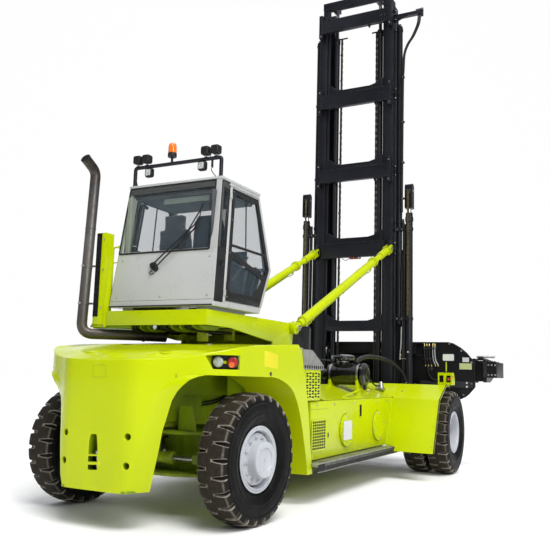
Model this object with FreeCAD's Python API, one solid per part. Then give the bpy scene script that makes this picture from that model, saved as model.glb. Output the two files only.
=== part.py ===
import FreeCAD, Part
import math
import os

# Empty-container handler: rear-steered truck chassis, high cab on a tower,
# two-stage mast and a side-lift telescopic spreader.
# Working frame for the numbers below, in metres: +X forward to the mast,
# +Y to the truck's left, +Z up, X = 0 at the steer axle, Y = 0 on the
# truck's centre plane, Z = 0 on the ground.  Everything is moved by
# (-ORIGIN_X, -ORIGIN_Y) at the end, so that the origin is on the ground
# under the middle of the whole machine's box.

# ---------------------------------------------------------------- dimensions
S = 1000.0                 # millimetres per metre
ORIGIN_X = 3.100
ORIGIN_Y = 0.500

WHEELBASE = 5.625
TYRE_R = 0.685             # 14.00-24 industrial tyre
TYRE_HALF = 0.186
BEAD_R = 0.3055
FLANGE_R = 0.345
AXLE_Z = 0.685
KING_Y = 0.860             # kingpin, from the centre plane
STEER_WHEEL_Y = 1.169      # middle of a steer tyre
STEER_REST = -4.58         # degrees, the wheels are parked slightly turned
DUAL_Y = (1.416, 1.826)    # middles of the two tyres of a drive pair

TRACK_BODY_Y = 1.250       # outer side of the rear body
SIDE_Y = 1.200             # outer side of the side tanks
SIDE_TOP = 1.250
ARCH_TOP = 1.540

RAIL_X0, RAIL_X1 = 5.880, 6.220
RAIL_Y = 0.765
MAST_Z0, MAST_Z1 = 0.400, 8.850
MAST_PIVOT = (6.000, 0.620)
CROSS_Z = ((8.46, 8.73), (6.85, 7.13), (5.33, 5.59), (3.82, 4.11))

TILT_Y = 0.745
TILT_REAR = (1.885, 2.194)
TILT_MAST = (5.800, 3.940)

CAB_W = 0.735              # half width at the floor
CAB_W_TOP = 0.665
CAB_Z0 = 2.300
CAB_Z1 = 3.830

SPREADER_Y = 0.500         # parked side shift, to the left
SPREADER_HALF = 3.030

V = FreeCAD.Vector


# ------------------------------------------------------------------- helpers
def box(x0, x1, y0, y1, z0, z1):
    return Part.makeBox((x1 - x0) * S, (y1 - y0) * S, (z1 - z0) * S, V(x0 * S, y0 * S, z0 * S))


def poly(points):
    pts = [V(*[c * S for c in p]) for p in points]
    return Part.Face(Part.makePolygon(pts + [pts[0]]))


def prism_y(pts, y0, y1):
    return poly([(x, y0, z) for x, z in pts]).extrude(V(0, (y1 - y0) * S, 0))


def prism_x(pts, x0, x1):
    return poly([(x0, y, z) for y, z in pts]).extrude(V((x1 - x0) * S, 0, 0))


def prism_z(pts, z0, z1):
    return poly([(x, y, z0) for x, y in pts]).extrude(V(0, 0, (z1 - z0) * S))


def cyl(p, d, r, h):
    return Part.makeCylinder(r * S, h * S, V(p[0] * S, p[1] * S, p[2] * S), V(*d))


def cyl2(p, q, r):
    a, b = V(*p), V(*q)
    d = b.sub(a)
    return Part.makeCylinder(r * S, d.Length * S, a.multiply(S), d)


def tube(p, d, r, ri, h):
    c = Part.makeCylinder(ri * S, (h + 0.02) * S, V(*[v * S for v in (p[0] - d[0] * .01, p[1] - d[1] * .01, p[2] - d[2] * .01)]), V(*d))
    return cyl(p, d, r, h).cut(c)


def fuse(*shapes):
    a = shapes[0]
    if len(shapes) > 1:
        a = a.multiFuse(list(shapes[1:]))
    return a.removeSplitter()


def loft(sections):
    wires = []
    for pts in sections:
        v = [V(*[c * S for c in p]) for p in pts]
        wires.append(Part.makePolygon(v + [v[0]]))
    return Part.makeLoft(wires, True, True)


def mir(s):
    return s.mirror(V(0, 0, 0), V(0, 1, 0))


def turn(s, p, axis, deg):
    c = s.copy()
    c.rotate(V(p[0] * S, p[1] * S, p[2] * S), V(*axis), deg)
    return c


def revolve_y(profile, cx, cz):
    """profile: (radius, y) pairs, turned about the Y line through (cx, cz)."""
    f = poly([(cx, y, cz + r) for r, y in profile])
    return f.revolve(V(cx * S, 0, cz * S), V(0, 1, 0), 360)


os.makedirs("parts", exist_ok=True)
ALL = []


def save(name, *shapes):
    out = []
    for s in shapes:
        for b in (s.Solids if s.Solids else [s]):
            b = b.copy()
            b.translate(V(-ORIGIN_X * S, -ORIGIN_Y * S, 0))
            out.append(b)
    c = out[0] if len(out) == 1 else Part.makeCompound(out)
    c.exportStep("parts/%s.step" % name)
    ALL.append(c)


def pair(name, s):
    save(name, s, mir(s))


# ------------------------------------------------------------------- chassis
def side_plate(y0, y1, pts):
    return prism_y(pts, y0, y1)


rear_pts = [(-0.82, 0.97), (-0.82, 1.40), (0.95, 1.40), (0.95, 0.62), (0.80, 0.62), (0.62, 0.97)]
mid_pts = [(0.90, 0.50), (0.90, 1.20), (5.10, 1.20), (5.45, 1.00), (5.45, 0.93), (5.35, 0.80), (5.35, 0.52), (5.10, 0.46), (1.60, 0.46)]
fr = [side_plate(0.24, 0.28, rear_pts), side_plate(-0.28, -0.24, rear_pts),
      side_plate(0.46, 0.50, mid_pts), side_plate(-0.50, -0.46, mid_pts),
      box(0.90, 0.95, -0.50, 0.50, 0.62, 1.20),
      box(-0.82, -0.76, -0.28, 0.28, 0.97, 1.40),
      box(-0.30, 0.30, -0.28, 0.28, 0.97, 1.00),
      box(2.80, 2.85, -0.48, 0.48, 0.48, 1.18),
      box(4.10, 4.15, -0.48, 0.48, 0.48, 1.18),
      box(5.05, 5.10, -0.48, 0.48, 0.48, 1.18),
      box(3.30, 3.40, -0.48, 0.48, 0.48, 0.56)]
# deck plate between the side tanks
fr.append(box(2.680, 5.080, -0.500, 0.500, 1.195, 1.210))
frame = fuse(*fr)
save("main_frame", frame)

# drive axle housing with its two mast pivot ears
axle = [cyl((WHEELBASE, -1.16, AXLE_Z), (0, 1, 0), 0.20, 2.32),
        cyl((WHEELBASE, -0.24, AXLE_Z), (0, 1, 0), 0.232, 0.48),
        cyl((WHEELBASE, -1.54, AXLE_Z), (0, 1, 0), 0.125, 3.08),
        box(5.36, 5.50, -0.46, 0.46, 0.56, 0.80)]
for s in (1, -1):
    ear = prism_y([(5.50, 0.50), (5.50, 0.88), (5.72, 0.90), (6.04, 0.74), (6.115, 0.62), (6.04, 0.505), (5.95, 0.48)],
                  0.812 if s > 0 else -0.872, 0.872 if s > 0 else -0.812)
    ear = ear.cut(cyl((MAST_PIVOT[0], -1, MAST_PIVOT[1]), (0, 1, 0), 0.0605, 2))
    axle.append(ear)
save("drive_axle", fuse(*axle))


def steer_part():
    up = [(-0.30, -0.42), (-0.12, -0.78), (0.12, -0.78), (0.16, -0.42), (0.16, 0.42), (0.12, 0.78), (-0.12, 0.78), (-0.30, 0.42)]
    s = [prism_z(up, 0.900, 0.935), prism_z(up, 0.455, 0.490),
         box(0.02, 0.10, -0.60, 0.60, 0.49, 0.90), box(-0.30, -0.24, -0.05, 0.05, 0.49, 0.90)]
    for y in (KING_Y, -KING_Y):
        for z0, z1 in ((0.900, 0.935), (0.455, 0.490)):
            s.append(cyl((0, y, z0), (0, 0, 1), 0.105, z1 - z0))
            s.append(box(-0.105, 0.105, min(y, y * 0.86), max(y, y * 0.86), z0, z1))
    # cradle up to the main frame
    s.append(box(-0.16, 0.10, -0.20, 0.20, 0.935, 0.968))
    a = fuse(*s)
    for y in (KING_Y, -KING_Y):
        a = a.cut(cyl((0, y, 0.3), (0, 0, 1), 0.0505, 0.8))
    return a


save("steer_axle", steer_part())

# steering cylinder across the axle, and its through rod
ROD_X, ROD_Z = -0.175, 0.640
save("steer_cylinder", tube((ROD_X, -0.330, ROD_Z), (0, 1, 0), 0.062, 0.0335, 0.660))
rod = fuse(cyl((ROD_X, -0.60, ROD_Z), (0, 1, 0), 0.033, 1.20),
           box(ROD_X - 0.045, ROD_X + 0.045, 0.595, 0.665, ROD_Z - 0.045, ROD_Z + 0.045),
           box(ROD_X - 0.045, ROD_X + 0.045, -0.665, -0.595, ROD_Z - 0.045, ROD_Z + 0.045))
save("steering_rod", rod)


def knuckle(side):
    y = KING_Y * side
    s = fuse(cyl((0, y, 0.496), (0, 0, 1), 0.088, 0.398),
             cyl((0, y, 0.430), (0, 0, 1), 0.050, 0.530),
             cyl((0, y, AXLE_Z), (0, side, 0), 0.075, 0.189),
             cyl((0, y, AXLE_Z), (0, side, 0), 0.055, 0.369),
             prism_z([(0, y - side * .06), (0, y + side * .06), (-0.20, y - side * 0.02), (-0.215, y - side * 0.09), (-0.17, y - side * 0.12)], 0.505, 0.545))
    return turn(s, (0, y, 0), (0, 0, 1), STEER_REST)


save("knuckle_right", knuckle(-1))
save("knuckle_left", knuckle(1))


def tyre_profile(yc):
    h = TYRE_HALF
    half = [(BEAD_R, 0.122), (0.345, 0.127), (0.395, 0.160), (0.455, 0.180), (0.520, h), (0.590, 0.183),
            (0.640, 0.172), (0.668, 0.158), (0.681, 0.120), (TYRE_R, 0.050)]
    return [(r, yc + w) for r, w in half] + [(r, yc - w) for r, w in reversed(half)]


def tyre(cx, yc):
    return revolve_y(tyre_profile(yc), cx, AXLE_Z)


def rim_ring(yc):
    """barrel with both flanges, radii in order round the section"""
    return [(0.284, yc - 0.146), (FLANGE_R, yc - 0.146), (FLANGE_R, yc - 0.131), (0.305, yc - 0.124),
            (0.305, yc + 0.124), (FLANGE_R, yc + 0.131), (FLANGE_R, yc + 0.146), (0.284, yc + 0.146)]


def steer_rim(side):
    yc = STEER_WHEEL_Y * side
    o = side
    ring = revolve_y(rim_ring(yc), 0, AXLE_Z)
    disc = revolve_y([(0.286, yc + o * 0.000), (0.286, yc + o * 0.030), (0.232, yc + o * 0.094), (0.155, yc + o * 0.094),
                      (0.125, yc + o * 0.150), (0.090, yc + o * 0.150), (0.086, yc + o * 0.165), (0.0001, yc + o * 0.165),
                      (0.0001, yc + o * 0.072), (0.0560, yc + o * 0.072), (0.0560, yc - o * 0.105), (0.105, yc - o * 0.105),
                      (0.125, yc + o * 0.060), (0.225, yc + o * 0.060)], 0, AXLE_Z)
    return fuse(ring, disc)


for side, nm in ((-1, "right"), (1, "left")):
    y = KING_Y * side
    save("rear_tyre_" + nm, turn(tyre(0, STEER_WHEEL_Y * side), (0, y, 0), (0, 0, 1), STEER_REST))
    save("rear_rim_" + nm, turn(steer_rim(side), (0, y, 0), (0, 0, 1), STEER_REST))


def drive_rim(side):
    a, b = DUAL_Y[0] * side, DUAL_Y[1] * side
    o = side
    r1 = revolve_y(rim_ring(a), WHEELBASE, AXLE_Z)
    r2 = revolve_y(rim_ring(b), WHEELBASE, AXLE_Z)
    spacer = revolve_y([(0.284, a + o * 0.12), (0.303, a + o * 0.12), (0.303, b - o * 0.12), (0.284, b - o * 0.12)], WHEELBASE, AXLE_Z)
    disc = revolve_y([(0.286, a + o * 0.160), (0.286, a + o * 0.200), (0.215, a + o * 0.176), (0.180, a + o * 0.176), (0.165, a + o * 0.300),
                      (0.0001, a + o * 0.300), (0.0001, a + o * 0.150), (0.1255, a + o * 0.150), (0.1255, a - o * 0.080), (0.170, a - o * 0.080), (0.190, a + o * 0.140), (0.215, a + o * 0.140)], WHEELBASE, AXLE_Z)
    return fuse(r1, r2, spacer, disc)


for side, nm in ((-1, "right"), (1, "left")):
    save("front_tyres_" + nm, tyre(WHEELBASE, DUAL_Y[0] * side), tyre(WHEELBASE, DUAL_Y[1] * side))
    save("front_rims_" + nm, drive_rim(side))


# ------------------------------------------------------- rear body and sides
def deck_cut():
    """everything above the crowned top line"""
    return prism_y([(-1.4, 1.60), (-1.10, 1.675), (-0.85, 1.775), (-0.32, 1.872), (0.35, 1.915), (1.10, 1.95), (1.6, 1.97), (1.6, 3), (-1.4, 3)], -2, 2)


OUT = [(-1.100, 0.445), (-0.988, 0.571), (-0.900, 0.695), (-0.800, 0.857), (-0.700, 1.004), (-0.455, 1.250), (-0.385, 1.250)]


PLATE_X = -0.950           # inner side of the counterweight plate
PLATE_TOP = 1.150
LOW = [(-1.100, 0.445), (-1.075, 0.473), (PLATE_X, 0.503), (-0.835, 0.530)]
HIGH = [(-1.100, 0.445), (-0.988, 0.571), (PLATE_X, 0.600), (-0.835, 0.685)]


def both_sides(p, z):
    return [(x, y, z) for x, y in p] + [(x, -y, z) for x, y in reversed(p)]


def counterweight():
    """thick rear plate: its sides run out and up"""
    body = loft([both_sides(LOW[:3], 0.375), both_sides(HIGH[:3], PLATE_TOP)])
    # tow pocket, its pin hole and two slots beneath
    body = body.cut(box(-1.20, -0.90, -0.115, 0.045, 0.735, 0.905))
    body = body.cut(cyl((-1.045, -0.035, 0.58), (0, 0, 1), 0.0260, 0.50))
    body = body.cut(box(-1.20, -1.08, -0.100, 0.030, 0.655, 0.690)).cut(box(-1.20, -1.08, -0.100, 0.030, 0.585, 0.620))
    # four lifting holes, right through the plate
    for y in (-0.40, 0.40):
        for z in (0.92, 0.64):
            body = body.cut(cyl((-1.20, y, z), (1, 0, 0), 0.036, 0.40))
    return body


def rear_body():
    """casting behind and above the plate, running out to the full width over the arches"""
    low = loft([both_sides(LOW[2:], 0.375), both_sides(HIGH[2:], PLATE_TOP)])
    lip = [(PLATE_TOP, (-0.988, 0.571), (-0.835, 0.685)), (1.290, (-0.966, 0.602), (-0.835, 0.742)),
           (1.410, (-0.918, 0.669), (-0.825, 0.828)), (1.480, (-0.867, 0.747), (-0.790, 0.890)), (1.545, (-0.790, 0.873), (-0.740, 0.940))]
    rings = [both_sides([(-1.100, 0.445), (-1.030, 0.5238), o, i], z) for z, o, i in lip]
    flare = [loft([rings[k], rings[k + 1]]) for k in range(len(rings) - 1)]
    upper = prism_z(OUT + [(x, -y) for x, y in reversed(OUT)], 1.541, 2.0)
    body = fuse(low, upper, *flare).cut(deck_cut())
    # tail lamp recesses, deepening forwards
    for s in (1, -1):
        body = body.cut(prism_z([(-0.700, s * 1.004), (-0.600, s * 1.045), (-0.400, s * 1.165), (-0.400, s * 1.45), (-0.850, s * 1.45)], 1.605, 1.748))
    return body


save("counterweight", counterweight())
save("rear_body", rear_body())
save("tow_pin", fuse(cyl((-1.045, -0.035, 0.60), (0, 0, 1), 0.0255, 0.36), cyl((-1.045, -0.035, 0.735), (0, 0, 1), 0.040, 0.03)))

FENDER = [(-0.380, 1.545), (-0.380, 2.0), (1.015, 2.0), (1.035, 1.95), (1.20, 1.55), (1.30, 1.15), (1.455, 0.37),
          (1.300, 0.37), (1.235, 0.70), (1.150, 0.97), (1.030, 1.22), (0.870, 1.40), (0.680, 1.50), (0.430, 1.545)]


FENDER_R = prism_y(FENDER, -TRACK_BODY_Y, -0.515).cut(deck_cut())
save("rear_fenders", FENDER_R, mir(FENDER_R))

# engine hood between the fenders, under the cab tower
hood = prism_y([(-0.380, 1.62), (-0.380, 2.0), (1.30, 2.0), (1.30, 1.70), (0.98, 1.62)], -0.508, 0.508).cut(deck_cut())
save("engine_hood", hood)
# engine and transmission block, and the black cover over its front end
cover = box(1.925, 2.744, -0.600, 0.600, SIDE_TOP + 0.006, 2.265).cut(box(1.80, 2.729, -0.585, 0.585, 1.20, 2.250))
save("engine", box(1.00, 2.62, -0.42, 0.42, 0.62, 1.60), cover)


def side_tank():
    return prism_y([(1.545, 0.515), (1.475, 1.245), (4.690, SIDE_TOP), (4.390, 0.515)], 0.515, SIDE_Y)


pair("side_tanks", side_tank())

# stair boxes at the front of the rear fenders, with sloping treads
step_box = prism_y([(1.330, 1.255), (1.235, 1.560), (1.090, 1.880), (1.170, 1.880), (1.700, 1.640), (1.700, 1.255)], 0.760, 1.215)
pair("step_boxes", step_box)
tread = prism_y([(1.172, 1.883), (1.184, 1.902), (1.712, 1.664), (1.735, 1.585), (1.712, 1.585), (1.703, 1.642)], 0.770, 1.205)
pair("step_treads", tread)


def front_fender():
    f = prism_y([(4.290, 0.430), (4.655, 1.240), (5.090, 1.471), (5.330, 1.471), (5.330, 1.441), (5.098, 1.441), (4.695, 1.227), (4.336, 0.430)], 1.205, 1.975)
    inn = prism_y([(4.695, 1.261), (5.090, 1.471), (5.330, 1.471), (5.330, 1.441), (5.098, 1.441), (4.760, 1.261)], 0.760, 1.206)
    web = prism_y([(4.700, 1.215), (4.700, 1.264), (5.090, 1.471), (5.320, 1.471), (5.320, 1.215)], 0.515, 0.765)
    web = web.cut(prism_y([(4.780, 1.10), (4.780, 1.270), (5.098, 1.441), (5.400, 1.441), (5.400, 1.10)], 0.540, 0.800))
    return fuse(f, inn, web)


pair("front_fenders", front_fender())
pair("running_boards", prism_y([(1.62, 0.455), (1.62, 0.505), (4.310, 0.505), (4.290, 0.455)], 1.03, 1.345))

# mirror and marker-lamp stands on the front fenders
stand = fuse(box(5.110, 5.300, 1.830, 2.065, 1.473, 1.675), cyl((5.130, 1.965, 1.66), (0, 0, 1), 0.010, 0.22),
             box(5.115, 5.145, 1.900, 2.110, 1.860, 1.990))
pair("marker_stands", stand)

# air cleaner, lying across the truck, with inlet duct and pre-cleaner
AC_X, AC_Z = 3.50, 1.600
ac = fuse(cyl((AC_X, -1.130, AC_Z), (0, 1, 0), 0.160, 0.56), cyl((AC_X, -1.185, AC_Z), (0, 1, 0), 0.172, 0.06),
          cyl((AC_X, -0.60, AC_Z), (0, 1, 0), 0.078, 0.22), cyl((AC_X, -0.80, 1.72), (0, 0, 1), 0.085, 0.13),
          cyl((AC_X, -0.80, 1.820), (0, 0, 1), 0.190, 0.080), cyl((AC_X, -1.152, 1.365), (0, 0, 1), 0.024, 0.12),
          cyl((AC_X + 0.03, -0.455, AC_Z), (-1, 0, 0), 0.070, 0.78))
save("air_cleaner", ac)
acs = fuse(box(AC_X - 0.16, AC_X + 0.16, -1.10, -1.06, 1.252, 1.52), box(AC_X - 0.16, AC_X + 0.16, -0.66, -0.62, 1.252, 1.52),
           box(AC_X - 0.20, AC_X + 0.20, -1.15, -0.58, 1.252, 1.262)).cut(cyl((AC_X, -2.0, AC_Z), (0, 1, 0), 0.1605, 2))
save("air_cleaner_stand", acs)

# ------------------------------------------------------------ cab tower, cab
TOWER = [(-0.215, 2.085), (-0.215, 2.255), (1.820, 2.255), (1.930, 2.240), (1.965, 2.190), (1.930, 2.110), (1.905, 1.960),
         (1.905, 1.262), (1.340, 1.262), (1.340, 1.985), (1.220, 1.985), (0.287, 2.085)]
tw = [prism_y(TOWER, 0.685, 0.705), prism_y(TOWER, -0.705, -0.685),
      box(-0.215, -0.195, -0.69, 0.69, 2.085, 2.255), box(1.28, 1.30, -0.69, 0.69, 2.085, 2.255),
      box(0.20, 0.30, -0.69, 0.69, 2.085, 2.255), box(0.80, 0.90, -0.69, 0.69, 2.085, 2.255),
      box(-0.20, 1.90, -0.69, 0.69, 2.240, 2.255),
      box(1.885, 1.905, -0.69, 0.69, 1.70, 2.10),
      box(1.34, 1.905, -0.69, -0.51, 1.262, 1.282), box(1.34, 1.905, 0.51, 0.69, 1.262, 1.282)]
# legs down to the main frame at the rear of the tower
for y in (-0.42, 0.30):
    if y < 0:
        tw.append(box(0.22, 0.28, y, y + 0.12, 1.925, 2.09))
    tw.append(box(0.82, 0.88, y, y + 0.12, 1.965, 2.09))
# pin bosses of the tilt cylinders
for s in (1, -1):
    tw.append(cyl((TILT_REAR[0], s * 0.66, TILT_REAR[1]), (0, s, 0), 0.075, 0.052))
    tw.append(cyl((TILT_REAR[0], s * 0.66, TILT_REAR[1]), (0, s, 0), 0.040, 0.160))
# heat shield beside the exhaust
tw.append(fuse(box(-0.24, -0.10, 0.75, 0.765, 2.10, 3.20), box(-0.24, -0.225, 0.75, 0.89, 2.10, 3.20)))
tw.append(box(-0.215, -0.10, 0.70, 0.755, 2.10, 2.25))
save("cab_tower", fuse(*tw))

# exhaust stack, leaning forward, with its elbow under the tower
EX = (-0.30, 1.00)
p_low, p_top = (-0.300, 1.000, 2.16), (-0.225, 0.990, 3.93)


def sweep(points, r, bend):
    """tube along straight runs joined by tangent arcs"""
    P = [V(*p).multiply(S) for p in points]
    edges, cur = [], P[0]
    for i in range(1, len(P) - 1):
        a = P[i - 1].sub(P[i]).normalize()
        b = P[i + 1].sub(P[i]).normalize()
        ang = math.acos(max(-1, min(1, a.dot(b))))
        t = bend * S / math.tan(ang / 2)
        s0 = P[i].add(V(a).multiply(t))
        s1 = P[i].add(V(b).multiply(t))
        bis = a.add(b).normalize()
        mid = P[i].add(V(bis).multiply(bend * S / math.sin(ang / 2) - bend * S))
        if s0.sub(cur).Length > 1e-6:
            edges.append(Part.LineSegment(cur, s0).toShape())
        edges.append(Part.Arc(s0, mid, s1).toShape())
        cur = s1
    edges.append(Part.LineSegment(cur, P[-1]).toShape())
    w = Part.Wire(edges)
    d = P[1].sub(P[0])
    prof = Part.Wire([Part.Circle(P[0], d, r * S).toShape()])
    return w.makePipeShell([prof], True, False)


stack = sweep([(-0.42, 0.995, 4.10), (-0.222, 0.995, 3.98), (-0.30, 1.000, 1.985), (0.06, 0.50, 1.985), (0.42, 0.30, 1.985)], 0.062, 0.14)
stack = fuse(stack, cyl((-0.262, 1.0, 2.30), (0.0377, 0, 1), 0.070, 0.030).fuse(cyl((-0.240, 1.0, 3.22), (0.0377, 0, 1), 0.070, 0.03)))
save("exhaust", stack)

# handrail at the rear left of the platform
rail = sweep([(-0.055, 0.705, 3.05), (-0.055, 0.785, 3.05), (-0.055, 0.785, 2.20), (-0.055, 0.707, 2.20)], 0.010, 0.03)
save("handrail", rail)


def cab_x(z, x0):
    """x of a plane that leans forward from the floor, at height z"""
    return x0 + (z - CAB_Z0) * 0.135


def cab_w(z):
    return CAB_W + (CAB_W_TOP - CAB_W) * (z - CAB_Z0) / (CAB_Z1 - CAB_Z0)


def cab_section(z, x0, x1, w, inset=0.0):
    return [(x0 + inset, w - inset, z), (x1 - inset, w - inset, z), (x1 - inset, -w + inset, z), (x0 + inset, -w + inset, z)]


XR = lambda z: cab_x(z, -0.145)
KNEE = (1.235, 2.880)


def XF(z):
    if z <= KNEE[1]:
        return 0.925 + (KNEE[0] - 0.925) * (z - CAB_Z0) / (KNEE[1] - CAB_Z0)
    return KNEE[0] + (0.945 - KNEE[0]) * (z - KNEE[1]) / (CAB_Z1 - KNEE[1])


def cab_hull(t, z0, z1):
    zs = [z0] + ([KNEE[1]] if z0 < KNEE[1] < z1 else []) + [z1]
    secs = []
    for z in zs:
        w = cab_w(z) - t
        a, b = XR(z) + t, XF(z) - t
        secs.append([(a, w, z), (b, w, z), (b, -w, z), (a, -w, z)])
    parts = [loft([secs[i], secs[i + 1]]) for i in range(len(secs) - 1)]
    return fuse(*parts) if len(parts) > 1 else parts[0]


T = 0.045
outer = cab_hull(0.0, CAB_Z0, CAB_Z1)
inner = cab_hull(T, CAB_Z0 - 0.001, CAB_Z1 + 0.001)
shell = outer.cut(inner)
FLOOR_T = 0.075
save("cab_floor", fuse(cab_hull(0.0, CAB_Z0, CAB_Z0 + FLOOR_T), box(-0.05, 0.80, -0.60, -0.45, 2.256, 2.30), box(-0.05, 0.80, 0.45, 0.60, 2.256, 2.30)))
ROOF_Z = 3.745
# roof: shallow dome cap with a drip edge
roof = cab_hull(-0.012, ROOF_Z + 0.055, CAB_Z1 + 0.0)
roof = fuse(roof, cab_hull(0.0, ROOF_Z, ROOF_Z + 0.056))
save("cab_roof", roof)
Z0, Z1 = CAB_Z0 + FLOOR_T, ROOF_Z
wall = shell.common(box(-1, 2, -1, 1, Z0, Z1))
# openings: rear window, windscreen, side doorways and rear quarter lights
REAR_WIN = (2.975, 3.715)
rear_cut = loft([[(-0.6, 0.650, REAR_WIN[0]), (0.30, 0.650, REAR_WIN[0]), (0.30, -0.650, REAR_WIN[0]), (-0.6, -0.650, REAR_WIN[0])],
                 [(-0.6, 0.615, REAR_WIN[1]), (0.30, 0.615, REAR_WIN[1]), (0.30, -0.615, REAR_WIN[1]), (-0.6, -0.615, REAR_WIN[1])]])
front_cut = box(0.60, 2.0, -0.615, 0.615, 2.445, 3.70)
front_cut = front_cut.cut(box(0.5, 2.0, -1, 1, 2.855, 2.905))


def door_outline(off=0.0, front=0.0):
    """door in the side plane: rear edge leans, front edge follows the knee"""
    zr0, zr1 = Z0 + 0.010 + off, Z1 - 0.010 - off
    xr = lambda z: cab_x(z, 0.110) + off
    xf = lambda z: XF(z) - 0.052 - off
    return [(xr(zr0), zr0), (xr(zr1), zr1), (xf(zr1), zr1), (xf(KNEE[1]), KNEE[1]), (xf(zr0), zr0)]


door_cut = prism_y(door_outline(-0.006), -1, 1)
q0, q1 = Z0 + 0.03, Z1 - 0.03
quarter = [(cab_x(q0, -0.085), q0), (cab_x(q1, -0.085), q1), (cab_x(q1, 0.055), q1), (cab_x(q0, 0.055), q0)]
quarter_cut = prism_y(quarter, -1, 1)
wall = wall.cut(rear_cut.common(box(-1, 0.42, -2, 2, 0, 5)))
wall = wall.cut(front_cut)
side_zone = box(-1, 2, 0.30, 1, 0, 5).fuse(box(-1, 2, -1, -0.30, 0, 5))
wall = wall.cut(door_cut.common(side_zone)).cut(quarter_cut.common(box(-0.3, 0.6, 0.62, 1, 0, 5).fuse(box(-0.3, 0.6, -1, -0.62, 0, 5))))
rear_panel_zone = prism_y([(-1, Z0), (-1, Z1), (cab_x(Z1, -0.145 + T), Z1), (cab_x(Z0, -0.145 + T), Z0)], -1, 1)
rear_wall = wall.common(rear_panel_zone)
save("cab_rear_wall", rear_wall)
save("cab_frame", wall.cut(rear_panel_zone))
# glass: thin panes set in the middle of the walls
g = []
gz = 0.008
mid = cab_hull(T / 2 - gz / 2, Z0, Z1).cut(cab_hull(T / 2 + gz / 2, Z0 - 0.001, Z1 + 0.001))
rw = mid.common(rear_cut.common(box(-1, 0.42, -2, 2, 0, 5)))
rw = rw.common(prism_y([(-1, Z0), (-1, Z1), (cab_x(Z1, -0.145 + T), Z1), (cab_x(Z0, -0.145 + T), Z0)], -1, 1))
fw = mid.common(front_cut).common(box(0.3, 2, -0.66, 0.66, 0, 5))
fw = fw.cut(box(0, 2, -1, -0.6155, 0, 5)).cut(box(0, 2, 0.6155, 1, 0, 5))
qg = mid.common(quarter_cut).common(box(-0.3, 0.6, 0.62, 1, 0, 5).fuse(box(-0.3, 0.6, -1, -0.62, 0, 5)))
save("cab_glass", rw, fw, qg)


def door(side):
    o = prism_y(door_outline(), *( (0.5, 1.0) if side > 0 else (-1.0, -0.5)))
    slab = cab_hull(-0.002, Z0, Z1).cut(cab_hull(0.032, Z0 - .001, Z1 + .001)).common(o)
    zr0, zr1 = Z0 + 0.010, Z1 - 0.010
    xr = lambda z: cab_x(z, 0.110) + 0.045
    xf = lambda z: XF(z) - 0.052 - 0.055
    hole = [(xr(2.48), 2.48), (xr(zr1 - .05), zr1 - .05), (xf(zr1 - .05), zr1 - .05), (xf(KNEE[1]), KNEE[1]), (xf(2.48), 2.48)]
    hp = prism_y(hole, -1, 1)
    bar = prism_y([(0.0, 3.12), (0.0, 3.15), (1.3, 3.12), (1.3, 3.09)], -1, 1)
    bar2 = prism_y([(0.10, 2.98), (0.10, 3.02), (1.25, 2.72), (1.25, 2.67)], -1, 1)
    f = slab.cut(hp.cut(bar2))
    # hinge barrels on the leaning hinge line
    hx = lambda z: (cab_x(z, 0.108), side * (cab_w(z) + 0.014), z)
    for z0, z1 in ((2.50, 2.60), (3.50, 3.60)):
        f = f.fuse(cyl2(hx(z0), hx(z1), 0.0132))
    f = f.removeSplitter()
    pane = cab_hull(0.009, Z0, Z1).cut(cab_hull(0.017, Z0 - .001, Z1 + .001)).common(hp).cut(bar2).common(box(-1, 2, *((0.5, 1, 0, 5) if side > 0 else (-1, -0.5, 0, 5))))
    return f, pane


for side, nm in ((-1, "right"), (1, "left")):
    f, pane = door(side)
    save("door_" + nm, f)
    save("door_glass_" + nm, pane)

seat = fuse(box(0.14, 0.60, -0.25, 0.25, 2.60, 2.74), box(0.20, 0.52, -0.20, 0.20, 2.376, 2.60),
            loft([[(0.10, 0.24, 2.70), (0.24, 0.24, 2.70), (0.24, -0.24, 2.70), (0.10, -0.24, 2.70)],
                  [(0.06, 0.20, 3.24), (0.17, 0.20, 3.24), (0.17, -0.20, 3.24), (0.06, -0.20, 3.24)]]),
            box(0.06, 0.16, -0.13, 0.13, 3.22, 3.42))
save("seat", seat)
SW = (0.715, 0.0, 3.00)   # steering wheel hub
sw = fuse(Part.makeTorus(0.19 * S, 0.014 * S, V(0, 0, 0), V(0, 0, 1)), box(-0.186, 0.186, -0.014, 0.014, -0.006, 0.006),
          box(-0.012, 0.012, -0.186, 0.186, -0.005, 0.005), cyl((0, 0, -0.04), (0, 0, 1), 0.036, 0.055))
sw.rotate(V(0, 0, 0), V(0, 1, 0), -20)
sw.translate(V(SW[0] * S, SW[1] * S, SW[2] * S))
col = fuse(sw, cyl2((0.760, 0, 2.590), (0.722, 0, 2.975), 0.028), box(0.70, 0.88, -0.16, 0.16, 2.376, 2.60))
save("steering_column", col)

# lamp bar over the cab's rear edge
bx = 0.10
bar = [box(bx - .02, bx + .02, 0.600, 0.640, 3.831, 4.085), box(bx - .02, bx + .02, -0.640, -0.600, 3.831, 4.085),
       box(bx - .02, bx + .02, -0.640, 0.640, 4.050, 4.090)]
for y in (0.57, 0.46, -0.46, -0.57):
    bar += [box(bx - .012, bx + .012, y - .012, y + .012, 4.08, 4.12), box(bx - .055, bx + .035, y - .048, y + .048, 4.11, 4.205)]
for y in (0.42, -0.36):
    bar += [box(bx - .055, bx + .035, y - .045, y + .045, 3.945, 4.035), box(bx - .01, bx + .01, y - .01, y + .01, 4.03, 4.06)]
bar += [cyl((bx, 0.06, 4.085), (0, 0, 1), 0.012, 0.06), cyl((bx, 0.06, 4.14), (0, 0, 1), 0.040, 0.14)]
save("roof_lamps", fuse(*bar))

# --------------------------------------------------------------------- mast


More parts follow.
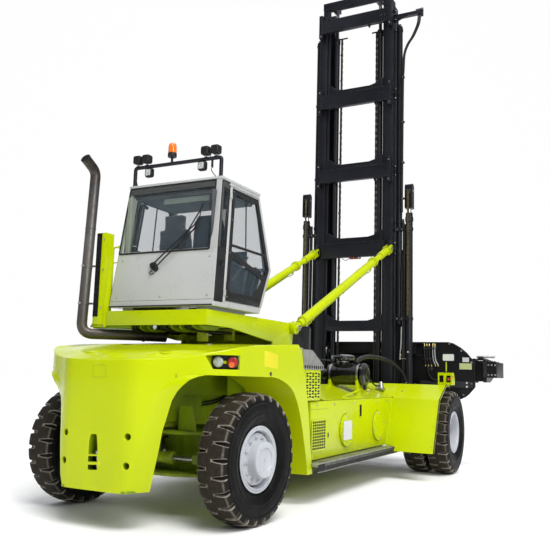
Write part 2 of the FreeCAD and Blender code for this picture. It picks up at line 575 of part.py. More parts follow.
def rail_pair(x0, x1, yo, yi, web, fl, z0, z1):
    r = fuse(box(x0, x1, yo - web, yo, z0, z1), box(x0, x0 + fl, yi, yo, z0, z1), box(x1 - fl, x1, yi, yo, z0, z1))
    return r


def mast_rail():
    r = rail_pair(RAIL_X0, RAIL_X1, RAIL_Y, 0.615, 0.030, 0.025, MAST_Z0, MAST_Z1)
    foot = fuse(prism_y([(5.90, 0.40), (5.90, 0.80), (6.10, 0.80), (6.14, 0.62), (6.10, 0.45)], 0.765, 0.800),
                cyl((MAST_PIVOT[0], 0.765, MAST_PIVOT[1]), (0, 1, 0), 0.060, 0.125))
    return fuse(r, foot)


pair("mast_rails", mast_rail())
cm = []
for z0, z1 in CROSS_Z:
    cm.append(fuse(box(5.800, 5.879, -0.692, 0.692, z0, z1),
                   box(5.790, 5.879, 0.690, 0.765, z0 - 0.10, z1 + 0.12), box(5.790, 5.879, -0.765, -0.690, z0 - 0.10, z1 + 0.12)))
lugs = []
for s in (1, -1):
    a, b = sorted((s * 0.720, s * 0.770))
    lug = prism_y([(5.885, 3.78), (5.80, 3.868), (5.742, 3.900), (5.728, 3.945), (5.745, 3.990), (5.80, 4.012), (5.885, 4.12)], a, b)
    cm[3] = cm[3].cut(box(5.70, 5.879, *sorted((s * 0.688, s * 0.815)), 3.70, 4.25))
    lugs.append(fuse(lug.common(box(5.6, 5.879, -1, 1, 3, 5)), cyl((TILT_MAST[0], s * 0.680, TILT_MAST[1]), (0, s, 0), 0.035, 0.130)))
cm[3] = box(5.800, 5.879, -0.640, 0.640, *CROSS_Z[3])
low = box(5.907, 6.193, -0.733, 0.733, 0.401, 0.440)
save("mast_crossmembers", *(cm + lugs + [low]))
bar_l = fuse(tube((6.035, 0.460, 0.900), (0, 0, 1), 0.055, 0.0355, 7.50), tube((6.035, 0.460, 8.28), (0, 0, 1), 0.060, 0.0355, 0.12),
             box(5.99, 6.08, 0.415, 0.505, 0.441, 0.905))
pair("lift_barrels", bar_l)


def side_cylinder():
    col = [cyl((6.06, 0.855, 2.55), (0, 0, 1), 0.055, 5.85), cyl((6.06, 0.855, 2.55), (0, 0, 1), 0.068, 1.40),
           cyl((6.02, 1.060, 0.72), (0, 0, 1), 0.066, 3.92), cyl((6.02, 1.060, 4.60), (0, 0, 1), 0.040, 0.20),
           box(5.95, 6.10, 0.985, 1.135, 4.72, 5.20)]
    for z in (3.10, 4.45, 5.46, 7.0, 8.30):
        col.append(box(6.03, 6.09, 0.766, 0.86, z, z + 0.05))
    for z in (1.0, 2.62, 4.30):
        col.append(box(5.98, 6.07, 0.766, 1.06, z, z + 0.06))
    return fuse(*col)


pair("side_cylinders", side_cylinder())
arm = fuse(box(5.95, 6.05, -1.30, -0.766, 8.55, 8.62), box(5.98, 6.02, -1.34, -1.28, 8.50, 8.67))
save("hose_arm", arm)

# inner mast, nested in the outer channels
ir = rail_pair(5.915, 6.185, 0.725, 0.560, 0.028, 0.028, 0.560, 9.00)
pair("inner_rails", ir)
ic = []
for z0, z1 in ((8.955, 9.16), (7.02, 7.24), (5.48, 5.70), (3.98, 4.22), (2.42, 2.62)):
    pts = [(-0.558, z0), (0.558, z0), (0.558, z1 + 0.12), (0.50, z1 + 0.10), (0.40, z1 + 0.03), (0.28, z1), (-0.28, z1), (-0.40, z1 + 0.03), (-0.50, z1 + 0.10), (-0.558, z1 + 0.12)]
    if z0 > 8:
        pts = [(-0.725, 9.001), (-0.725, z1), (0.725, z1), (0.725, 9.001), (0.558, 9.001), (0.558, z0), (-0.558, z0), (-0.558, 9.001)]
        # top beam behind the carriage's path, with a seat over each lift rod
        ic.append(fuse(prism_x(pts, 5.900, 5.945), box(5.940, 6.090, 0.400, 0.520, 8.955, 9.100), box(5.940, 6.090, -0.520, -0.400, 8.955, 9.100)))
    else:
        ic.append(prism_x(pts, 5.905, 5.945))
save("inner_crossmembers", *ic)
pair("lift_rods", cyl((6.035, 0.460, 1.000), (0, 0, 1), 0.035, 7.954))

# carriage with rollers in the inner channels
cr = []
for s in (1, -1):
    a, b = sorted((s * 0.528, s * 0.554))
    cr.append(box(6.00, 6.30, a, b, 0.80, 2.20))
    for z in (0.95, 2.05):
        c = cyl((6.050, s * 0.550, z), (0, s, 0), 0.098, 0.125)
        cr.append(c)
    a, b = sorted((s * 0.45, s * 0.72))
    cr.append(box(6.235, 6.30, a, b, 0.78, 2.24))
cr += [box(6.240, 6.300, -0.72, 0.72, 2.02, 2.24), box(6.240, 6.300, -0.72, 0.72, 0.78, 0.98), box(6.240, 6.300, -0.72, 0.72, 1.42, 1.56)]
for z0, z1 in ((2.02, 2.20), (0.80, 0.98)):
    cr.append(box(6.29, 6.360, -1.10, 1.10, z0, z1))
save("carriage", fuse(*cr))

# -------------------------------------------------------------- spreader
Y0 = SPREADER_Y


def spr_plate(side):
    pts = [(0.30, 1.10), (0.30, 2.245), (2.18, 2.245), (2.27, 2.225), (2.40, 2.150), (2.52, 2.050), (2.63, 1.910), (2.66, 1.860), (2.66, 1.440), (2.56, 1.320), (2.50, 1.270), (2.30, 1.180), (2.10, 1.10)]
    p = [(Y0 + side * y, z) for y, z in pts]
    return prism_x(p, 6.400, 6.440)


sp = [spr_plate(1), spr_plate(-1),
      box(6.372, 6.440, Y0 - 1.70, Y0 + 1.70, 2.215, 2.245), box(6.372, 6.440, Y0 - 1.70, Y0 + 1.70, 1.985, 2.000),
      box(6.372, 6.440, Y0 - 1.70, Y0 + 1.70, 1.000, 1.015), box(6.372, 6.440, Y0 - 1.70, Y0 + 1.70, 0.765, 0.780),
      box(6.400, 6.440, Y0 - 1.70, Y0 + 1.70, 0.765, 1.125), box(6.400, 6.440, Y0 - 0.35, Y0 + 0.35, 1.90, 2.245)]


def box_beam(x0, x1, y0, y1, z0, z1, t):
    return box(x0, x1, y0, y1, z0, z1).cut(box(x0 + t, x1 - t, y0 - 1, y1 + 1, z0 + t, z1 - t))


sp += [box_beam(6.438, 6.700, Y0 - 2.66, Y0 + 2.66, 1.52, 1.94, 0.016), box_beam(6.438, 6.700, Y0 - 2.30, Y0 + 2.30, 1.13, 1.50, 0.016)]
sp += [box(6.438, 6.70, Y0 - 2.3, Y0 + 2.3, 1.50, 1.52)]
save("spreader_frame", fuse(*sp))


def telescope(side):
    # the right beam runs in the upper housing, the left one in the lower
    s = side
    if s < 0:
        z0, z1 = 1.545, 1.915
        a, b = Y0 - 2.86, Y0 + 2.10
    else:
        z0, z1 = 1.155, 1.475
        a, b = Y0 - 2.10, Y0 + 2.86
    x0, x1 = 6.463, 6.675
    beam = box(x0, x1, a, b, z0, z1).cut(box(x0 + .012, x1 - .012, a - 1, b + 1, z0 + .012, z1 - .012))
    e0, e1 = sorted((Y0 + s * 2.80, Y0 + s * 2.862))
    foot = [(6.75, 1.50), (6.72, 1.10), (6.42, 1.10)] if s > 0 else [(6.75, 1.530), (6.42, 1.530)]
    end = prism_y([(6.42, 1.60), (6.42, 1.93), (7.04, 1.93), (7.08, 1.88), (7.08, 1.62)] + foot, e0, e1)
    # end block and the pin that goes into a corner casting's side hole
    h0, h1 = sorted((Y0 + s * 2.862, Y0 + s * SPREADER_HALF))
    head = fuse(box(6.45, 7.11, h0, h1, 1.615, 1.89), cyl((7.09, Y0 + s * 2.945, 1.75), (1, 0, 0), 0.035, 0.21))
    return fuse(beam, end, head)


save("telescope_right", telescope(-1))
save("telescope_left", telescope(1))

# ---------------------------------------------------------- tilt cylinders
dx, dz = TILT_MAST[0] - TILT_REAR[0], TILT_MAST[1] - TILT_REAR[1]
TL = math.hypot(dx, dz)
ux, uz = dx / TL, dz / TL


def along(t, y, n=0.0):
    return (TILT_REAR[0] + ux * t - uz * n, y, TILT_REAR[1] + uz * t + ux * n)


for s, nm in ((-1, "right"), (1, "left")):
    y = s * TILT_Y
    d = (ux, 0, uz)
    eye = cyl((TILT_REAR[0], y - 0.033, TILT_REAR[1]), (0, 1, 0), 0.085, 0.066)
    neck = cyl(along(0.05, y), d, 0.030, 0.12).fuse(cyl(along(0.15, y), d, 0.050, 0.12))
    brl = cyl(along(0.25, y), d, 0.066, 3.11).cut(cyl(along(0.45, y), d, 0.0475, 3.1))
    collar = cyl(along(3.30, y), d, 0.088, 0.07).cut(cyl(along(3.2, y), d, 0.0475, 0.4))
    b = fuse(eye, neck, brl, collar).cut(cyl((TILT_REAR[0], y - 0.1, TILT_REAR[1]), (0, 1, 0), 0.0405, 0.2))
    save("tilt_barrel_" + nm, b)
    rodc = cyl(along(0.90, y), d, 0.047, TL - 0.90 - 0.24)
    stub = cyl(along(3.72, y), d, 0.066, TL - 3.72 - 0.16)
    fork = None
    pts = [along(TL - 0.20, 0, -0.075), along(TL - 0.20, 0, 0.075), along(TL + 0.03, 0, 0.070), along(TL + 0.062, 0, 0.03), along(TL + 0.062, 0, -0.03), along(TL + 0.02, 0, -0.070)]
    pts = [(p[0], p[2]) for p in pts]
    f1 = prism_y(pts, y - 0.055, y + 0.055)
    gap = [along(TL - 0.095, 0, -0.2), along(TL - 0.095, 0, 0.2), along(TL + 0.3, 0, 0.2), along(TL + 0.3, 0, -0.2)]
    f1 = f1.cut(prism_y([(p[0], p[2]) for p in gap], y - 0.030, y + 0.030))
    r = fuse(rodc, stub, f1).cut(cyl((TILT_MAST[0], y - 0.2, TILT_MAST[1]), (0, 1, 0), 0.0425, 0.4))
    save("tilt_rod_" + nm, r)

bb = Part.makeCompound(ALL).BoundBox
print("box", [round(v, 1) for v in (bb.XMin, bb.XMax, bb.YMin, bb.YMax, bb.ZMin, bb.ZMax)])
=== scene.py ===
import math
import random

import bmesh
import bpy
import numpy as np
from mathutils import Matrix, Vector


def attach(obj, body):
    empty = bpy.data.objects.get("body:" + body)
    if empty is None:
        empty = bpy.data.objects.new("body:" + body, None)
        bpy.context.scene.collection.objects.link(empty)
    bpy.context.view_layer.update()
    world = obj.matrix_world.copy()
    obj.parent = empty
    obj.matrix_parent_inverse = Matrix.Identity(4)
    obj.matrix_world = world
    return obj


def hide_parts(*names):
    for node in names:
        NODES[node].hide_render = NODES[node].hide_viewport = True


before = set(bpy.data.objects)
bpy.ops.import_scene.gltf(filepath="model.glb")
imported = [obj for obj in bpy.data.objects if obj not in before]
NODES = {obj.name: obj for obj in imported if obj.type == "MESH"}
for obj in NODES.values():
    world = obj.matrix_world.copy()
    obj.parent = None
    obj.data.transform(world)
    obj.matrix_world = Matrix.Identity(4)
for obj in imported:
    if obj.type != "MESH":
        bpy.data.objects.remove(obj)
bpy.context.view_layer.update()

random.seed(7)

# The truck's own frame has its origin at the steer axle, on the centre plane.
OX, OY = 3.10, 0.50


def D(x, y, z):
    return Vector((x - OX, y - OY, z))


# ---------------------------------------------------------------- materials
def new_mat(name):
    m = bpy.data.materials.new(name)
    m.use_nodes = True
    nt = m.node_tree
    nt.nodes.clear()
    out = nt.nodes.new("ShaderNodeOutputMaterial")
    b = nt.nodes.new("ShaderNodeBsdfPrincipled")
    nt.links.new(b.outputs[0], out.inputs[0])
    return m, nt, b


class N:
    """Small helper that wires nodes in one material."""

    def __init__(self, nt):
        self.nt = nt
        self.tc = None

    def node(self, kind, **kw):
        n = self.nt.nodes.new(kind)
        for k, v in kw.items():
            setattr(n, k, v)
        return n

    def link(self, a, b):
        self.nt.links.new(a, b)

    def coord(self):
        if self.tc is None:
            self.tc = self.node("ShaderNodeTexCoord")
        return self.tc.outputs["Object"]

    def noise(self, scale, detail=4.0, rough=0.55, vec=None, dist=0.0):
        n = self.node("ShaderNodeTexNoise")
        n.inputs["Scale"].default_value = scale
        n.inputs["Detail"].default_value = detail
        n.inputs["Roughness"].default_value = rough
        n.inputs["Distortion"].default_value = dist
        self.link(vec if vec is not None else self.coord(), n.inputs["Vector"])
        return n.outputs["Fac"]

    def stretch(self, sx, sy, sz):
        m = self.node("ShaderNodeMapping")
        m.inputs["Scale"].default_value = (sx, sy, sz)
        self.link(self.coord(), m.inputs["Vector"])
        return m.outputs[0]

    def ramp(self, fac, stops):
        r = self.node("ShaderNodeValToRGB")
        els = r.color_ramp.elements
        while len(els) > 1:
            els.remove(els[0])
        els[0].position = stops[0][0]
        els[0].color = self.rgba(stops[0][1])
        for p, c in stops[1:]:
            e = els.new(p)
            e.color = self.rgba(c)
        self.link(fac, r.inputs[0])
        return r.outputs[0]

    @staticmethod
    def rgba(c):
        if isinstance(c, (int, float)):
            return (c, c, c, 1)
        return (c[0], c[1], c[2], 1)

    def math(self, op, a, b=None, clamp=False):
        m = self.node("ShaderNodeMath", operation=op)
        m.use_clamp = clamp
        for i, v in enumerate((a, b)):
            if v is None:
                continue
            if isinstance(v, (int, float)):
                m.inputs[i].default_value = v
            else:
                self.link(v, m.inputs[i])
        return m.outputs[0]

    def mix(self, fac, a, b, mode="MIX"):
        m = self.node("ShaderNodeMix", data_type="RGBA", blend_type=mode)
        m.clamp_factor = True
        if isinstance(fac, (int, float)):
            m.inputs[0].default_value = fac
        else:
            self.link(fac, m.inputs[0])
        for i, v in ((6, a), (7, b)):
            if isinstance(v, (tuple, list)):
                m.inputs[i].default_value = self.rgba(v)
            else:
                self.link(v, m.inputs[i])
        return m.outputs[2]

    def sep(self, vec):
        s = self.node("ShaderNodeSeparateXYZ")
        self.link(vec, s.inputs[0])
        return s.outputs

    def up(self):
        """1 on faces that look up, 0 on the rest"""
        g = self.node("ShaderNodeNewGeometry")
        z = self.sep(g.outputs["Normal"])[2]
        return self.math("MULTIPLY", self.math("SUBTRACT", z, 0.45, True), 1.8, True)

    def edges(self, radius=0.012, gain=6.0):
        """1 along outer edges, from how far the rounded normal turns from the flat one"""
        b = self.node("ShaderNodeBevel")
        b.samples = 3
        b.inputs["Radius"].default_value = radius
        g = self.node("ShaderNodeNewGeometry")
        d = self.node("ShaderNodeVectorMath", operation="DOT_PRODUCT")
        self.link(b.outputs[0], d.inputs[0])
        self.link(g.outputs["Normal"], d.inputs[1])
        return self.math("MULTIPLY", self.math("SUBTRACT", 1.0, d.outputs["Value"]), gain, True)

    def bump(self, height, strength=0.2, distance=0.002, normal=None):
        b = self.node("ShaderNodeBump")
        b.inputs["Strength"].default_value = strength
        b.inputs["Distance"].default_value = distance
        self.link(height, b.inputs["Height"])
        if normal is not None:
            self.link(normal, b.inputs["Normal"])
        return b.outputs[0]


def paint(name, base, light, dirt, rough=(0.22, 0.40), coat=0.5, wear=None, grime=0.35, wear_gain=6.0, low=0.9, peel=0.12, spec=0.35, dusty=0.22, chip=0.50):
    """Sprayed paint: slight tone drift, dust on top faces, road dirt low down, rubbed edges, orange peel."""
    m, nt, b = new_mat(name)
    n = N(nt)
    broad = n.noise(0.7, 3.0, 0.5)
    col = n.mix(n.ramp(broad, [(0.35, 0.0), (0.68, 1.0)]), base, light)
    fine = n.noise(9.0, 6.0, 0.62)
    dust = n.math("MULTIPLY", n.up(), n.ramp(fine, [(0.46, 0.0), (0.78, dusty)]))
    col = n.mix(dust, col, (0.46, 0.46, 0.36))
    z = n.sep(n.coord())[2]
    lowness = n.math("MULTIPLY", n.math("SUBTRACT", low, z, True), 0.9, True)
    streak = n.noise(5.0, 5.0, 0.65, n.stretch(1.0, 1.0, 0.22))
    dirty = n.math("MULTIPLY", n.math("MULTIPLY", lowness, grime), n.ramp(streak, [(0.38, 0.1), (0.66, 1.0)]))
    col = n.mix(dirty, col, dirt)
    if wear is not None:
        e = n.edges(gain=wear_gain)
        chips = n.ramp(n.noise(38.0, 5.0, 0.7), [(chip, 0.0), (chip + 0.10, 1.0)])
        col = n.mix(n.math("MULTIPLY", e, chips), col, wear)
    nt.links.new(col, b.inputs["Base Color"])
    r = n.ramp(n.noise(4.0, 5.0, 0.6), [(0.3, rough[0]), (0.7, rough[1])])
    nt.links.new(n.math("ADD", r, n.math("MULTIPLY", dirty, 0.35)), b.inputs["Roughness"])
    nt.links.new(n.bump(n.noise(160.0, 2.0, 0.5), peel, 0.0008), b.inputs["Normal"])
    b.inputs["Coat Weight"].default_value = coat
    b.inputs["Coat Roughness"].default_value = 0.05
    b.inputs["IOR"].default_value = 1.5
    b.inputs["Specular IOR Level"].default_value = spec
    return m


def metal(name, base, other, rough=(0.25, 0.45), scale=6.0, stretch=(1, 1, 1), bump=0.15, bump_scale=120.0, metallic=1.0, stain=None):
    m, nt, b = new_mat(name)
    n = N(nt)
    v = n.stretch(*stretch)
    t = n.noise(scale, 5.0, 0.6, v)
    col = n.mix(n.ramp(t, [(0.35, 0.0), (0.65, 1.0)]), base, other)
    if stain is not None:
        s = n.noise(2.2, 6.0, 0.7)
        col = n.mix(n.ramp(s, [(0.52, 0.0), (0.66, 0.8)]), col, stain)
    nt.links.new(col, b.inputs["Base Color"])
    nt.links.new(n.ramp(n.noise(scale * 2, 4.0, 0.6, v), [(0.3, rough[0]), (0.7, rough[1])]), b.inputs["Roughness"])
    nt.links.new(n.bump(n.noise(bump_scale, 3.0, 0.6, v), bump, 0.001), b.inputs["Normal"])
    b.inputs["Metallic"].default_value = metallic
    return m


def plastic(name, base, light, rough=(0.35, 0.55), grain=300.0, bump=0.25, dust=0.25):
    m, nt, b = new_mat(name)
    n = N(nt)
    col = n.mix(n.ramp(n.noise(3.0, 4.0, 0.6), [(0.35, 0.0), (0.7, 1.0)]), base, light)
    d = n.math("MULTIPLY", n.up(), n.ramp(n.noise(12.0, 5.0, 0.65), [(0.45, 0.0), (0.7, dust)]))
    col = n.mix(d, col, (0.42, 0.40, 0.36))
    nt.links.new(col, b.inputs["Base Color"])
    nt.links.new(n.ramp(n.noise(7.0, 4.0, 0.6), [(0.3, rough[0]), (0.7, rough[1])]), b.inputs["Roughness"])
    nt.links.new(n.bump(n.noise(grain, 2.0, 0.5), bump, 0.0006), b.inputs["Normal"])
    b.inputs["Specular IOR Level"].default_value = 0.28
    return m


LIME = paint("lime_paint_finish", (0.460, 0.555, 0.0), (0.510, 0.605, 0.0003), (0.20, 0.21, 0.06), wear=(0.30, 0.36, 0.05), grime=0.22, coat=0.12, spec=0.16, rough=(0.16, 0.28), dusty=0.05, chip=0.62, peel=0.06)
# darker copy of the lime paint: painted shade on undersides, inner walls, openings and parts under the body; also the
# dark seams and joints, with road dirt low down
LIME_SHADE_AND_SEAM = paint("lime_shade_and_seam_finish", (0.20, 0.30, 0.0), (0.28, 0.39, 0.002), (0.06, 0.06, 0.025), wear=(0.12, 0.13, 0.06), grime=0.8, low=1.5, rough=(0.3, 0.55), coat=0.1, spec=0.25)
CAB = paint("cab_white_finish", (0.40, 0.41, 0.405), (0.47, 0.48, 0.475), (0.33, 0.33, 0.30), wear=(0.36, 0.36, 0.34), grime=0.07, rough=(0.24, 0.38), coat=0.25, spec=0.35)
CHAR = paint("mast_charcoal_finish", (0.0062, 0.0066, 0.0100), (0.0115, 0.0122, 0.0180), (0.05, 0.047, 0.04), wear=(0.085, 0.085, 0.095), grime=0.4, rough=(0.34, 0.52), coat=0.08, low=2.0, spec=0.28)
BLACK = paint("spreader_black_finish", (0.0045, 0.0045, 0.0052), (0.0085, 0.0085, 0.0095), (0.036, 0.035, 0.031), wear=(0.07, 0.07, 0.07), grime=0.3, rough=(0.34, 0.52), coat=0.03, low=1.5, spec=0.20)
RIM = paint("rim_grey_finish", (0.44, 0.46, 0.50), (0.52, 0.54, 0.58), (0.22, 0.20, 0.16), wear=(0.30, 0.30, 0.30), grime=0.45, rough=(0.30, 0.46), coat=0.1, low=1.2, spec=0.3)
CASTING = paint("axle_casting_finish", (0.020, 0.021, 0.020), (0.042, 0.043, 0.040), (0.07, 0.06, 0.045), wear=(0.12, 0.11, 0.10), grime=0.8, rough=(0.45, 0.7), coat=0.0, low=1.6, peel=0.4, spec=0.25)
LINING = paint("cab_pillar_lining_finish", (0.17, 0.20, 0.16), (0.23, 0.26, 0.21), (0.14, 0.15, 0.12), grime=0.1, rough=(0.55, 0.75), coat=0.0, spec=0.2)
GALV = metal("galvanised_finish", (0.40, 0.40, 0.37), (0.55, 0.55, 0.52), (0.38, 0.60), 14.0, bump=0.2, stain=(0.30, 0.28, 0.24))
CHROME = metal("chromed_rod_finish", (0.72, 0.72, 0.74), (0.80, 0.80, 0.82), (0.06, 0.14), 20.0, bump=0.02)
STEEL = metal("plain_steel_finish", (0.42, 0.42, 0.43), (0.56, 0.56, 0.56), (0.25, 0.45), 18.0, bump=0.1, stain=(0.20, 0.18, 0.16))
PLAST = plastic("black_plastic_finish", (0.008, 0.008, 0.009), (0.018, 0.018, 0.019))
RUBBER = plastic("rubber_trim_finish", (0.012, 0.012, 0.012), (0.024, 0.024, 0.023), (0.5, 0.7), 220.0, 0.3)
# near-black sheet: painted shade behind holes, in recesses and openings and in the exhaust mouth; also the dark face of
# the cab display
SHADE_AND_SCREEN_BLACK = plastic("shade_and_screen_black_finish", (0.002, 0.002, 0.002), (0.004, 0.004, 0.004), (0.8, 0.95), 60.0, 0.2, 0.0)
HOSE = plastic("hose_rubber_finish", (0.010, 0.010, 0.010), (0.026, 0.026, 0.024), (0.35, 0.55), 420.0, 0.35)
GREYTRIM = plastic("cab_lining_finish", (0.055, 0.057, 0.062), (0.085, 0.087, 0.092), (0.6, 0.8), 260.0, 0.35, 0.1)
BRASS = metal("fitting_finish", (0.62, 0.50, 0.16), (0.72, 0.62, 0.26), (0.25, 0.4), 30.0, bump=0.05)


def exhaust_mat():
    m, nt, b = new_mat("exhaust_steel_finish")
    n = N(nt)
    z = n.sep(n.coord())[2]
    h = n.math("ADD", n.math("MULTIPLY", n.math("SUBTRACT", z, 1.9), 0.42), n.math("MULTIPLY", n.noise(3.0, 4.0, 0.6), 0.18))
    col = n.ramp(h, [(0.05, (0.075, 0.065, 0.056)), (0.35, (0.130, 0.124, 0.117)), (0.60, (0.165, 0.160, 0.154)), (0.85, (0.115, 0.110, 0.106)), (0.98, (0.05, 0.045, 0.045))])
    spots = n.ramp(n.noise(16.0, 6.0, 0.7), [(0.52, 0.0), (0.66, 0.7)])
    col = n.mix(spots, col, (0.13, 0.085, 0.055))
    nt.links.new(col, b.inputs["Base Color"])
    nt.links.new(n.ramp(n.noise(8.0, 5.0, 0.6), [(0.3, 0.32), (0.7, 0.55)]), b.inputs["Roughness"])
    nt.links.new(n.bump(n.noise(70.0, 4.0, 0.6), 0.25, 0.001), b.inputs["Normal"])
    b.inputs["Metallic"].default_value = 0.70
    return m


EXH = exhaust_mat()
MIRROR = metal("mirror_face_finish", (0.80, 0.81, 0.82), (0.86, 0.87, 0.88), (0.05, 0.12), 6.0, bump=0.01, metallic=0.35)


def glass_mat(name, col, alpha=0.28):
    m, nt, b = new_mat(name)
    n = N(nt)
    nt.links.new(n.mix(n.ramp(n.noise(1.6, 3.0, 0.5), [(0.3, 0.0), (0.7, 1.0)]), col, tuple(c * 0.85 for c in col)), b.inputs["Base Color"])
    nt.links.new(n.ramp(n.noise(5.0, 5.0, 0.6), [(0.4, 0.015), (0.8, 0.07)]), b.inputs["Roughness"])
    b.inputs["Alpha"].default_value = alpha
    b.inputs["IOR"].default_value = 1.5
    b.inputs["Specular IOR Level"].default_value = 0.25
    return m


GLASS = glass_mat("cab_glass_finish", (0.11, 0.155, 0.19), 0.17)
GLASS_D = glass_mat("cab_dark_glass_finish", (0.012, 0.015, 0.016), 0.62)


def lens_mat(name, col, deep, rough=0.12, ribs=140.0, emit=0.0):
    m, nt, b = new_mat(name)
    n = N(nt)
    w = n.node("ShaderNodeTexWave", wave_type="BANDS", bands_direction="Z")
    w.inputs["Scale"].default_value = ribs
    n.link(n.coord(), w.inputs["Vector"])
    col_o = n.mix(n.ramp(n.noise(30.0, 3.0, 0.5), [(0.3, 0.0), (0.7, 1.0)]), col, deep)
    nt.links.new(col_o, b.inputs["Base Color"])
    nt.links.new(n.bump(w.outputs["Fac"], 0.3, 0.001), b.inputs["Normal"])
    b.inputs["Roughness"].default_value = rough
    b.inputs["Coat Weight"].default_value = 0.8
    if emit:
        b.inputs["Emission Color"].default_value = (col[0], col[1], col[2], 1)
        b.inputs["Emission Strength"].default_value = emit
    return m


LENS_W = lens_mat("clear_lens_finish", (0.62, 0.64, 0.64), (0.36, 0.38, 0.38))
LENS_R = lens_mat("red_lens_finish", (0.52, 0.015, 0.008), (0.28, 0.006, 0.004))
LENS_O = lens_mat("orange_lens_finish", (0.85, 0.17, 0.006), (0.60, 0.08, 0.004))
LENS_B = lens_mat("beacon_lens_finish", (0.90, 0.22, 0.008), (0.70, 0.10, 0.004), 0.10, 60.0, 0.15)
PLATE = plastic("blank_label_finish", (0.66, 0.60, 0.01), (0.74, 0.68, 0.02), (0.3, 0.45), 200.0, 0.05, 0.1)
PLATE_W = plastic("blank_white_plate_finish", (0.58, 0.59, 0.58), (0.68, 0.69, 0.68), (0.3, 0.45), 200.0, 0.05, 0.1)


def tyre_mat():
    """Rubber: dusty brown tread, black wall with faint rings, lighter lug edges. Two vertex values steer it."""
    m, nt, b = new_mat("tyre_rubber_finish")
    n = N(nt)
    a = n.node("ShaderNodeAttribute")
    a.attribute_name = "tread"
    e = n.node("ShaderNodeAttribute")
    e.attribute_name = "edge"
    fine = n.noise(26.0, 6.0, 0.65)
    broad = n.noise(3.0, 4.0, 0.6)
    wall = n.mix(n.ramp(broad, [(0.35, 0.0), (0.7, 1.0)]), (0.0020, 0.0020, 0.0022), (0.0042, 0.0040, 0.0039))
    wall = n.mix(n.ramp(n.noise(9.0, 6.0, 0.7), [(0.52, 0.0), (0.72, 0.40)]), wall, (0.018, 0.017, 0.015))
    top = n.mix(n.ramp(fine, [(0.3, 0.0), (0.7, 1.0)]), (0.017, 0.013, 0.0095), (0.036, 0.029, 0.021))
    top = n.mix(n.ramp(broad, [(0.45, 0.0), (0.75, 0.6)]), top, (0.016, 0.0125, 0.0095))
    col = n.mix(a.outputs["Fac"], wall, top)
    ef = n.math("MULTIPLY", e.outputs["Fac"], n.ramp(n.noise(34.0, 4.0, 0.6), [(0.30, 0.25), (0.65, 0.95)]))
    col = n.mix(ef, col, (0.42, 0.38, 0.32))
    nt.links.new(col, b.inputs["Base Color"])
    nt.links.new(n.math("ADD", n.ramp(n.noise(8.0, 4.0, 0.6), [(0.3, 0.42), (0.7, 0.60)]), n.math("MULTIPLY", a.outputs["Fac"], 0.25)), b.inputs["Roughness"])
    nt.links.new(n.bump(n.noise(210.0, 4.0, 0.6), 0.35, 0.0012), b.inputs["Normal"])
    b.inputs["Specular IOR Level"].default_value = 0.12
    return m


TYRE = tyre_mat()


def fabric_mat():
    """Dark woven seat cloth: fine crossed threads and a soft sheen."""
    m, nt, b = new_mat("seat_cloth_finish")
    n = N(nt)
    w1 = n.node("ShaderNodeTexWave", wave_type="BANDS", bands_direction="X")
    w2 = n.node("ShaderNodeTexWave", wave_type="BANDS", bands_direction="Z")
    for w in (w1, w2):
        w.inputs["Scale"].default_value = 110.0
        w.inputs["Distortion"].default_value = 1.2
        n.link(n.coord(), w.inputs["Vector"])
    weave = n.math("MULTIPLY", w1.outputs["Fac"], w2.outputs["Fac"])
    col = n.mix(n.ramp(weave, [(0.1, 0.0), (0.7, 1.0)]), (0.009, 0.009, 0.010), (0.026, 0.027, 0.030))
    col = n.mix(n.ramp(n.noise(4.0, 4.0, 0.6), [(0.4, 0.0), (0.7, 0.5)]), col, (0.036, 0.036, 0.039))
    nt.links.new(col, b.inputs["Base Color"])
    nt.links.new(n.ramp(n.noise(20.0, 3.0, 0.5), [(0.3, 0.75), (0.7, 0.92)]), b.inputs["Roughness"])
    nt.links.new(n.bump(weave, 0.5, 0.0015), b.inputs["Normal"])
    b.inputs["Sheen Weight"].default_value = 0.5
    b.inputs["Sheen Roughness"].default_value = 0.4
    return m


CLOTH = fabric_mat()


# ---------------------------------------------------------------- mesh kit
def unit(v):
    v = np.asarray(v, float)
    return v / np.linalg.norm(v)


def basis(d):
    """two directions square to d"""
    d = unit(d)
    a = np.array([0, 0, 1.0]) if abs(d[2]) < 0.9 else np.array([1.0, 0, 0])
    u = unit(np.cross(a, d))
    return u, np.cross(d, u)


def catmull(points, k=6):
    """smooth curve through the points"""
    P = [np.asarray(p, float) for p in points]
    if len(P) < 3:
        return P
    P = [2 * P[0] - P[1]] + P + [2 * P[-1] - P[-2]]
    out = []
    for i in range(1, len(P) - 2):
        for j in range(k):
            t = j / k
            out.append(0.5 * ((2 * P[i]) + (P[i + 1] - P[i - 1]) * t + (2 * P[i - 1] - 5 * P[i] + 4 * P[i + 1] - P[i + 2]) * t * t
                              + (3 * P[i] - P[i - 1] - 3 * P[i + 1] + P[i + 2]) * t ** 3))
    out.append(P[-2])
    return out


def arcs(points, r, k=5):
    """straight runs joined by arcs, for pipes bent on a machine"""
    P = [np.asarray(p, float) for p in points]
    out = [P[0]]
    for i in range(1, len(P) - 1):
        a, b = unit(P[i - 1] - P[i]), unit(P[i + 1] - P[i])
        ang = math.acos(max(-0.9999, min(0.9999, float(a @ b))))
        t = min(r / math.tan(ang / 2), 0.45 * np.linalg.norm(P[i - 1] - P[i]), 0.45 * np.linalg.norm(P[i + 1] - P[i]))
        s, e = P[i] + a * t, P[i] + b * t
        for j in range(k + 1):
            w = j / k
            out.append((1 - w) ** 2 * s + 2 * w * (1 - w) * P[i] + w * w * e)
    out.append(P[-1])
    return out


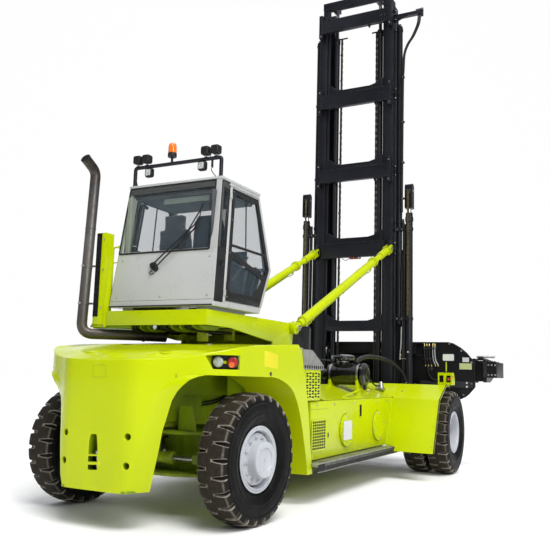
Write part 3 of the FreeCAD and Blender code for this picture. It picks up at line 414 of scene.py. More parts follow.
class Kit:
    """Collects the parts of one piece: vertices, faces, and a material per face, in the truck's own frame."""

    def __init__(self):
        self.v, self.f, self.fm, self.mats = [], [], [], []
        self.M = None

    def mat(self, m):
        for i, x in enumerate(self.mats):
            if x.name == m.name:
                return i
        self.mats.append(m)
        return len(self.mats) - 1

    def put(self, verts, faces, m):
        base = len(self.v)
        if self.M is not None:
            verts = [self.M @ Vector(p) for p in verts]
        self.v.extend((float(p[0]), float(p[1]), float(p[2])) for p in verts)
        k = self.mat(m)
        for f in faces:
            self.f.append([base + i for i in f])
            self.fm.append(k)

    def at(self, M):
        """parts that follow are placed by this matrix, None for as given"""
        self.M = M
        return self

    def mirror_y(self):
        """adds the mirror image about the centre plane of all that is here"""
        n = len(self.v)
        self.v += [(x, -y, z) for x, y, z in self.v]
        self.f += [[i + n for i in reversed(f)] for f in self.f]
        self.fm += self.fm[:]
        return self

    def box(self, x0, x1, y0, y1, z0, z1, m, c=0.004):
        lo, hi = (min(x0, x1), min(y0, y1), min(z0, z1)), (max(x0, x1), max(y0, y1), max(z0, z1))
        c = min([c] + [0.42 * (hi[i] - lo[i]) for i in range(3)])
        v = []
        for k in range(8):
            s = (k & 1, k >> 1 & 1, k >> 2 & 1)
            for a in range(3):
                p = []
                for i in range(3):
                    q = hi[i] if s[i] else lo[i]
                    if i != a:
                        q += -c if s[i] else c
                    p.append(q)
                v.append(p)
        self.put(v, BOX_FACES, m)

    def lathe(self, prof, o, d, m, n=24, closed=False, start=0.0, u=None):
        """prof: (radius, distance along d from o). A radius of 0 closes to a point. closed joins the last point to the first."""
        d = unit(d)
        if u is None:
            u, w = basis(d)
        else:
            u = unit(u)
            w = np.cross(d, u)
        o = np.asarray(o, float)
        verts, rows = [], []
        for r, t in prof:
            if r < 1e-6:
                rows.append([len(verts)])
                verts.append(o + d * t)
            else:
                rows.append(list(range(len(verts), len(verts) + n)))
                for j in range(n):
                    a = start + 2 * math.pi * j / n
                    verts.append(o + d * t + (u * math.cos(a) + w * math.sin(a)) * r)
        faces = []
        pairs = list(zip(rows[:-1], rows[1:])) + ([(rows[-1], rows[0])] if closed else [])
        for a, b in pairs:
            for j in range(n):
                k = (j + 1) % n
                if len(a) == 1 and len(b) == 1:
                    continue
                if len(a) == 1:
                    faces.append([a[0], b[k], b[j]])
                elif len(b) == 1:
                    faces.append([a[j], a[k], b[0]])
                else:
                    faces.append([a[j], a[k], b[k], b[j]])
        self.put(verts, faces, m)

    def rod(self, p, q, r, m, n=14, c=None, r2=None):
        """round bar from p to q with eased ends"""
        p, q = np.asarray(p, float), np.asarray(q, float)
        L = float(np.linalg.norm(q - p))
        r2 = r if r2 is None else r2
        c = min(0.15 * min(r, r2), 0.2 * L) if c is None else c
        self.lathe([(0, 0), (r - c, 0), (r, c), (r2, L - c), (r2 - c, L), (0, L)], p, q - p, m, n)

    def ring(self, o, d, R, r, m, n=28, k=8):
        """torus"""
        self.lathe([(R + r * math.cos(2 * math.pi * i / k), r * math.sin(2 * math.pi * i / k)) for i in range(k)], o, d, m, n, closed=True)

    def pipe(self, pts, r, m, n=8, bend=None, k=5, smooth=True, flat=None):
        """hose or bent pipe along the points. flat=(a, b) gives an oval section"""
        P = arcs(pts, bend, k) if bend else (catmull(pts, k) if smooth else [np.asarray(p, float) for p in pts])
        Q = [P[0]]
        for p in P[1:]:
            if np.linalg.norm(p - Q[-1]) > 1e-5:
                Q.append(p)
        P = Q
        T = [unit(P[1] - P[0])] + [unit(P[i + 1] - P[i - 1]) for i in range(1, len(P) - 1)] + [unit(P[-1] - P[-2])]
        u, _ = basis(T[0])
        verts, rows = [], []
        a, b = flat if flat else (r, r)
        for i, p in enumerate(P):
            u = unit(u - T[i] * float(u @ T[i]))
            w = np.cross(T[i], u)
            rows.append(list(range(len(verts), len(verts) + n)))
            for j in range(n):
                t = 2 * math.pi * j / n
                verts.append(p + u * math.cos(t) * a + w * math.sin(t) * b)
        faces = [[x[j], x[(j + 1) % n], y[(j + 1) % n], y[j]] for x, y in zip(rows[:-1], rows[1:]) for j in range(n)]
        faces += [list(reversed(rows[0])), rows[-1]]
        self.put(verts, faces, m)

    def prism(self, pts, axis, a, b, m, c=0.003):
        """polygon (in the two other axes, in order) run from a to b along the axis, edges eased by c"""
        P = [np.asarray(p, float) for p in pts]
        n = len(P)
        area = sum(P[i][0] * P[(i + 1) % n][1] - P[(i + 1) % n][0] * P[i][1] for i in range(n))
        s = 1.0 if area > 0 else -1.0
        ins = []
        for i in range(n):
            e0, e1 = unit(P[i] - P[i - 1]), unit(P[(i + 1) % n] - P[i])
            n0, n1 = np.array([-e0[1], e0[0]]) * s, np.array([-e1[1], e1[0]]) * s
            h = n0 + n1
            h = h / max(0.35, float(h @ n0)) if np.linalg.norm(h) > 1e-6 else n0
            ins.append(P[i] + h * c)
        a, b = min(a, b), max(a, b)
        c = min(c, 0.4 * (b - a))
        ax = "xyz".index(axis)

        def q(p, t):
            r = [p[0], p[1]]
            r.insert(ax, t)
            return r
        if c > 0:
            rings = [(ins, a), (P, a + c), (P, b - c), (ins, b)]
        else:
            rings = [(P, a), (P, b)]
        verts = [q(p, t) for R, t in rings for p in R]
        faces = [[k * n + i, k * n + (i + 1) % n, (k + 1) * n + (i + 1) % n, (k + 1) * n + i] for k in range(len(rings) - 1) for i in range(n)]
        faces += [list(reversed(range(n))), list(range((len(rings) - 1) * n, len(rings) * n))]
        self.put(verts, faces, m)

    def slab(self, quad, t, m, c=0.003):
        """plate on four (or more) corners, given in order round its front, thickness t away from it"""
        Q = [np.asarray(p, float) for p in quad]
        nrm = unit(np.cross(Q[1] - Q[0], Q[2] - Q[0]))
        cen = sum(Q) / len(Q)
        n = len(Q)
        ins = []
        for i in range(n):
            e0, e1 = unit(Q[i] - Q[i - 1]), unit(Q[(i + 1) % n] - Q[i])
            h = np.cross(nrm, e0) + np.cross(nrm, e1)
            h = h / max(0.35, float(h @ np.cross(nrm, e0)))
            ins.append(Q[i] + h * c)
        rings = [(ins, 0), (Q, c), (Q, t - c), (ins, t)]
        verts = [p - nrm * d for R, d in rings for p in R]
        faces = [[k * n + i, (k + 1) * n + i, (k + 1) * n + (i + 1) % n, k * n + (i + 1) % n] for k in range(3) for i in range(n)]
        faces += [list(range(n)), list(reversed(range(3 * n, 4 * n)))]
        self.put(verts, faces, m)

    def bolt(self, p, d, r, m, h=None, washer=True, n=6):
        """hexagon head on a washer, standing on p and pointing along d"""
        h = 0.65 * r if h is None else h
        t = 0.0
        if washer:
            t = 0.16 * r
            self.lathe([(0, 0), (1.45 * r, 0), (1.45 * r, t), (0, t)], p, d, m, 12)
        self.lathe([(0, t), (1.0 * r, t), (1.0 * r, t + 0.8 * h), (0.86 * r, t + h), (0, t + h)], p, d, m, n)

    def loft(self, rings, m, caps=True, closed=True):
        """faces between rings of equal length"""
        n = len(rings[0])
        verts = [p for R in rings for p in R]
        w = n if closed else n - 1
        faces = [[k * n + i, k * n + (i + 1) % n, (k + 1) * n + (i + 1) % n, (k + 1) * n + i] for k in range(len(rings) - 1) for i in range(w)]
        if caps:
            faces += [list(reversed(range(n))), list(range((len(rings) - 1) * n, len(rings) * n))]
        self.put(verts, faces, m)

    def perf(self, o, u, v, nu, nv, hole, m, depth=0.006, kind="square", skip=None, jog=0.0):
        """panel from corner o over u by v with nu by nv open holes. hole: size as a share of the cell"""
        o, u, v = (np.asarray(x, float) for x in (o, u, v))
        nrm = unit(np.cross(u, v))
        cu, cv = u / nu, v / nv
        hu, hv = hole if isinstance(hole, tuple) else (hole, hole)
        if kind == "square":
            outer = [(-.5, -.5), (.5, -.5), (.5, .5), (-.5, .5)]
            inner = [(-.5 * hu, -.5 * hv), (.5 * hu, -.5 * hv), (.5 * hu, .5 * hv), (-.5 * hu, .5 * hv)]
        else:
            outer, inner = [], []
            for i in range(8):
                t = math.pi / 4 * i
                a, b = math.cos(t), math.sin(t)
                s = max(abs(a), abs(b))
                outer.append((.5 * a / s, .5 * b / s))
                inner.append((.5 * hu * a, .5 * hv * b))
        k = len(outer)
        verts, faces = [], []
        for i in range(nu):
            for j in range(nv):
                cen = o + cu * (i + 0.5) + cv * (j + 0.5)
                if skip is not None and skip(i, j):
                    q = len(verts)
                    verts += [cen + cu * a + cv * b for a, b in outer]
                    faces.append(list(range(q, q + k)))
                    continue
                sh = jog * (1 if (i + j) % 2 else -1)
                q = len(verts)
                verts += [cen + cu * a + cv * b for a, b in outer]
                verts += [cen + cu * a + cv * (b + sh) for a, b in inner]
                verts += [cen + cu * a + cv * (b + sh) - nrm * depth for a, b in inner]
                for s in range(k):
                    t = (s + 1) % k
                    faces.append([q + s, q + t, q + k + t, q + k + s])
                    faces.append([q + k + s, q + k + t, q + 2 * k + t, q + 2 * k + s])
        self.put(verts, faces, m)

    def done(self, name, body, slot, *nodes, sharp=32.0, normals=True):
        me = bpy.data.meshes.new(name)
        me.from_pydata([(x - OX, y - OY, z) for x, y, z in self.v], [], self.f)
        for m in self.mats:
            me.materials.append(m)
        me.polygons.foreach_set("material_index", self.fm)
        me.polygons.foreach_set("use_smooth", [True] * len(self.f))
        me.update()
        if normals:
            bm = bmesh.new()
            bm.from_mesh(me)
            bmesh.ops.recalc_face_normals(bm, faces=bm.faces)
            bm.to_mesh(me)
            bm.free()
        me.set_sharp_from_angle(angle=math.radians(sharp))
        ob = bpy.data.objects.new(name, me)
        bpy.context.scene.collection.objects.link(ob)
        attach(ob, body)
        if nodes:
            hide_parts(*nodes)
        return ob


def _box_faces():
    def iv(k, a):
        return 3 * k + a
    c = [(k & 1, k >> 1 & 1, k >> 2 & 1) for k in range(8)]

    def corner(s):
        return s[0] | s[1] << 1 | s[2] << 2
    faces = []
    for a in range(3):
        b, d = (a + 1) % 3, (a + 2) % 3
        for s in (0, 1):
            f = []
            for sb, sd in ((0, 0), (1, 0), (1, 1), (0, 1)):
                q = [0, 0, 0]
                q[a], q[b], q[d] = s, sb, sd
                f.append(iv(corner(q), a))
            faces.append(f if s else f[::-1])
    for k in range(3):
        a, b = (k + 1) % 3, (k + 2) % 3
        for sa in (0, 1):
            for sb in (0, 1):
                q0, q1 = [0, 0, 0], [0, 0, 0]
                q0[a] = q1[a] = sa
                q0[b] = q1[b] = sb
                q1[k] = 1
                f = [iv(corner(q0), a), iv(corner(q0), b), iv(corner(q1), b), iv(corner(q1), a)]
                faces.append(f if sa == sb else f[::-1])
    for q in c:
        f = [iv(corner(q), 0), iv(corner(q), 1), iv(corner(q), 2)]
        faces.append(f if sum(q) % 2 else f[::-1])
    return faces


BOX_FACES = _box_faces()


def dress(node, *mats, pick=None, bevel=0.006, seg=2, angle=30.0):
    """finish on a CAD node that keeps its shape: material, eased edges, smooth shading"""
    ob = NODES[node]
    me = ob.data
    me.materials.clear()
    for m in mats:
        me.materials.append(m)
    if pick is not None:
        for p in me.polygons:
            p.material_index = pick(p.center[0] + OX, p.center[1] + OY, p.center[2], p.normal)
    me.polygons.foreach_set("use_smooth", [True] * len(me.polygons))
    me.set_sharp_from_angle(angle=math.radians(angle))
    if bevel:
        w = ob.modifiers.new("weld", "WELD")
        w.merge_threshold = 0.00004
        d = ob.modifiers.new("flat", "DECIMATE")
        d.decimate_type = "DISSOLVE"
        d.angle_limit = math.radians(0.8)
        b = ob.modifiers.new("eased", "BEVEL")
        b.width = bevel
        b.segments = seg
        b.limit_method = "ANGLE"
        b.angle_limit = math.radians(angle)
        b.harden_normals = True
        b.use_clamp_overlap = True
        b.miter_outer = "MITER_ARC"
    return ob


# ---------------------------------------------------------------- camera
def aim(yaw, pitch, roll):
    y, p, r = (math.radians(a) for a in (yaw, pitch, roll))
    fwd = Vector((math.cos(y) * math.cos(p), math.sin(y) * math.cos(p), math.sin(p)))
    right = Vector((math.sin(y), -math.cos(y), 0))
    down = fwd.cross(right)
    r2 = math.cos(r) * right + math.sin(r) * down
    d2 = -math.sin(r) * right + math.cos(r) * down
    return Matrix((r2, -d2, -fwd)).transposed().to_4x4()


cam_data = bpy.data.cameras.new("view")
cam_data.sensor_width = 36.0
cam_data.lens = 46.95
cam_data.clip_end = 300.0
cam = bpy.data.objects.new("view", cam_data)
cam.matrix_world = Matrix.Translation((-9.882, -5.494, 1.563)) @ aim(27.78, 7.92, -1.57)
bpy.context.scene.collection.objects.link(cam)
bpy.context.scene.camera = cam

# ---------------------------------------------------------------- light
world = bpy.data.worlds.new("studio")
bpy.context.scene.world = world
world.use_nodes = True
wn = world.node_tree
wn.nodes.clear()
wo = wn.nodes.new("ShaderNodeOutputWorld")
wb = wn.nodes.new("ShaderNodeBackground")
# white backdrop behind the truck, dim room elsewhere, softly lit ceiling
W = N(wn)
wt = W.node("ShaderNodeTexCoord")
wd = W.node("ShaderNodeVectorMath", operation="DOT_PRODUCT")
W.link(wt.outputs["Generated"], wd.inputs[0])
wd.inputs[1].default_value = (0.876, 0.462, 0.138)
facing = W.math("MULTIPLY", W.math("ADD", wd.outputs["Value"], 1.0), 0.5)
room = W.ramp(facing, [(0.0, (0.22, 0.23, 0.25)), (0.45, (0.13, 0.14, 0.16)), (0.72, (0.18, 0.19, 0.21)), (0.86, (0.30, 0.31, 0.33)), (0.93, (0.99, 0.99, 0.99)), (1.0, (1.0, 1.0, 1.0))])
wz = W.sep(wt.outputs["Generated"])[2]
roof = W.ramp(W.math("MULTIPLY", W.math("ADD", wz, 1.0), 0.5), [(0.74, (0.0, 0.0, 0.0)), (0.90, (1.0, 1.0, 1.0))])
W.link(W.mix(roof, room, (0.80, 0.82, 0.85)), wb.inputs["Color"])
wb.inputs["Strength"].default_value = 1.0
wn.links.new(wb.outputs[0], wo.inputs[0])


def sun(name, direction, strength, angle, colour=(1, 1, 1)):
    d = bpy.data.lights.new(name, "SUN")
    d.energy = strength
    d.angle = math.radians(angle)
    d.color = colour
    o = bpy.data.objects.new(name, d)
    o.rotation_euler = Vector(direction).to_track_quat("-Z", "Y").to_euler()
    o.location = (0, 0, 20)
    bpy.context.scene.collection.objects.link(o)
    return o


def area(name, pos, target, size, watts, colour=(1, 1, 1)):
    d = bpy.data.lights.new(name, "AREA")
    d.shape = "RECTANGLE"
    d.size, d.size_y = size
    d.energy = watts
    d.color = colour
    o = bpy.data.objects.new(name, d)
    v = Vector(target) - Vector(pos)
    o.rotation_euler = v.to_track_quat("-Z", "Y").to_euler()
    o.location = pos
    bpy.context.scene.collection.objects.link(o)
    return o


sun("ceiling", (0.34, 0.50, -1.0), 2.38, 28.0, (1.0, 0.995, 0.985))
area("key", (-10.0, -13.0, 7.5), (0.0, 0.0, 1.2), (6.0, 5.0), 760.0, (1.0, 0.99, 0.97))
bpy.context.scene.view_settings.view_transform = "Standard"


def floor_mat():
    m, nt, b = new_mat("floor_finish")
    n = N(nt)
    nt.links.new(n.mix(n.ramp(n.noise(0.25, 3.0, 0.5), [(0.3, 0.0), (0.7, 1.0)]), (0.93, 0.93, 0.93), (0.95, 0.95, 0.95)), b.inputs["Base Color"])
    b.inputs["Roughness"].default_value = 0.75
    b.inputs["Specular IOR Level"].default_value = 0.25
    return m


fm = bpy.data.meshes.new("floor")
fm.from_pydata([(-90, -90, -0.002), (120, -90, -0.002), (120, 90, -0.002), (-90, 90, -0.002)], [], [(0, 1, 2, 3)])
fm.materials.append(floor_mat())
floor = bpy.data.objects.new("floor", fm)
bpy.context.scene.collection.objects.link(floor)

# ---------------------------------------------------------------- wheels
AXLE_Z = 0.685
WHEELBASE = 5.625
PITCHES, COLS = 25, 14
# y from the middle, radius, groove depth, groove half width at the top edge
TREAD = [(0.0, 0.6845, 0, 0), (0.020, 0.6845, 0, 0), (0.038, 0.6842, 0, 0.006), (0.048, 0.6838, 0.028, 0.011), (0.080, 0.6825, 0.034, 0.0155),
         (0.110, 0.6790, 0.036, 0.0195), (0.137, 0.6725, 0.036, 0.0225), (0.154, 0.6645, 0.036, 0.0245), (0.1640, 0.6530, 0.034, 0.0255),
         (0.1695, 0.6380, 0.028, 0.0255), (0.1735, 0.6190, 0.018, 0.0240), (0.1765, 0.6010, 0, 0.014), (0.1785, 0.588, 0, 0),
         (0.1830, 0.5850, 0, 0), (0.1835, 0.5750, 0, 0), (0.1800, 0.5700, 0, 0), (0.1825, 0.5450, 0, 0), (0.1838, 0.520, 0, 0), (0.1820, 0.4900, 0, 0),
         (0.1790, 0.4700, 0, 0), (0.1820, 0.4660, 0, 0), (0.1815, 0.4580, 0, 0), (0.1765, 0.4540, 0, 0), (0.1700, 0.4300, 0, 0), (0.1590, 0.4040, 0, 0),
         (0.1500, 0.3880, 0, 0), (0.1500, 0.3800, 0, 0), (0.1420, 0.3760, 0, 0), (0.1360, 0.3620, 0, 0), (0.1270, 0.3480, 0, 0), (0.1230, 0.3300, 0, 0), (0.1215, 0.3100, 0, 0)]


def tyre_piece(name, body, node, wheels):
    """tyres at (centre, axis, phase); axis points to the outer side"""
    verts, faces, tread, edge = [], [], [], []
    rows = [(-y, r, d, h, 1, i) for i, (y, r, d, h) in reversed(list(enumerate(TREAD)))][:-1] + [(y, r, d, h, 0, i) for i, (y, r, d, h) in enumerate(TREAD)]
    n = PITCHES * COLS
    nr = len(rows)
    nrm = []
    for k in range(nr):
        a, b = rows[max(k - 1, 0)], rows[min(k + 1, nr - 1)]
        t = unit((b[0] - a[0], b[1] - a[1]))
        nrm.append((-t[1], t[0]))
    for cen, axis, phase in wheels:
        base = len(verts)
        ax = unit(axis)
        ez = np.array([0, 0, 1.0])
        ex = np.cross(ax, ez)
        for k, (y, r, dep, h, half, i) in enumerate(rows):
            hh = h * PITCHES / (2 * math.pi * max(r, 0.6))
            dl = 0.0055 * PITCHES / (2 * math.pi * 0.66)
            for J in range(n):
                Jp = J + 7 * half
                p, j = divmod(Jp, COLS)
                if h > 0:
                    lo, hi = hh + dl, 1 - hh - dl
                    w = {0: 0.0, 1: 0.62 * hh, 2: hh, 3: lo, 11: hi, 12: 1 - hh, 13: 1 - 0.62 * hh}.get(j)
                    if w is None:
                        w = lo + (hi - lo) * (j - 3) / 8.0
                else:
                    w = j / COLS
                a = (p + w - 0.5 * half + phase) * 2 * math.pi / PITCHES
                inside = j in (13, 0, 1)
                q = dep if inside else 0.0
                yy, rr = y - nrm[k][0] * q, r - nrm[k][1] * q
                verts.append(np.asarray(cen) + ex * (rr * math.cos(a)) + ez * (rr * math.sin(a)) + ax * yy)
                on_top = 1.0 if i <= 6 else (0.8 if i == 7 else (0.45 if i in (8, 9) else (0.2 if i == 10 else 0.0)))
                tread.append(on_top * (0.35 if inside and dep > 0 else 1.0))
                edge.append(1.0 if (3 <= i <= 10 and j in (2, 12)) or (i == 2 and j in (12, 13, 0, 1, 2)) else (0.35 if i == 7 and not inside else 0.0))
        for k in range(nr - 1):
            for J in range(n):
                a, b = base + k * n + J, base + k * n + (J + 1) % n
                faces.append((a, b, b + n, a + n))
        a, b = base, base + (nr - 1) * n
        for J in range(n):
            faces.append((b + J, b + (J + 1) % n, a + (J + 1) % n, a + J))
    me = bpy.data.meshes.new(name)
    me.from_pydata([(p[0] - OX, p[1] - OY, p[2]) for p in verts], [], faces)
    me.materials.append(TYRE)
    for nm, val in (("tread", tread), ("edge", edge)):
        at = me.attributes.new(nm, "FLOAT", "POINT")
        at.data.foreach_set("value", val)
    me.polygons.foreach_set("use_smooth", [True] * len(faces))
    me.update()
    bm = bmesh.new()
    bm.from_mesh(me)
    bmesh.ops.recalc_face_normals(bm, faces=bm.faces)
    bm.to_mesh(me)
    bm.free()
    me.set_sharp_from_angle(angle=math.radians(38))
    ob = bpy.data.objects.new(name, me)
    bpy.context.scene.collection.objects.link(ob)
    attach(ob, body)
    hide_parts(node)
    return ob


RIM_RING = [(0.2845, -0.1445), (0.3430, -0.1445), (0.3445, -0.1400), (0.3420, -0.1330), (0.3300, -0.1290), (0.3070, -0.1230), (0.3055, 0.1180), (0.3160, 0.1260),
            (0.3300, 0.1290), (0.3400, 0.1335), (0.3445, 0.1385), (0.3440, 0.1435), (0.3380, 0.1455), (0.3260, 0.1450), (0.3225, 0.1400), (0.3160, 0.1390),
            (0.3130, 0.1450), (0.3060, 0.1455), (0.2990, 0.1440), (0.2950, 0.1360), (0.2880, 0.1180), (0.2850, 0.0800)]


def wheel_nuts(K, cen, d, R, t, count, r, m, phase=0.0):
    u, w = basis(d)
    for i in range(count):
        a = 2 * math.pi * (i + phase) / count
        p = np.asarray(cen) + unit(d) * t + (u * math.cos(a) + w * math.sin(a)) * R
        K.bolt(p, d, r, m, 0.95 * r)
        K.rod(p + unit(d) * 0.9 * r, p + unit(d) * 1.5 * r, 0.45 * r, STEEL, 8)


ST = math.radians(-4.58)
for side, nm in ((-1, "right"), (1, "left")):
    ax = np.array([-math.sin(ST), math.cos(ST), 0]) * side
    base_ax = np.array([-math.sin(ST), math.cos(ST), 0]) * side
    cen = np.array([0, 0.86 * side, AXLE_Z]) + base_ax * 0.309
    tyre_piece("steer_tyre_" + nm, "rear_wheel_" + nm, "rear_tyre_" + nm, [(cen, ax, 0.2 if side < 0 else 0.55)])
    K = Kit()
    K.lathe(RIM_RING, cen, ax, RIM, 72, closed=True)
    K.lathe([(0.2856, 0.006), (0.2856, 0.028), (0.2815, 0.050), (0.2750, 0.082), (0.2690, 0.104), (0.2640, 0.1130), (0.2580, 0.1160), (0.2050, 0.1160),
             (0.1980, 0.1175), (0.1930, 0.1240), (0.1915, 0.1350), (0.1895, 0.2080), (0.1880, 0.2200), (0.1830, 0.2280), (0.1760, 0.2305), (0.1300, 0.2308),
             (0.1240, 0.2290), (0.1210, 0.2240), (0.1180, 0.2170), (0.1130, 0.2155), (0.0300, 0.2155), (0.0, 0.2155)], cen, ax, RIM, 72)
    K.lathe([(0.2852, 0.004), (0.2450, 0.062), (0.1250, 0.062), (0.1050, -0.104), (0.0570, -0.104), (0.0570, 0.070), (0.0, 0.070)], cen, ax, CASTING, 48)
    wheel_nuts(K, cen, ax, 0.2270, 0.1160, 12, 0.0175, RIM, 0.25)
    u, w = basis(ax)
    for i in range(4):
        a = 2 * math.pi * (i + 0.5) / 4
        K.bolt(cen + ax * 0.2308 + (u * math.cos(a) + w * math.sin(a)) * 0.154, ax, 0.0075, RIM, 0.005, False)
    K.bolt(cen + ax * 0.2155, ax, 0.011, RIM, 0.007, True)
    p = cen + (u * math.cos(1.0) + w * math.sin(1.0)) * 0.271
    K.pipe([p + ax * 0.075, p + ax * 0.115, p + ax * 0.132 + (u * math.cos(1.0) + w * math.sin(1.0)) * 0.02], 0.0042, BRASS, 6)
    K.done("steer_wheel_rim_" + nm, "rear_wheel_" + nm, "rim_grey", "rear_rim_" + nm)

for side, nm in ((-1, "right"), (1, "left")):
    ax = np.array([0, side, 0.0])
    ca, cb = np.array([WHEELBASE, 1.416 * side, AXLE_Z]), np.array([WHEELBASE, 1.826 * side, AXLE_Z])
    tyre_piece("drive_tyres_" + nm, "front_wheels_" + nm, "front_tyres_" + nm, [(ca, ax, 0.4), (cb, ax, 0.1)])
    K = Kit()
    K.lathe(RIM_RING, cb, ax, RIM, 72, closed=True)
    K.lathe([(r, -t) for r, t in RIM_RING], ca, ax, RIM, 72, closed=True)
    K.lathe([(0.2845, 0.120), (0.3030, 0.122), (0.3030, 0.288), (0.2845, 0.290)], ca, ax, RIM, 64, closed=True)
    K.lathe([(0.2856, 0.200), (0.2800, 0.1995), (0.2700, 0.1960), (0.2300, 0.1800), (0.2200, 0.1765), (0.1880, 0.1765), (0.1840, 0.1790), (0.1800, 0.1860),
             (0.1720, 0.2560), (0.1700, 0.2800), (0.1660, 0.2930), (0.1560, 0.2990), (0.1200, 0.2990), (0.1160, 0.2975), (0.1120, 0.2990), (0.0500, 0.2990), (0.0, 0.2990)], ca, ax, RIM, 64)
    K.lathe([(0.2852, 0.162), (0.2150, 0.142), (0.1900, 0.142), (0.1700, -0.079), (0.1270, -0.079), (0.1270, 0.148), (0.0, 0.148)], ca, ax, CASTING, 48)
    wheel_nuts(K, ca, ax, 0.205, 0.1765, 12, 0.0165, RIM, 0.3)
    u, w = basis(ax)
    for i in range(8):
        a = 2 * math.pi * (i + 0.2) / 8
        K.bolt(ca + ax * 0.299 + (u * math.cos(a) + w * math.sin(a)) * 0.138, ax, 0.0085, RIM, 0.007, False)
    K.done("drive_wheel_rims_" + nm, "front_wheels_" + nm, "rim_grey", "front_rims_" + nm)

# ---------------------------------------------------------------- rear body
# plan line of the rear skin from the middle of the tail to the side, with the height of the deck's edge
PLAN = [(0.0, -1.0975, 1.676), (0.13, -1.0972, 1.6765), (0.26, -1.0945, 1.678), (0.345, -1.0885, 1.681), (0.400, -1.079, 1.683), (0.455, -1.061, 1.685), (0.510, -1.032, 1.689), (0.552, -1.0, 1.692),
        (0.605, -0.962, 1.695), (0.650, -0.931, 1.698), (0.707, -0.893, 1.703), (0.785, -0.843, 1.710), (0.876, -0.787, 1.722), (0.966, -0.727, 1.742), (1.017, -0.687, 1.757),
        (1.080, -0.628, 1.776), (1.140, -0.570, 1.791), (1.192, -0.515, 1.806), (1.226, -0.468, 1.818), (1.243, -0.425, 1.828), (1.2495, -0.388, 1.834)]
LIP = [(-1.070, 0.376), (-1.056, 0.571), (-1.033, 0.781), (-1.009, 0.934), (-0.990, 1.06), (-0.982, 1.16), (-0.978, 1.232), (-0.962, 1.303), (-0.930, 1.388), (-0.892, 1.448), (-0.842, 1.511), (-0.787, 1.537), (-0.726, 1.542), (-0.3, 1.540)]
DECKLINE = [(-1.10, 1.676), (-0.85, 1.768), (-0.32, 1.864), (0.35, 1.907), (1.10, 1.942)]


def interp(x, tab):
    if x <= tab[0][0]:
        return tab[0][1]
    for (a, u), (b, v) in zip(tab[:-1], tab[1:]):
        if x <= b:
            return u + (v - u) * (x - a) / (b - a)
    return tab[-1][1]


def deck_z(x, y):
    """crowned top: falls away to the rear and to both sides"""
    zc = interp(x, DECKLINE)
    r = max(0.0, abs(y) - 0.25)
    return zc - 0.055 * r * r


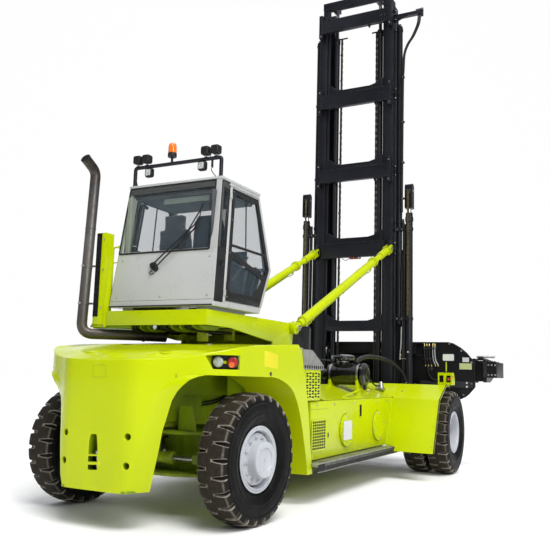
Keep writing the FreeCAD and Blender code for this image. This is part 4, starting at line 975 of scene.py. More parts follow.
def rear_shell():
    K = Kit()
    base = [0.376, 0.47, 0.585, 0.64, 0.695, 0.78, 0.865, 0.92, 0.975, 1.08, 1.19, 1.30, 1.41, 1.52, 1.602]
    cols = []            # each: list of skin points from bottom to the deck edge, then the target of the deck rows
    ys = [0.0, 0.06, 0.13, 0.26]
    for y, x, zh in PLAN:
        if y < 0.001:
            continue
        cols.append((y, x, zh))
    cols = [(0.06, -1.0975, 1.676)] + cols
    lipx = LIP
    skin = []
    for y, x, zh in cols:
        # bottom of this column
        if x < -1.0695:
            zl = 0.376
        else:
            zl = interp(x, lipx)
        rows = []
        for k, z in enumerate(base):
            if zl <= 0.3761:
                rows.append(z)
            elif zl < 0.586 and y < 0.46:
                rows.append(zl if k == 0 else ((zl + 0.585) / 2 if k == 1 else z))
            else:
                rows.append(zl + (z - 0.376) * (1.602 - zl) / (1.602 - 0.376))
        z3 = min(1.748, zh - 0.022)
        rows += [1.602 + 0.5 * (z3 - 1.602), z3, zh - 0.010]
        skin.append([[x, y, z] for z in rows])
    # side of the fender: columns fan from the arch lip to the top and front edges
    side = [((-0.300, 1.540), (-0.300, 1.842)), ((-0.150, 1.539), (-0.150, 1.858)), ((0.0, 1.538), (0.0, 1.872)), ((0.19, 1.536), (0.19, 1.884)), ((0.378, 1.534), (0.378, 1.896)), ((0.48, 1.522), (0.50, 1.903)),
            ((0.618, 1.488), (0.66, 1.912)), ((0.720, 1.455), (0.80, 1.919)), ((0.813, 1.413), (0.92, 1.925)), ((0.890, 1.355), (0.99, 1.928)), ((0.948, 1.285), (1.030, 1.905)), ((1.005, 1.212), (1.075, 1.81)),
            ((1.054, 1.126), (1.135, 1.69)), ((1.103, 1.015), (1.200, 1.55)), ((1.152, 0.894), (1.248, 1.36)), ((1.200, 0.750), (1.300, 1.15)), ((1.251, 0.603), (1.378, 0.75)), ((1.300, 0.376), (1.452, 0.376))]
    nb = len(base)
    for (xl, zl), (xt, zt) in side:
        col = []
        for k in range(nb + 3):
            if k < nb:
                f = (base[k] - 0.376) / (1.602 - 0.376) * 0.28
            else:
                f = (0.28 + 0.24, 0.28 + 0.50, 0.965)[k - nb]
            col.append([xl + (xt - xl) * f, 1.2495, zl + (zt - zl) * f])
        skin.append(col)
    # slanting left end of the lamp recess
    ci = {c[1]: i for i, c in enumerate(cols)}
    i0, i1, i2 = ci[-0.687], ci[-0.628], len(cols) - 1
    for k, (px, py) in ((14, (-0.628, 1.080)), (15, (-0.658, 1.050)), (16, (-0.687, 1.017))):
        skin[i0][k][0], skin[i0][k][1] = px, py
    for k, (px, py) in ((14, (-0.585, 1.126)), (15, (-0.595, 1.115)), (16, (-0.612, 1.097))):
        skin[i1][k][0], skin[i1][k][1] = px, py
    for k in range(12, 14):
        skin[i0][k][0], skin[i0][k][1] = -0.660, 1.047
        skin[i1][k][0], skin[i1][k][1] = -0.606, 1.104
    holes = {}
    nk = nb + 3
    hole_cells = set()
    ca, cb = 3, 5
    for c in range(ca, cb):
        for k in (2, 3, 6, 7):
            hole_cells.add((c, k))
    rec_cells = {(c, k) for c in range(i0, i2) for k in (14, 15)}
    deck_in = 7
    for s in (1, -1):
        def P(p):
            return (p[0], p[1] * s, p[2])
        verts, faces, idx = [], [], {}
        for i, col in enumerate(skin):
            for k, p in enumerate(col):
                idx[i, k] = len(verts)
                verts.append(P(p))
        for i in range(len(skin) - 1):
            for k in range(nk - 1):
                if (i, k) in hole_cells or (i, k) in rec_cells:
                    continue
                faces.append([idx[i, k], idx[i + 1, k], idx[i + 1, k + 1], idx[i, k + 1]])
        # edge of the deck and the deck itself
        last_deck = 0
        for i, col in enumerate(skin):
            x, y, z = col[-1]
            if i < len(cols):
                zt = cols[i][2]
                t = max(0.0, (i - 2) / (len(cols) - 3))
                target = (-0.50 + 0.20 * t, 0.30 * y, 0)
            else:
                zt = side[i - len(cols)][1][1]
                if side[i - len(cols)][1][0] > 1.0:
                    break
                target = (x, 0.33, 0)
            last_deck = i
            inw = unit(np.array([target[0] - x, target[1] - y]))
            pts = [(x + inw[0] * 0.004, y + inw[1] * 0.004, zt - 0.003), (x + inw[0] * 0.016, y + inw[1] * 0.016, zt + 0.001)]
            for f in (0.07, 0.16, 0.30, 0.50, 0.72, 1.0):
                px, py = x + (target[0] - x) * f, y + (target[1] - y) * f
                zc = deck_z(px, py)
                g = min(1.0, f / 0.16) ** 0.8
                pts.append((px, py, zt + 0.001 + (zc - zt) * g))
            for k, p in enumerate(pts):
                idx[i, nk + k] = len(verts)
                verts.append(P(p))
        for i in range(last_deck):
            for k in range(nk - 1, nk + 7):
                faces.append([idx[i, k], idx[i + 1, k], idx[i + 1, k + 1], idx[i, k + 1]])
        # rounded top front end of the fender: front band
        fr = [i for i in range(last_deck, len(skin))]
        for i in fr:
            x, y, z = skin[i][-1]
            (xl, zl), (xt, zt) = side[i - len(cols)]
            idx[i, 90] = len(verts)
            verts.append(P((x + (xt - x) * 0.9, 1.2455, z + (zt - z) * 0.9)))
            idx[i, 91] = len(verts)
            verts.append(P((xt, 1.236, zt)))
            idx[i, 92] = len(verts)
            verts.append(P((xt, 0.52, zt)))
        for a, b in zip(fr[:-1], fr[1:]):
            for k, q in ((nk - 1, 90), (90, 91), (91, 92)):
                faces.append([idx[a, k], idx[b, k], idx[b, q], idx[a, q]])
        # edge of the arch: small round, then the reveal to its inner edge
        inner = [(0.376, (-0.835, 0.523, 0.378)), (0.571, (-0.835, 0.563, 0.58)), (0.781, (-0.835, 0.607, 0.775)), (0.934, (-0.835, 0.632, 0.92)), (1.06, (-0.835, 0.658, 1.05)),
                 (1.16, (-0.835, 0.686, 1.15)), (1.232, (-0.835, 0.712, 1.21)), (1.303, (-0.835, 0.742, 1.285)), (1.388, (-0.833, 0.800, 1.375)), (1.448, (-0.828, 0.860, 1.435)),
                 (1.511, (-0.800, 0.920, 1.492)), (1.537, (-0.750, 0.975, 1.522)), (1.5415, (-0.690, 1.03, 1.540))]

        def inner_at(z):
            for (a, u), (b, v) in zip(inner[:-1], inner[1:]):
                if z <= b:
                    t = max(0.0, (z - a) / (b - a))
                    return [u[j] + (v[j] - u[j]) * t for j in range(3)]
            return list(inner[-1][1])
        start = next(i for i, c in enumerate(cols) if c[1] > -1.0695) - 1
        # the crease starts at the foot between two columns
        chain = []
        for i in range(start, len(skin)):
            if i < len(cols):
                if i == start:
                    continue
                p = skin[i][0]
                q = inner_at(p[2]) if p[0] < -0.70 else [p[0] + 0.03, p[1] - 0.12, 1.541]
            else:
                p = skin[i][0]
                q = [p[0], 0.60, p[2]]
            chain.append((idx[i, 0], p, q))
        first = (-1.066, 0.440, 0.376)
        v0 = idx[start, 0]
        prev = None
        for vi, p, q in chain:
            p, q = np.array(p), np.array(q)
            d = unit(q - p)
            L = float(np.linalg.norm(q - p))
            ring = [vi]
            for t, dz in ((0.010, 0.003), (0.03, 0.004), (0.5 * L, 0.0), (L, 0.0)):
                w = p + d * min(t, L)
                ring.append(len(verts))
                verts.append(P((w[0], w[1], w[2] + (0.0 if p[2] < 1.5 else dz * 0.3))))
            if prev is not None:
                for k in range(4):
                    faces.append([prev[k], prev[k + 1], ring[k + 1], ring[k]])
            else:
                # foot of the side face
                f0 = len(verts)
                verts.append(P(inner[0][1]))
                faces.append([v0, f0, ring[4], ring[3], ring[2], ring[1], ring[0]])
            prev = ring
        K.put(verts, faces, LIME)
        # lifting holes
        for z0, z1, zc in ((0.585, 0.695, 0.64), (0.865, 0.975, 0.92)):
            kk = {0.585: 2, 0.865: 6}[z0]
            per = [skin[ca][kk], skin[ca + 1][kk], skin[cb][kk], skin[cb][kk + 1], skin[cb][kk + 2], skin[ca + 1][kk + 2], skin[ca][kk + 2], skin[ca][kk + 1]]
            cen = np.array(skin[ca + 1][kk + 1], float)
            per = [np.array(p, float) for p in per]
            v = [P(p) for p in per]

            def circ(r, dx):
                out = []
                for j in range(16):
                    a = 2 * math.pi * j / 16 - 0.75 * math.pi
                    yy, zz = cen[1] + r * math.cos(a), cen[2] + r * math.sin(a)
                    xx = interp(yy, [(c[0], c[1]) for c in cols]) + dx
                    out.append(P((xx, yy, zz)))
                return out
            rings = [circ(0.0385, 0.0), circ(0.0355, 0.0045), circ(0.0350, 0.022)]
            v += rings[0] + rings[1] + rings[2]
            f = [[j, (j + 1) % 8, 8 + (2 * j + 2) % 16, 8 + (2 * j + 1) % 16, 8 + 2 * j] for j in range(8)]
            for q in (0, 16):
                f += [[8 + q + j, 8 + q + (j + 1) % 16, 24 + q + (j + 1) % 16, 24 + q + j] for j in range(16)]
            K.put(v, f, LIME)
            # inside of each hole in the darker lime, closed at its end: painted shade
            K.put(rings[2] + circ(0.0345, 0.118) + [P((cen[0] + 0.118, cen[1], cen[2]))],
                  [[j, (j + 1) % 16, 16 + (j + 1) % 16, 16 + j] for j in range(16)] + [[16 + j, 16 + (j + 1) % 16, 32] for j in range(16)], LIME_SHADE_AND_SEAM)
        # tail lamp recess: walls, floor, two lamps
        o = [P(skin[i][14]) for i in range(i0, i2 + 1)]
        t = [P(skin[i][16]) for i in range(i0, i2 + 1)]
        zlo, zhi = 1.602, 1.748
        fl = [(-0.520, 0.998), (-0.497, 1.046), (-0.474, 1.092), (-0.450, 1.140), (-0.426, 1.188), (-0.402, 1.236)]
        n = i2 - i0 + 1
        bot = [P((fl[min(j, 5)][0], fl[min(j, 5)][1], zlo + 0.004)) for j in range(6)]
        top = [P((fl[min(j, 5)][0], fl[min(j, 5)][1], zhi - 0.004)) for j in range(6)]
        o6 = [o[round(j * (n - 1) / 5)] for j in range(6)]
        t6 = [t[round(j * (n - 1) / 5)] for j in range(6)]
        K.put(o6 + bot, [[j, j + 1, 7 + j, 6 + j] for j in range(5)], LIME)
        # ceiling of the recess and its far end wall in the darker lime: painted shade
        K.put(t6 + top, [[j, 6 + j, 7 + j, j + 1] for j in range(5)], LIME_SHADE_AND_SEAM)
        mid = P(skin[i0][15])
        K.put([o6[0], mid, t6[0], top[0], bot[0]], [[0, 1, 2, 3, 4]], LIME)
        K.put([o6[5], P(skin[i2][15]), t6[5], top[5], bot[5]], [[0, 4, 3, 2, 1]], LIME_SHADE_AND_SEAM)
        K.put(bot + top, [[j, j + 1, 7 + j, 6 + j] for j in range(5)], PLAST)
        out_n = np.array([-0.64, 0.77 * s, 0.0])
        for (lx, ly), kind in (((-0.508, 1.062), "w"), ((-0.440, 1.196), "r")):
            c = np.array([lx, ly * s, 1.677])
            d = unit(np.array([-0.89, 0.455 * s, 0.0]))
            K.lathe([(0.0, -0.03), (0.058, -0.03), (0.062, 0.0), (0.0635, 0.012), (0.060, 0.017), (0.054, 0.016), (0.052, 0.008), (0.0, 0.008)], c, d, RUBBER, 28)
            if kind == "w":
                K.lathe([(0.0525, 0.008), (0.052, 0.013), (0.036, 0.0185), (0.034, 0.0165), (0.030, 0.0195), (0.0, 0.0235)], c, d, LENS_W, 28)
            else:
                K.lathe([(0.0525, 0.008), (0.052, 0.0125), (0.046, 0.016), (0.0, 0.017)], c, d, LENS_R, 28)
                e = c + np.array([0, 0, -0.026]) - np.array([0.455, 0.89 * s, 0]) * 0.012
                K.lathe([(0.0, 0.0), (0.030, 0.014), (0.029, 0.0225), (0.0, 0.0265)], e, d, LENS_O, 20)
        K.box(-0.498, -0.470, *sorted((s * 1.115, s * 1.140)), 1.66, 1.69, LIME, 0.002)
        # blank label and a sensor on the side
        K.prism([(0.132, 1.652), (0.452, 1.628), (0.452, 1.792), (0.132, 1.822)], "y", s * 1.2485, s * 1.2505, PLATE, 0.001)
        K.lathe([(0.0, 0.0), (0.020, 0.0), (0.022, 0.004), (0.020, 0.009), (0.012, 0.0115), (0.0, 0.012)], (0.29, s * 1.248, 1.571), (0, s, 0), PLAST, 18)
        K.lathe([(0.0, 0.0), (0.010, 0.0), (0.010, 0.002), (0.0, 0.003)], (0.29, s * 1.259, 1.571), (0, s, 0), STEEL, 12)
    # middle of the tail: the tow opening, two slots and the hatch outline, between the first columns
    from mathutils.geometry import tessellate_polygon
    z_levels = [skin[0][k][2] for k in range(nk)]
    rim_z = [z for z in z_levels]

    def rounded(pts, r, k=4):
        out, m = [], len(pts)
        for i in range(m):
            a, b, c = (np.array(pts[(i + j - 1) % m], float) for j in range(3))
            u, w = unit(a - b), unit(c - b)
            for j in range(k + 1):
                t = j / k
                out.append(tuple((1 - t) ** 2 * (b + u * r) + 2 * t * (1 - t) * b + t * t * (b + w * r)))
        return out
    tow = rounded([(-0.030, 0.928), (0.046, 0.924), (0.086, 0.722), (-0.062, 0.728)], 0.022)
    sl1 = rounded([(-0.055, 0.713), (0.087, 0.706), (0.084, 0.650), (-0.058, 0.656)], 0.010)
    sl2 = rounded([(-0.059, 0.630), (0.083, 0.620), (0.078, 0.572), (-0.064, 0.578)], 0.014)
    # the patch spans y -0.13 to 0.13
    XS = -1.0974
    ktop, kbot = 8, 1
    outer = [(-0.13, z_levels[k]) for k in range(kbot, ktop + 1)] + [(0.13, z_levels[k]) for k in range(ktop, kbot - 1, -1)]
    polys = [outer, tow, sl1, sl2]
    flat = [p for q in polys for p in q]
    tri = tessellate_polygon([[Vector((p[0], p[1], 0)) for p in q] for q in polys])
    K.put([(XS, p[0], p[1]) for p in flat], [list(t) for t in tri], LIME)
    # walls of the openings in the darker lime and a black floor at their ends: painted shade inside them
    for hole, depth, m in ((tow, 0.145, LIME_SHADE_AND_SEAM), (sl1, 0.10, LIME_SHADE_AND_SEAM), (sl2, 0.10, LIME_SHADE_AND_SEAM)):
        m0 = len(hole)
        K.put([(XS, p[0], p[1]) for p in hole] + [(XS + depth, p[0], p[1]) for p in hole],
              [[j, (j + 1) % m0, m0 + (j + 1) % m0, m0 + j] for j in range(m0)], m)
        K.put([(XS + depth, p[0], p[1]) for p in hole], [list(range(m0))], SHADE_AND_SCREEN_BLACK)
    # columns beside the patch up to the middle
    for z0, z1 in [(z_levels[k], z_levels[k + 1]) for k in range(nk - 1)]:
        if z_levels[kbot] - 1e-6 <= z0 < z_levels[ktop] - 1e-6:
            continue
        K.put([(XS, -0.06, z0), (XS, 0.06, z0), (XS, 0.06, z1), (XS, -0.06, z1)], [[0, 1, 2, 3]], LIME)
    # the edge and deck strip over the middle
    x, zt = XS, 1.676
    strip = [(XS, 1.666), (XS + 0.004, 1.673), (XS + 0.016, 1.677)]
    for f in (0.07, 0.16, 0.30, 0.50, 0.72, 1.0):
        px = XS + (-0.50 - XS) * f
        strip.append((px, 1.677 + (deck_z(px, 0) - 1.677) * min(1.0, f / 0.16) ** 0.8))
    w0 = [0.06, 0.06, 0.06] + [0.06 + (0.018 - 0.06) * f for f in (0.07, 0.16, 0.30, 0.50, 0.72, 1.0)]
    K.put([(a, -w, b) for (a, b), w in zip(strip, w0)] + [(a, w, b) for (a, b), w in zip(strip, w0)], [[j, 9 + j, 10 + j, j + 1] for j in range(8)], LIME)
    # hatch outline: thin dark joint broken by its tack points
    for (ya, za), (yb, zb), cnt in (((0.070, 1.612), (-0.100, 1.615), 9), ((-0.100, 1.615), (-0.105, 1.495), 7), ((-0.105, 1.495), (0.064, 1.491), 9), ((0.064, 1.491), (0.070, 1.612), 7)):
        for j in range(cnt):
            f0, f1 = (j + 0.12) / cnt, (j + 0.88) / cnt
            y0, y1, z0, z1 = ya + (yb - ya) * f0, ya + (yb - ya) * f1, za + (zb - za) * f0, za + (zb - za) * f1
            K.box(XS - 0.0008, XS + 0.004, min(y0, y1) - 0.0018, max(y0, y1) + 0.0018, min(z0, z1) - 0.0018, max(z0, z1) + 0.0018, LIME_SHADE_AND_SEAM, 0.0003)
    # small yellowish tag beside the slots, left blank
    K.box(XS - 0.001, XS + 0.003, -0.098, -0.072, 0.630, 0.668, PLATE, 0.001)
    # cores behind the skin close the underside and the back, in the darker lime as painted shade
    SHADED_LIME = LIME_SHADE_AND_SEAM

    def core(r0, r1):
        a = [(x, y, z) for x, y, z in r0] + [(x, -y, z) for x, y, z in reversed(r0)]
        b = [(x, y, z) for x, y, z in r1] + [(x, -y, z) for x, y, z in reversed(r1)]
        K.loft([a, b], SHADED_LIME)
    lv = [(0.378, 0.455, 0.515), (1.15, 0.560, 0.675), (1.29, 0.570, 0.725), (1.41, 0.575, 0.775), (1.49, 0.58, 0.79), (1.546, 0.58, 0.79)]
    for (za, a0, a1), (zb, b0, b1) in zip(lv[:-1], lv[1:]):
        core([(-0.935, a0, za), (-0.842, a1, za)], [(-0.935, b0, zb), (-0.842, b1, zb)])
    K.prism([(-1.085, -0.40), (-1.06, -0.43), (-0.95, -0.465), (-0.95, 0.465), (-1.06, 0.43), (-1.085, 0.40)], "z", 0.378, 0.40, SHADED_LIME, 0.0)
    pl = [(c[1] + 0.006, c[0] - 0.006) for c in cols if c[0] >= 0.45]
    K.prism([(-1.05, 0.0)] + [(-1.05, 0.45)] + pl + [(-0.30, 1.243), (-0.30, 0.0)], "z", 1.5465, 1.575, SHADED_LIME, 0.0)
    K.prism([(-1.05, 0.0)] + [(-1.05, -0.45)] + [(a, -b) for a, b in pl] + [(-0.30, -1.243), (-0.30, 0.0)], "z", 1.5465, 1.575, SHADED_LIME, 0.0)
    leg = [(-0.31, 1.545), (-0.31, 1.80), (0.95, 1.86), (1.010, 1.92), (1.19, 1.548), (1.292, 1.15), (1.445, 0.382), (1.308, 0.382), (1.245, 0.70), (1.160, 0.97), (1.040, 1.226), (0.876, 1.408), (0.684, 1.508), (0.430, 1.549)]
    for s in (1, -1):
        K.prism(leg, "y", s * 0.518, s * 1.243, SHADED_LIME, 0.0)
    # inner sheets of the arches, their ribs and the gussets over the axle, in the darker lime as painted shade
    for s in (1, -1):
        K.prism([(-0.835, 1.546), (-0.10, 1.546), (-0.02, 1.30), (0.36, 1.30), (0.36, 1.03), (-0.835, 1.02)], "y", s * 0.300, s * 0.312, SHADED_LIME, 0.002)
        K.prism([(-0.104, 1.546), (-0.026, 1.302), (1.330, 1.302), (1.330, 1.546)], "y", s * 0.301, s * 0.311, SHADED_LIME, 0.002)
        K.prism([(0.60, 1.304), (1.20, 1.304), (1.20, 1.545), (0.60, 1.545)], "y", s * 0.500, s * 0.512, SHADED_LIME, 0.002)
        K.box(-0.835, -0.80, *sorted((s * 0.29, s * 0.72)), 1.36, 1.546, SHADED_LIME, 0.003)
        K.prism([(0.40, 0.938), (0.62, 0.938), (0.62, 0.965), (0.56, 1.20), (0.40, 1.20)] if s > 0 else [(-0.40, 0.938), (-0.62, 0.938), (-0.62, 0.965), (-0.56, 1.20), (-0.40, 1.20)], "x", -0.205, -0.185, SHADED_LIME, 0.002)
    # two discs let into the crown of the deck
    for (dx, dy) in ((-0.86, 0.30), (-0.80, -0.62)):
        zc = deck_z(dx, dy)
        K.lathe([(0.0, -0.01), (0.070, -0.01), (0.074, 0.004), (0.070, 0.011), (0.055, 0.014), (0.0, 0.015)], (dx, dy, zc - 0.012), (-0.15, dy * 0.12, 1), LIME, 30)
    # middle panel of the deck between the fenders
    K.loft([[(x, y, deck_z(x, y) - 0.002) for y in (-0.45, -0.25, 0.0, 0.25, 0.45)] for x in (-0.56, -0.40, -0.10, 0.25, 0.65, 1.02)], LIME, caps=False, closed=False)
    return K.done("rear_body_shell", "chassis", "lime_paint", "counterweight", "rear_body", "rear_fenders", "engine_hood", sharp=21.0)


rear_shell()


GLOSS = paint("air_cleaner_black_finish", (0.004, 0.004, 0.0045), (0.007, 0.007, 0.008), (0.04, 0.04, 0.035), rough=(0.12, 0.22), coat=0.5, grime=0.2, spec=0.5, peel=0.04)
GREYBAND = paint("spreader_band_finish", (0.028, 0.029, 0.032), (0.042, 0.043, 0.047), (0.06, 0.058, 0.05), wear=(0.12, 0.12, 0.12), rough=(0.35, 0.55), coat=0.0, spec=0.3)
PLATE_G = plastic("blank_green_plate_finish", (0.50, 0.54, 0.24), (0.58, 0.62, 0.30), (0.3, 0.45), 200.0, 0.05, 0.1)
RIBS = metal("board_rib_finish", (0.075, 0.077, 0.075), (0.13, 0.13, 0.125), (0.45, 0.65), 20.0, bump=0.2, stain=(0.05, 0.05, 0.045))


# ---------------------------------------------------------------- outlines
def inset2(P, c):
    """polygon moved inward by c"""
    P = [np.asarray(p, float) for p in P]
    n = len(P)
    area = sum(P[i][0] * P[(i + 1) % n][1] - P[(i + 1) % n][0] * P[i][1] for i in range(n))
    s = 1.0 if area > 0 else -1.0
    out = []
    for i in range(n):
        e0, e1 = unit(P[i] - P[i - 1]), unit(P[(i + 1) % n] - P[i])
        n0, n1 = np.array([-e0[1], e0[0]]) * s, np.array([-e1[1], e1[0]]) * s
        h = n0 + n1
        h = h / max(0.35, float(h @ n0)) if np.linalg.norm(h) > 1e-6 else n0
        out.append(P[i] + h * c)
    return out


def rounded(P, r, k=4):
    """polygon with its corners rounded"""
    P = [np.asarray(p, float) for p in P]
    out = []
    for i in range(len(P)):
        a, b = P[i - 1] - P[i], P[(i + 1) % len(P)] - P[i]
        la, lb = np.linalg.norm(a), np.linalg.norm(b)
        a, b = a / la, b / lb
        ang = math.acos(max(-0.999, min(0.999, float(a @ b))))
        t = min(r / math.tan(ang / 2), 0.45 * la, 0.45 * lb)
        s, e = P[i] + a * t, P[i] + b * t
        for j in range(k + 1):
            w = j / k
            out.append((1 - w) ** 2 * s + 2 * w * (1 - w) * P[i] + w * w * e)
    return out


def band(K, P, w, f, h0, h1, m, e=0.002):
    """raised rim of width w inside outline P, f(u, v, height) gives the place"""
    rings = [(P, h0), (P, h1 - e), (inset2(P, e), h1), (inset2(P, w - e), h1), (inset2(P, w), h1 - e), (inset2(P, w), h0)]
    K.loft([[f(q[0], q[1], h) for q in R] for R, h in rings], m, caps=False)


def patch(K, P, f, h0, h1, m, e=0.002):
    """raised plate with outline P"""
    rings = [(P, h0), (P, h1 - e), (inset2(P, e), h1)]
    V = [[f(q[0], q[1], h) for q in R] for R, h in rings]
    K.loft(V, m, caps=False)
    K.put(V[-1], [list(range(len(P)))], m)


def circle2(cx, cy, rx, ry, n=28):
    return [(cx + rx * math.cos(2 * math.pi * i / n), cy + ry * math.sin(2 * math.pi * i / n)) for i in range(n)]


# ---------------------------------------------------------------- side tanks, steps, boards
SIDE = lambda u, v, h: (u, -1.200 - h, v)
dress("side_tanks", LIME, bevel=0.022, seg=3)
dress("step_boxes", LIME, bevel=0.012, seg=3)
dress("step_treads", GALV, bevel=0.003)
dress("running_boards", GALV, bevel=0.004)

K = Kit()
# square-hole grille in the tank side, on a black sheet that is painted shade behind the holes
K.put([(1.520, -1.2064, 0.640), (1.930, -1.2064, 0.640), (1.930, -1.2064, 1.000), (1.520, -1.2064, 1.000)], [[0, 1, 2, 3]], SHADE_AND_SCREEN_BLACK)
K.perf((1.520, -1.2075, 0.640), (0.410, 0, 0), (0, 0, 0.360), 7, 10, (0.80, 0.74), LIME, 0.0010)
band(K, rounded([(1.500, 0.622), (1.950, 0.622), (1.950, 1.018), (1.500, 1.018)], 0.012), 0.022, SIDE, 0.0, 0.011, LIME)
# latch with its finger cup
patch(K, rounded([(1.978, 0.760), (2.048, 0.760), (2.048, 0.872), (1.978, 0.872)], 0.015), SIDE, 0.0, 0.006, LIME)
patch(K, rounded([(1.996, 0.775), (2.030, 0.775), (2.030, 0.835), (1.996, 0.835)], 0.010), SIDE, 0.006, 0.0120, RIBS)
# access door seam of the rear part of the tank
K.box(1.440, 2.020, -1.2016, -1.199, 1.1430, 1.1475, LIME_SHADE_AND_SEAM, 0.0005)
# bolted round covers
for cx in (2.640, 3.930):
    cz = 0.835
    K.lathe([(0.0, 0.0), (0.222, 0.0), (0.222, 0.030), (0.214, 0.036), (0.176, 0.036), (0.171, 0.041), (0.0, 0.041)], (cx, -1.199, cz), (0, -1, 0), LIME, 44)
    K.ring((cx, -1.2005, cz), (0, -1, 0), 0.2235, 0.0032, RUBBER, 44, 6)
    for i in range(12):
        a = 2 * math.pi * (i + 0.5) / 12
        K.bolt((cx + 0.194 * math.cos(a), -1.235, cz + 0.194 * math.sin(a)), (0, -1, 0), 0.0105, STEEL if i % 3 == 0 else LIME, 0.009)
# step recess between the covers, its back a black sheet as painted shade
K.put([(3.150, -1.2018, 1.000), (3.246, -1.2018, 1.000), (3.246, -1.2018, 1.166), (3.150, -1.2018, 1.166)], [[0, 1, 2, 3]], SHADE_AND_SCREEN_BLACK)
band(K, rounded([(3.138, 0.988), (3.258, 0.988), (3.258, 1.178), (3.138, 1.178)], 0.018), 0.014, SIDE, 0.0, 0.007, LIME)
# drain plugs, fixing bolts and a filler cap
for x, z in ((3.911, 1.196), (2.23, 1.196), (2.95, 1.196), (4.42, 1.196), (1.66, 1.196)):
    K.bolt((x, -1.2005, z), (0, -1, 0), 0.010, STEEL, 0.008)
for x in (2.18, 3.10, 3.56, 4.30):
    K.bolt((x, -1.2005, 0.556), (0, -1, 0), 0.008, LIME, 0.006)
K.lathe([(0, 0), (0.062, 0), (0.062, 0.012), (0.050, 0.020), (0.050, 0.046), (0.042, 0.054), (0, 0.056)], (2.93, -1.00, 1.252), (0, 0, 1), PLAST, 30)
K.lathe([(0, 0), (0.040, 0), (0.040, 0.03), (0.030, 0.036), (0, 0.036)], (4.26, -1.05, 1.252), (0, 0, 1), PLAST, 24)
K.box(2.40, 2.55, -1.11, -1.01, 1.251, 1.256, PLATE_W, 0.001)
# blank plate on the rear cover
patch(K, rounded([(2.450, 0.708), (2.758, 0.708), (2.758, 0.964), (2.450, 0.964)], 0.012), SIDE, 0.0435, 0.0460, PLATE_W, 0.0006)
K.mirror_y()
K.done("side_tank_details", "chassis", "lime_paint")

K = Kit()
# staggered oblong holes in the stair box side, a black sheet behind them as painted shade
K.put([(1.268, -1.2204, 1.285), (1.694, -1.2204, 1.285), (1.694, -1.2204, 1.610), (1.268, -1.2204, 1.610)], [[0, 1, 2, 3]], SHADE_AND_SCREEN_BLACK)
K.perf((1.268, -1.2215, 1.285), (0.426, 0, 0), (0, 0, 0.325), 5, 9, (0.90, 0.66), LIME, 0.0010, kind="round", jog=0.10)
K.box(1.255, 1.268, -1.2215, -1.214, 1.275, 1.622, LIME, 0.001)
K.box(1.694, 1.707, -1.2215, -1.214, 1.265, 1.640, LIME, 0.001)
K.box(1.255, 1.707, -1.2215, -1.214, 1.262, 1.2855, LIME, 0.001)
K.box(1.255, 1.700, -1.2215, -1.214, 1.6095, 1.634, LIME, 0.001)
# fixing screws along the stair box
for x, z in ((1.262, 1.44), (1.700, 1.44), (1.48, 1.272), (1.48, 1.622)):
    K.bolt((x, -1.2215, z), (0, -1, 0), 0.0065, STEEL, 0.005)
K.mirror_y()
K.done("step_box_details", "chassis", "lime_paint")

K = Kit()
# tread plate: open pattern on the slope, square holes in the front lip, black sheets behind them as painted shade
a, b = np.array([1.188, -1.200, 1.9045]), np.array([1.700, -1.200, 1.6740])
K.put([a + (0, 0, 0.0020), b + (0, 0, 0.0020), b + (0, 0.425, 0.0020), a + (0, 0.425, 0.0020)], [[0, 1, 2, 3]], SHADE_AND_SCREEN_BLACK)
K.perf(a + (0, 0, 0.003), b - a, (0, 0.425, 0), 13, 10, (0.52, 0.52), GALV, 0.0008, kind="round", jog=0.12)
c, d = np.array([1.7160, -1.198, 1.658]), np.array([1.7365, -1.198, 1.590])
K.put([c + (0.0028, 0, 0), d + (0.0028, 0, 0), d + (0.0028, 0.421, 0), c + (0.0028, 0.421, 0)], [[0, 1, 2, 3]], SHADE_AND_SCREEN_BLACK)
K.perf(d + (0.004, 0, 0), (0, 0.421, 0), c - d, 9, 1, (0.55, 0.62), GALV, 0.0010)
# side cheek of the tread with its row of square holes, a black sheet behind as painted shade
f = lambda u, v, h: (u, -1.216 - h, v)
patch(K, rounded([(1.150, 1.882), (1.205, 1.702), (1.790, 1.702), (1.440, 1.882)], 0.012), f, 0.0, 0.010, GALV, 0.002)
K.put([(1.207, -1.2249, 1.640), (1.790, -1.2249, 1.640), (1.790, -1.2249, 1.702), (1.207, -1.2249, 1.702)], [[0, 1, 2, 3]], SHADE_AND_SCREEN_BLACK)
K.perf((1.207, -1.2260, 1.640), (0.583, 0, 0), (0, 0, 0.062), 9, 1, (0.62, 0.62), GALV, 0.0010)
K.box(1.207, 1.788, -1.2245, -1.190, 1.640, 1.702, GALV, 0.001)
K.mirror_y()
K.done("step_tread_pattern", "chassis", "galvanised")

K = Kit()
# running board: open tread on top over a black sheet as painted shade, ribs down the side, hangers below in the darker
# lime as painted shade
K.put([(1.640, -1.338, 0.5087), (4.290, -1.338, 0.5087), (4.290, -1.205, 0.5087), (1.640, -1.205, 0.5087)], [[0, 1, 2, 3]], SHADE_AND_SCREEN_BLACK)
K.perf((1.640, -1.338, 0.5095), (2.650, 0, 0), (0, 0.133, 0), 66, 4, (0.56, 0.56), GALV, 0.0008, kind="round", jog=0.14)
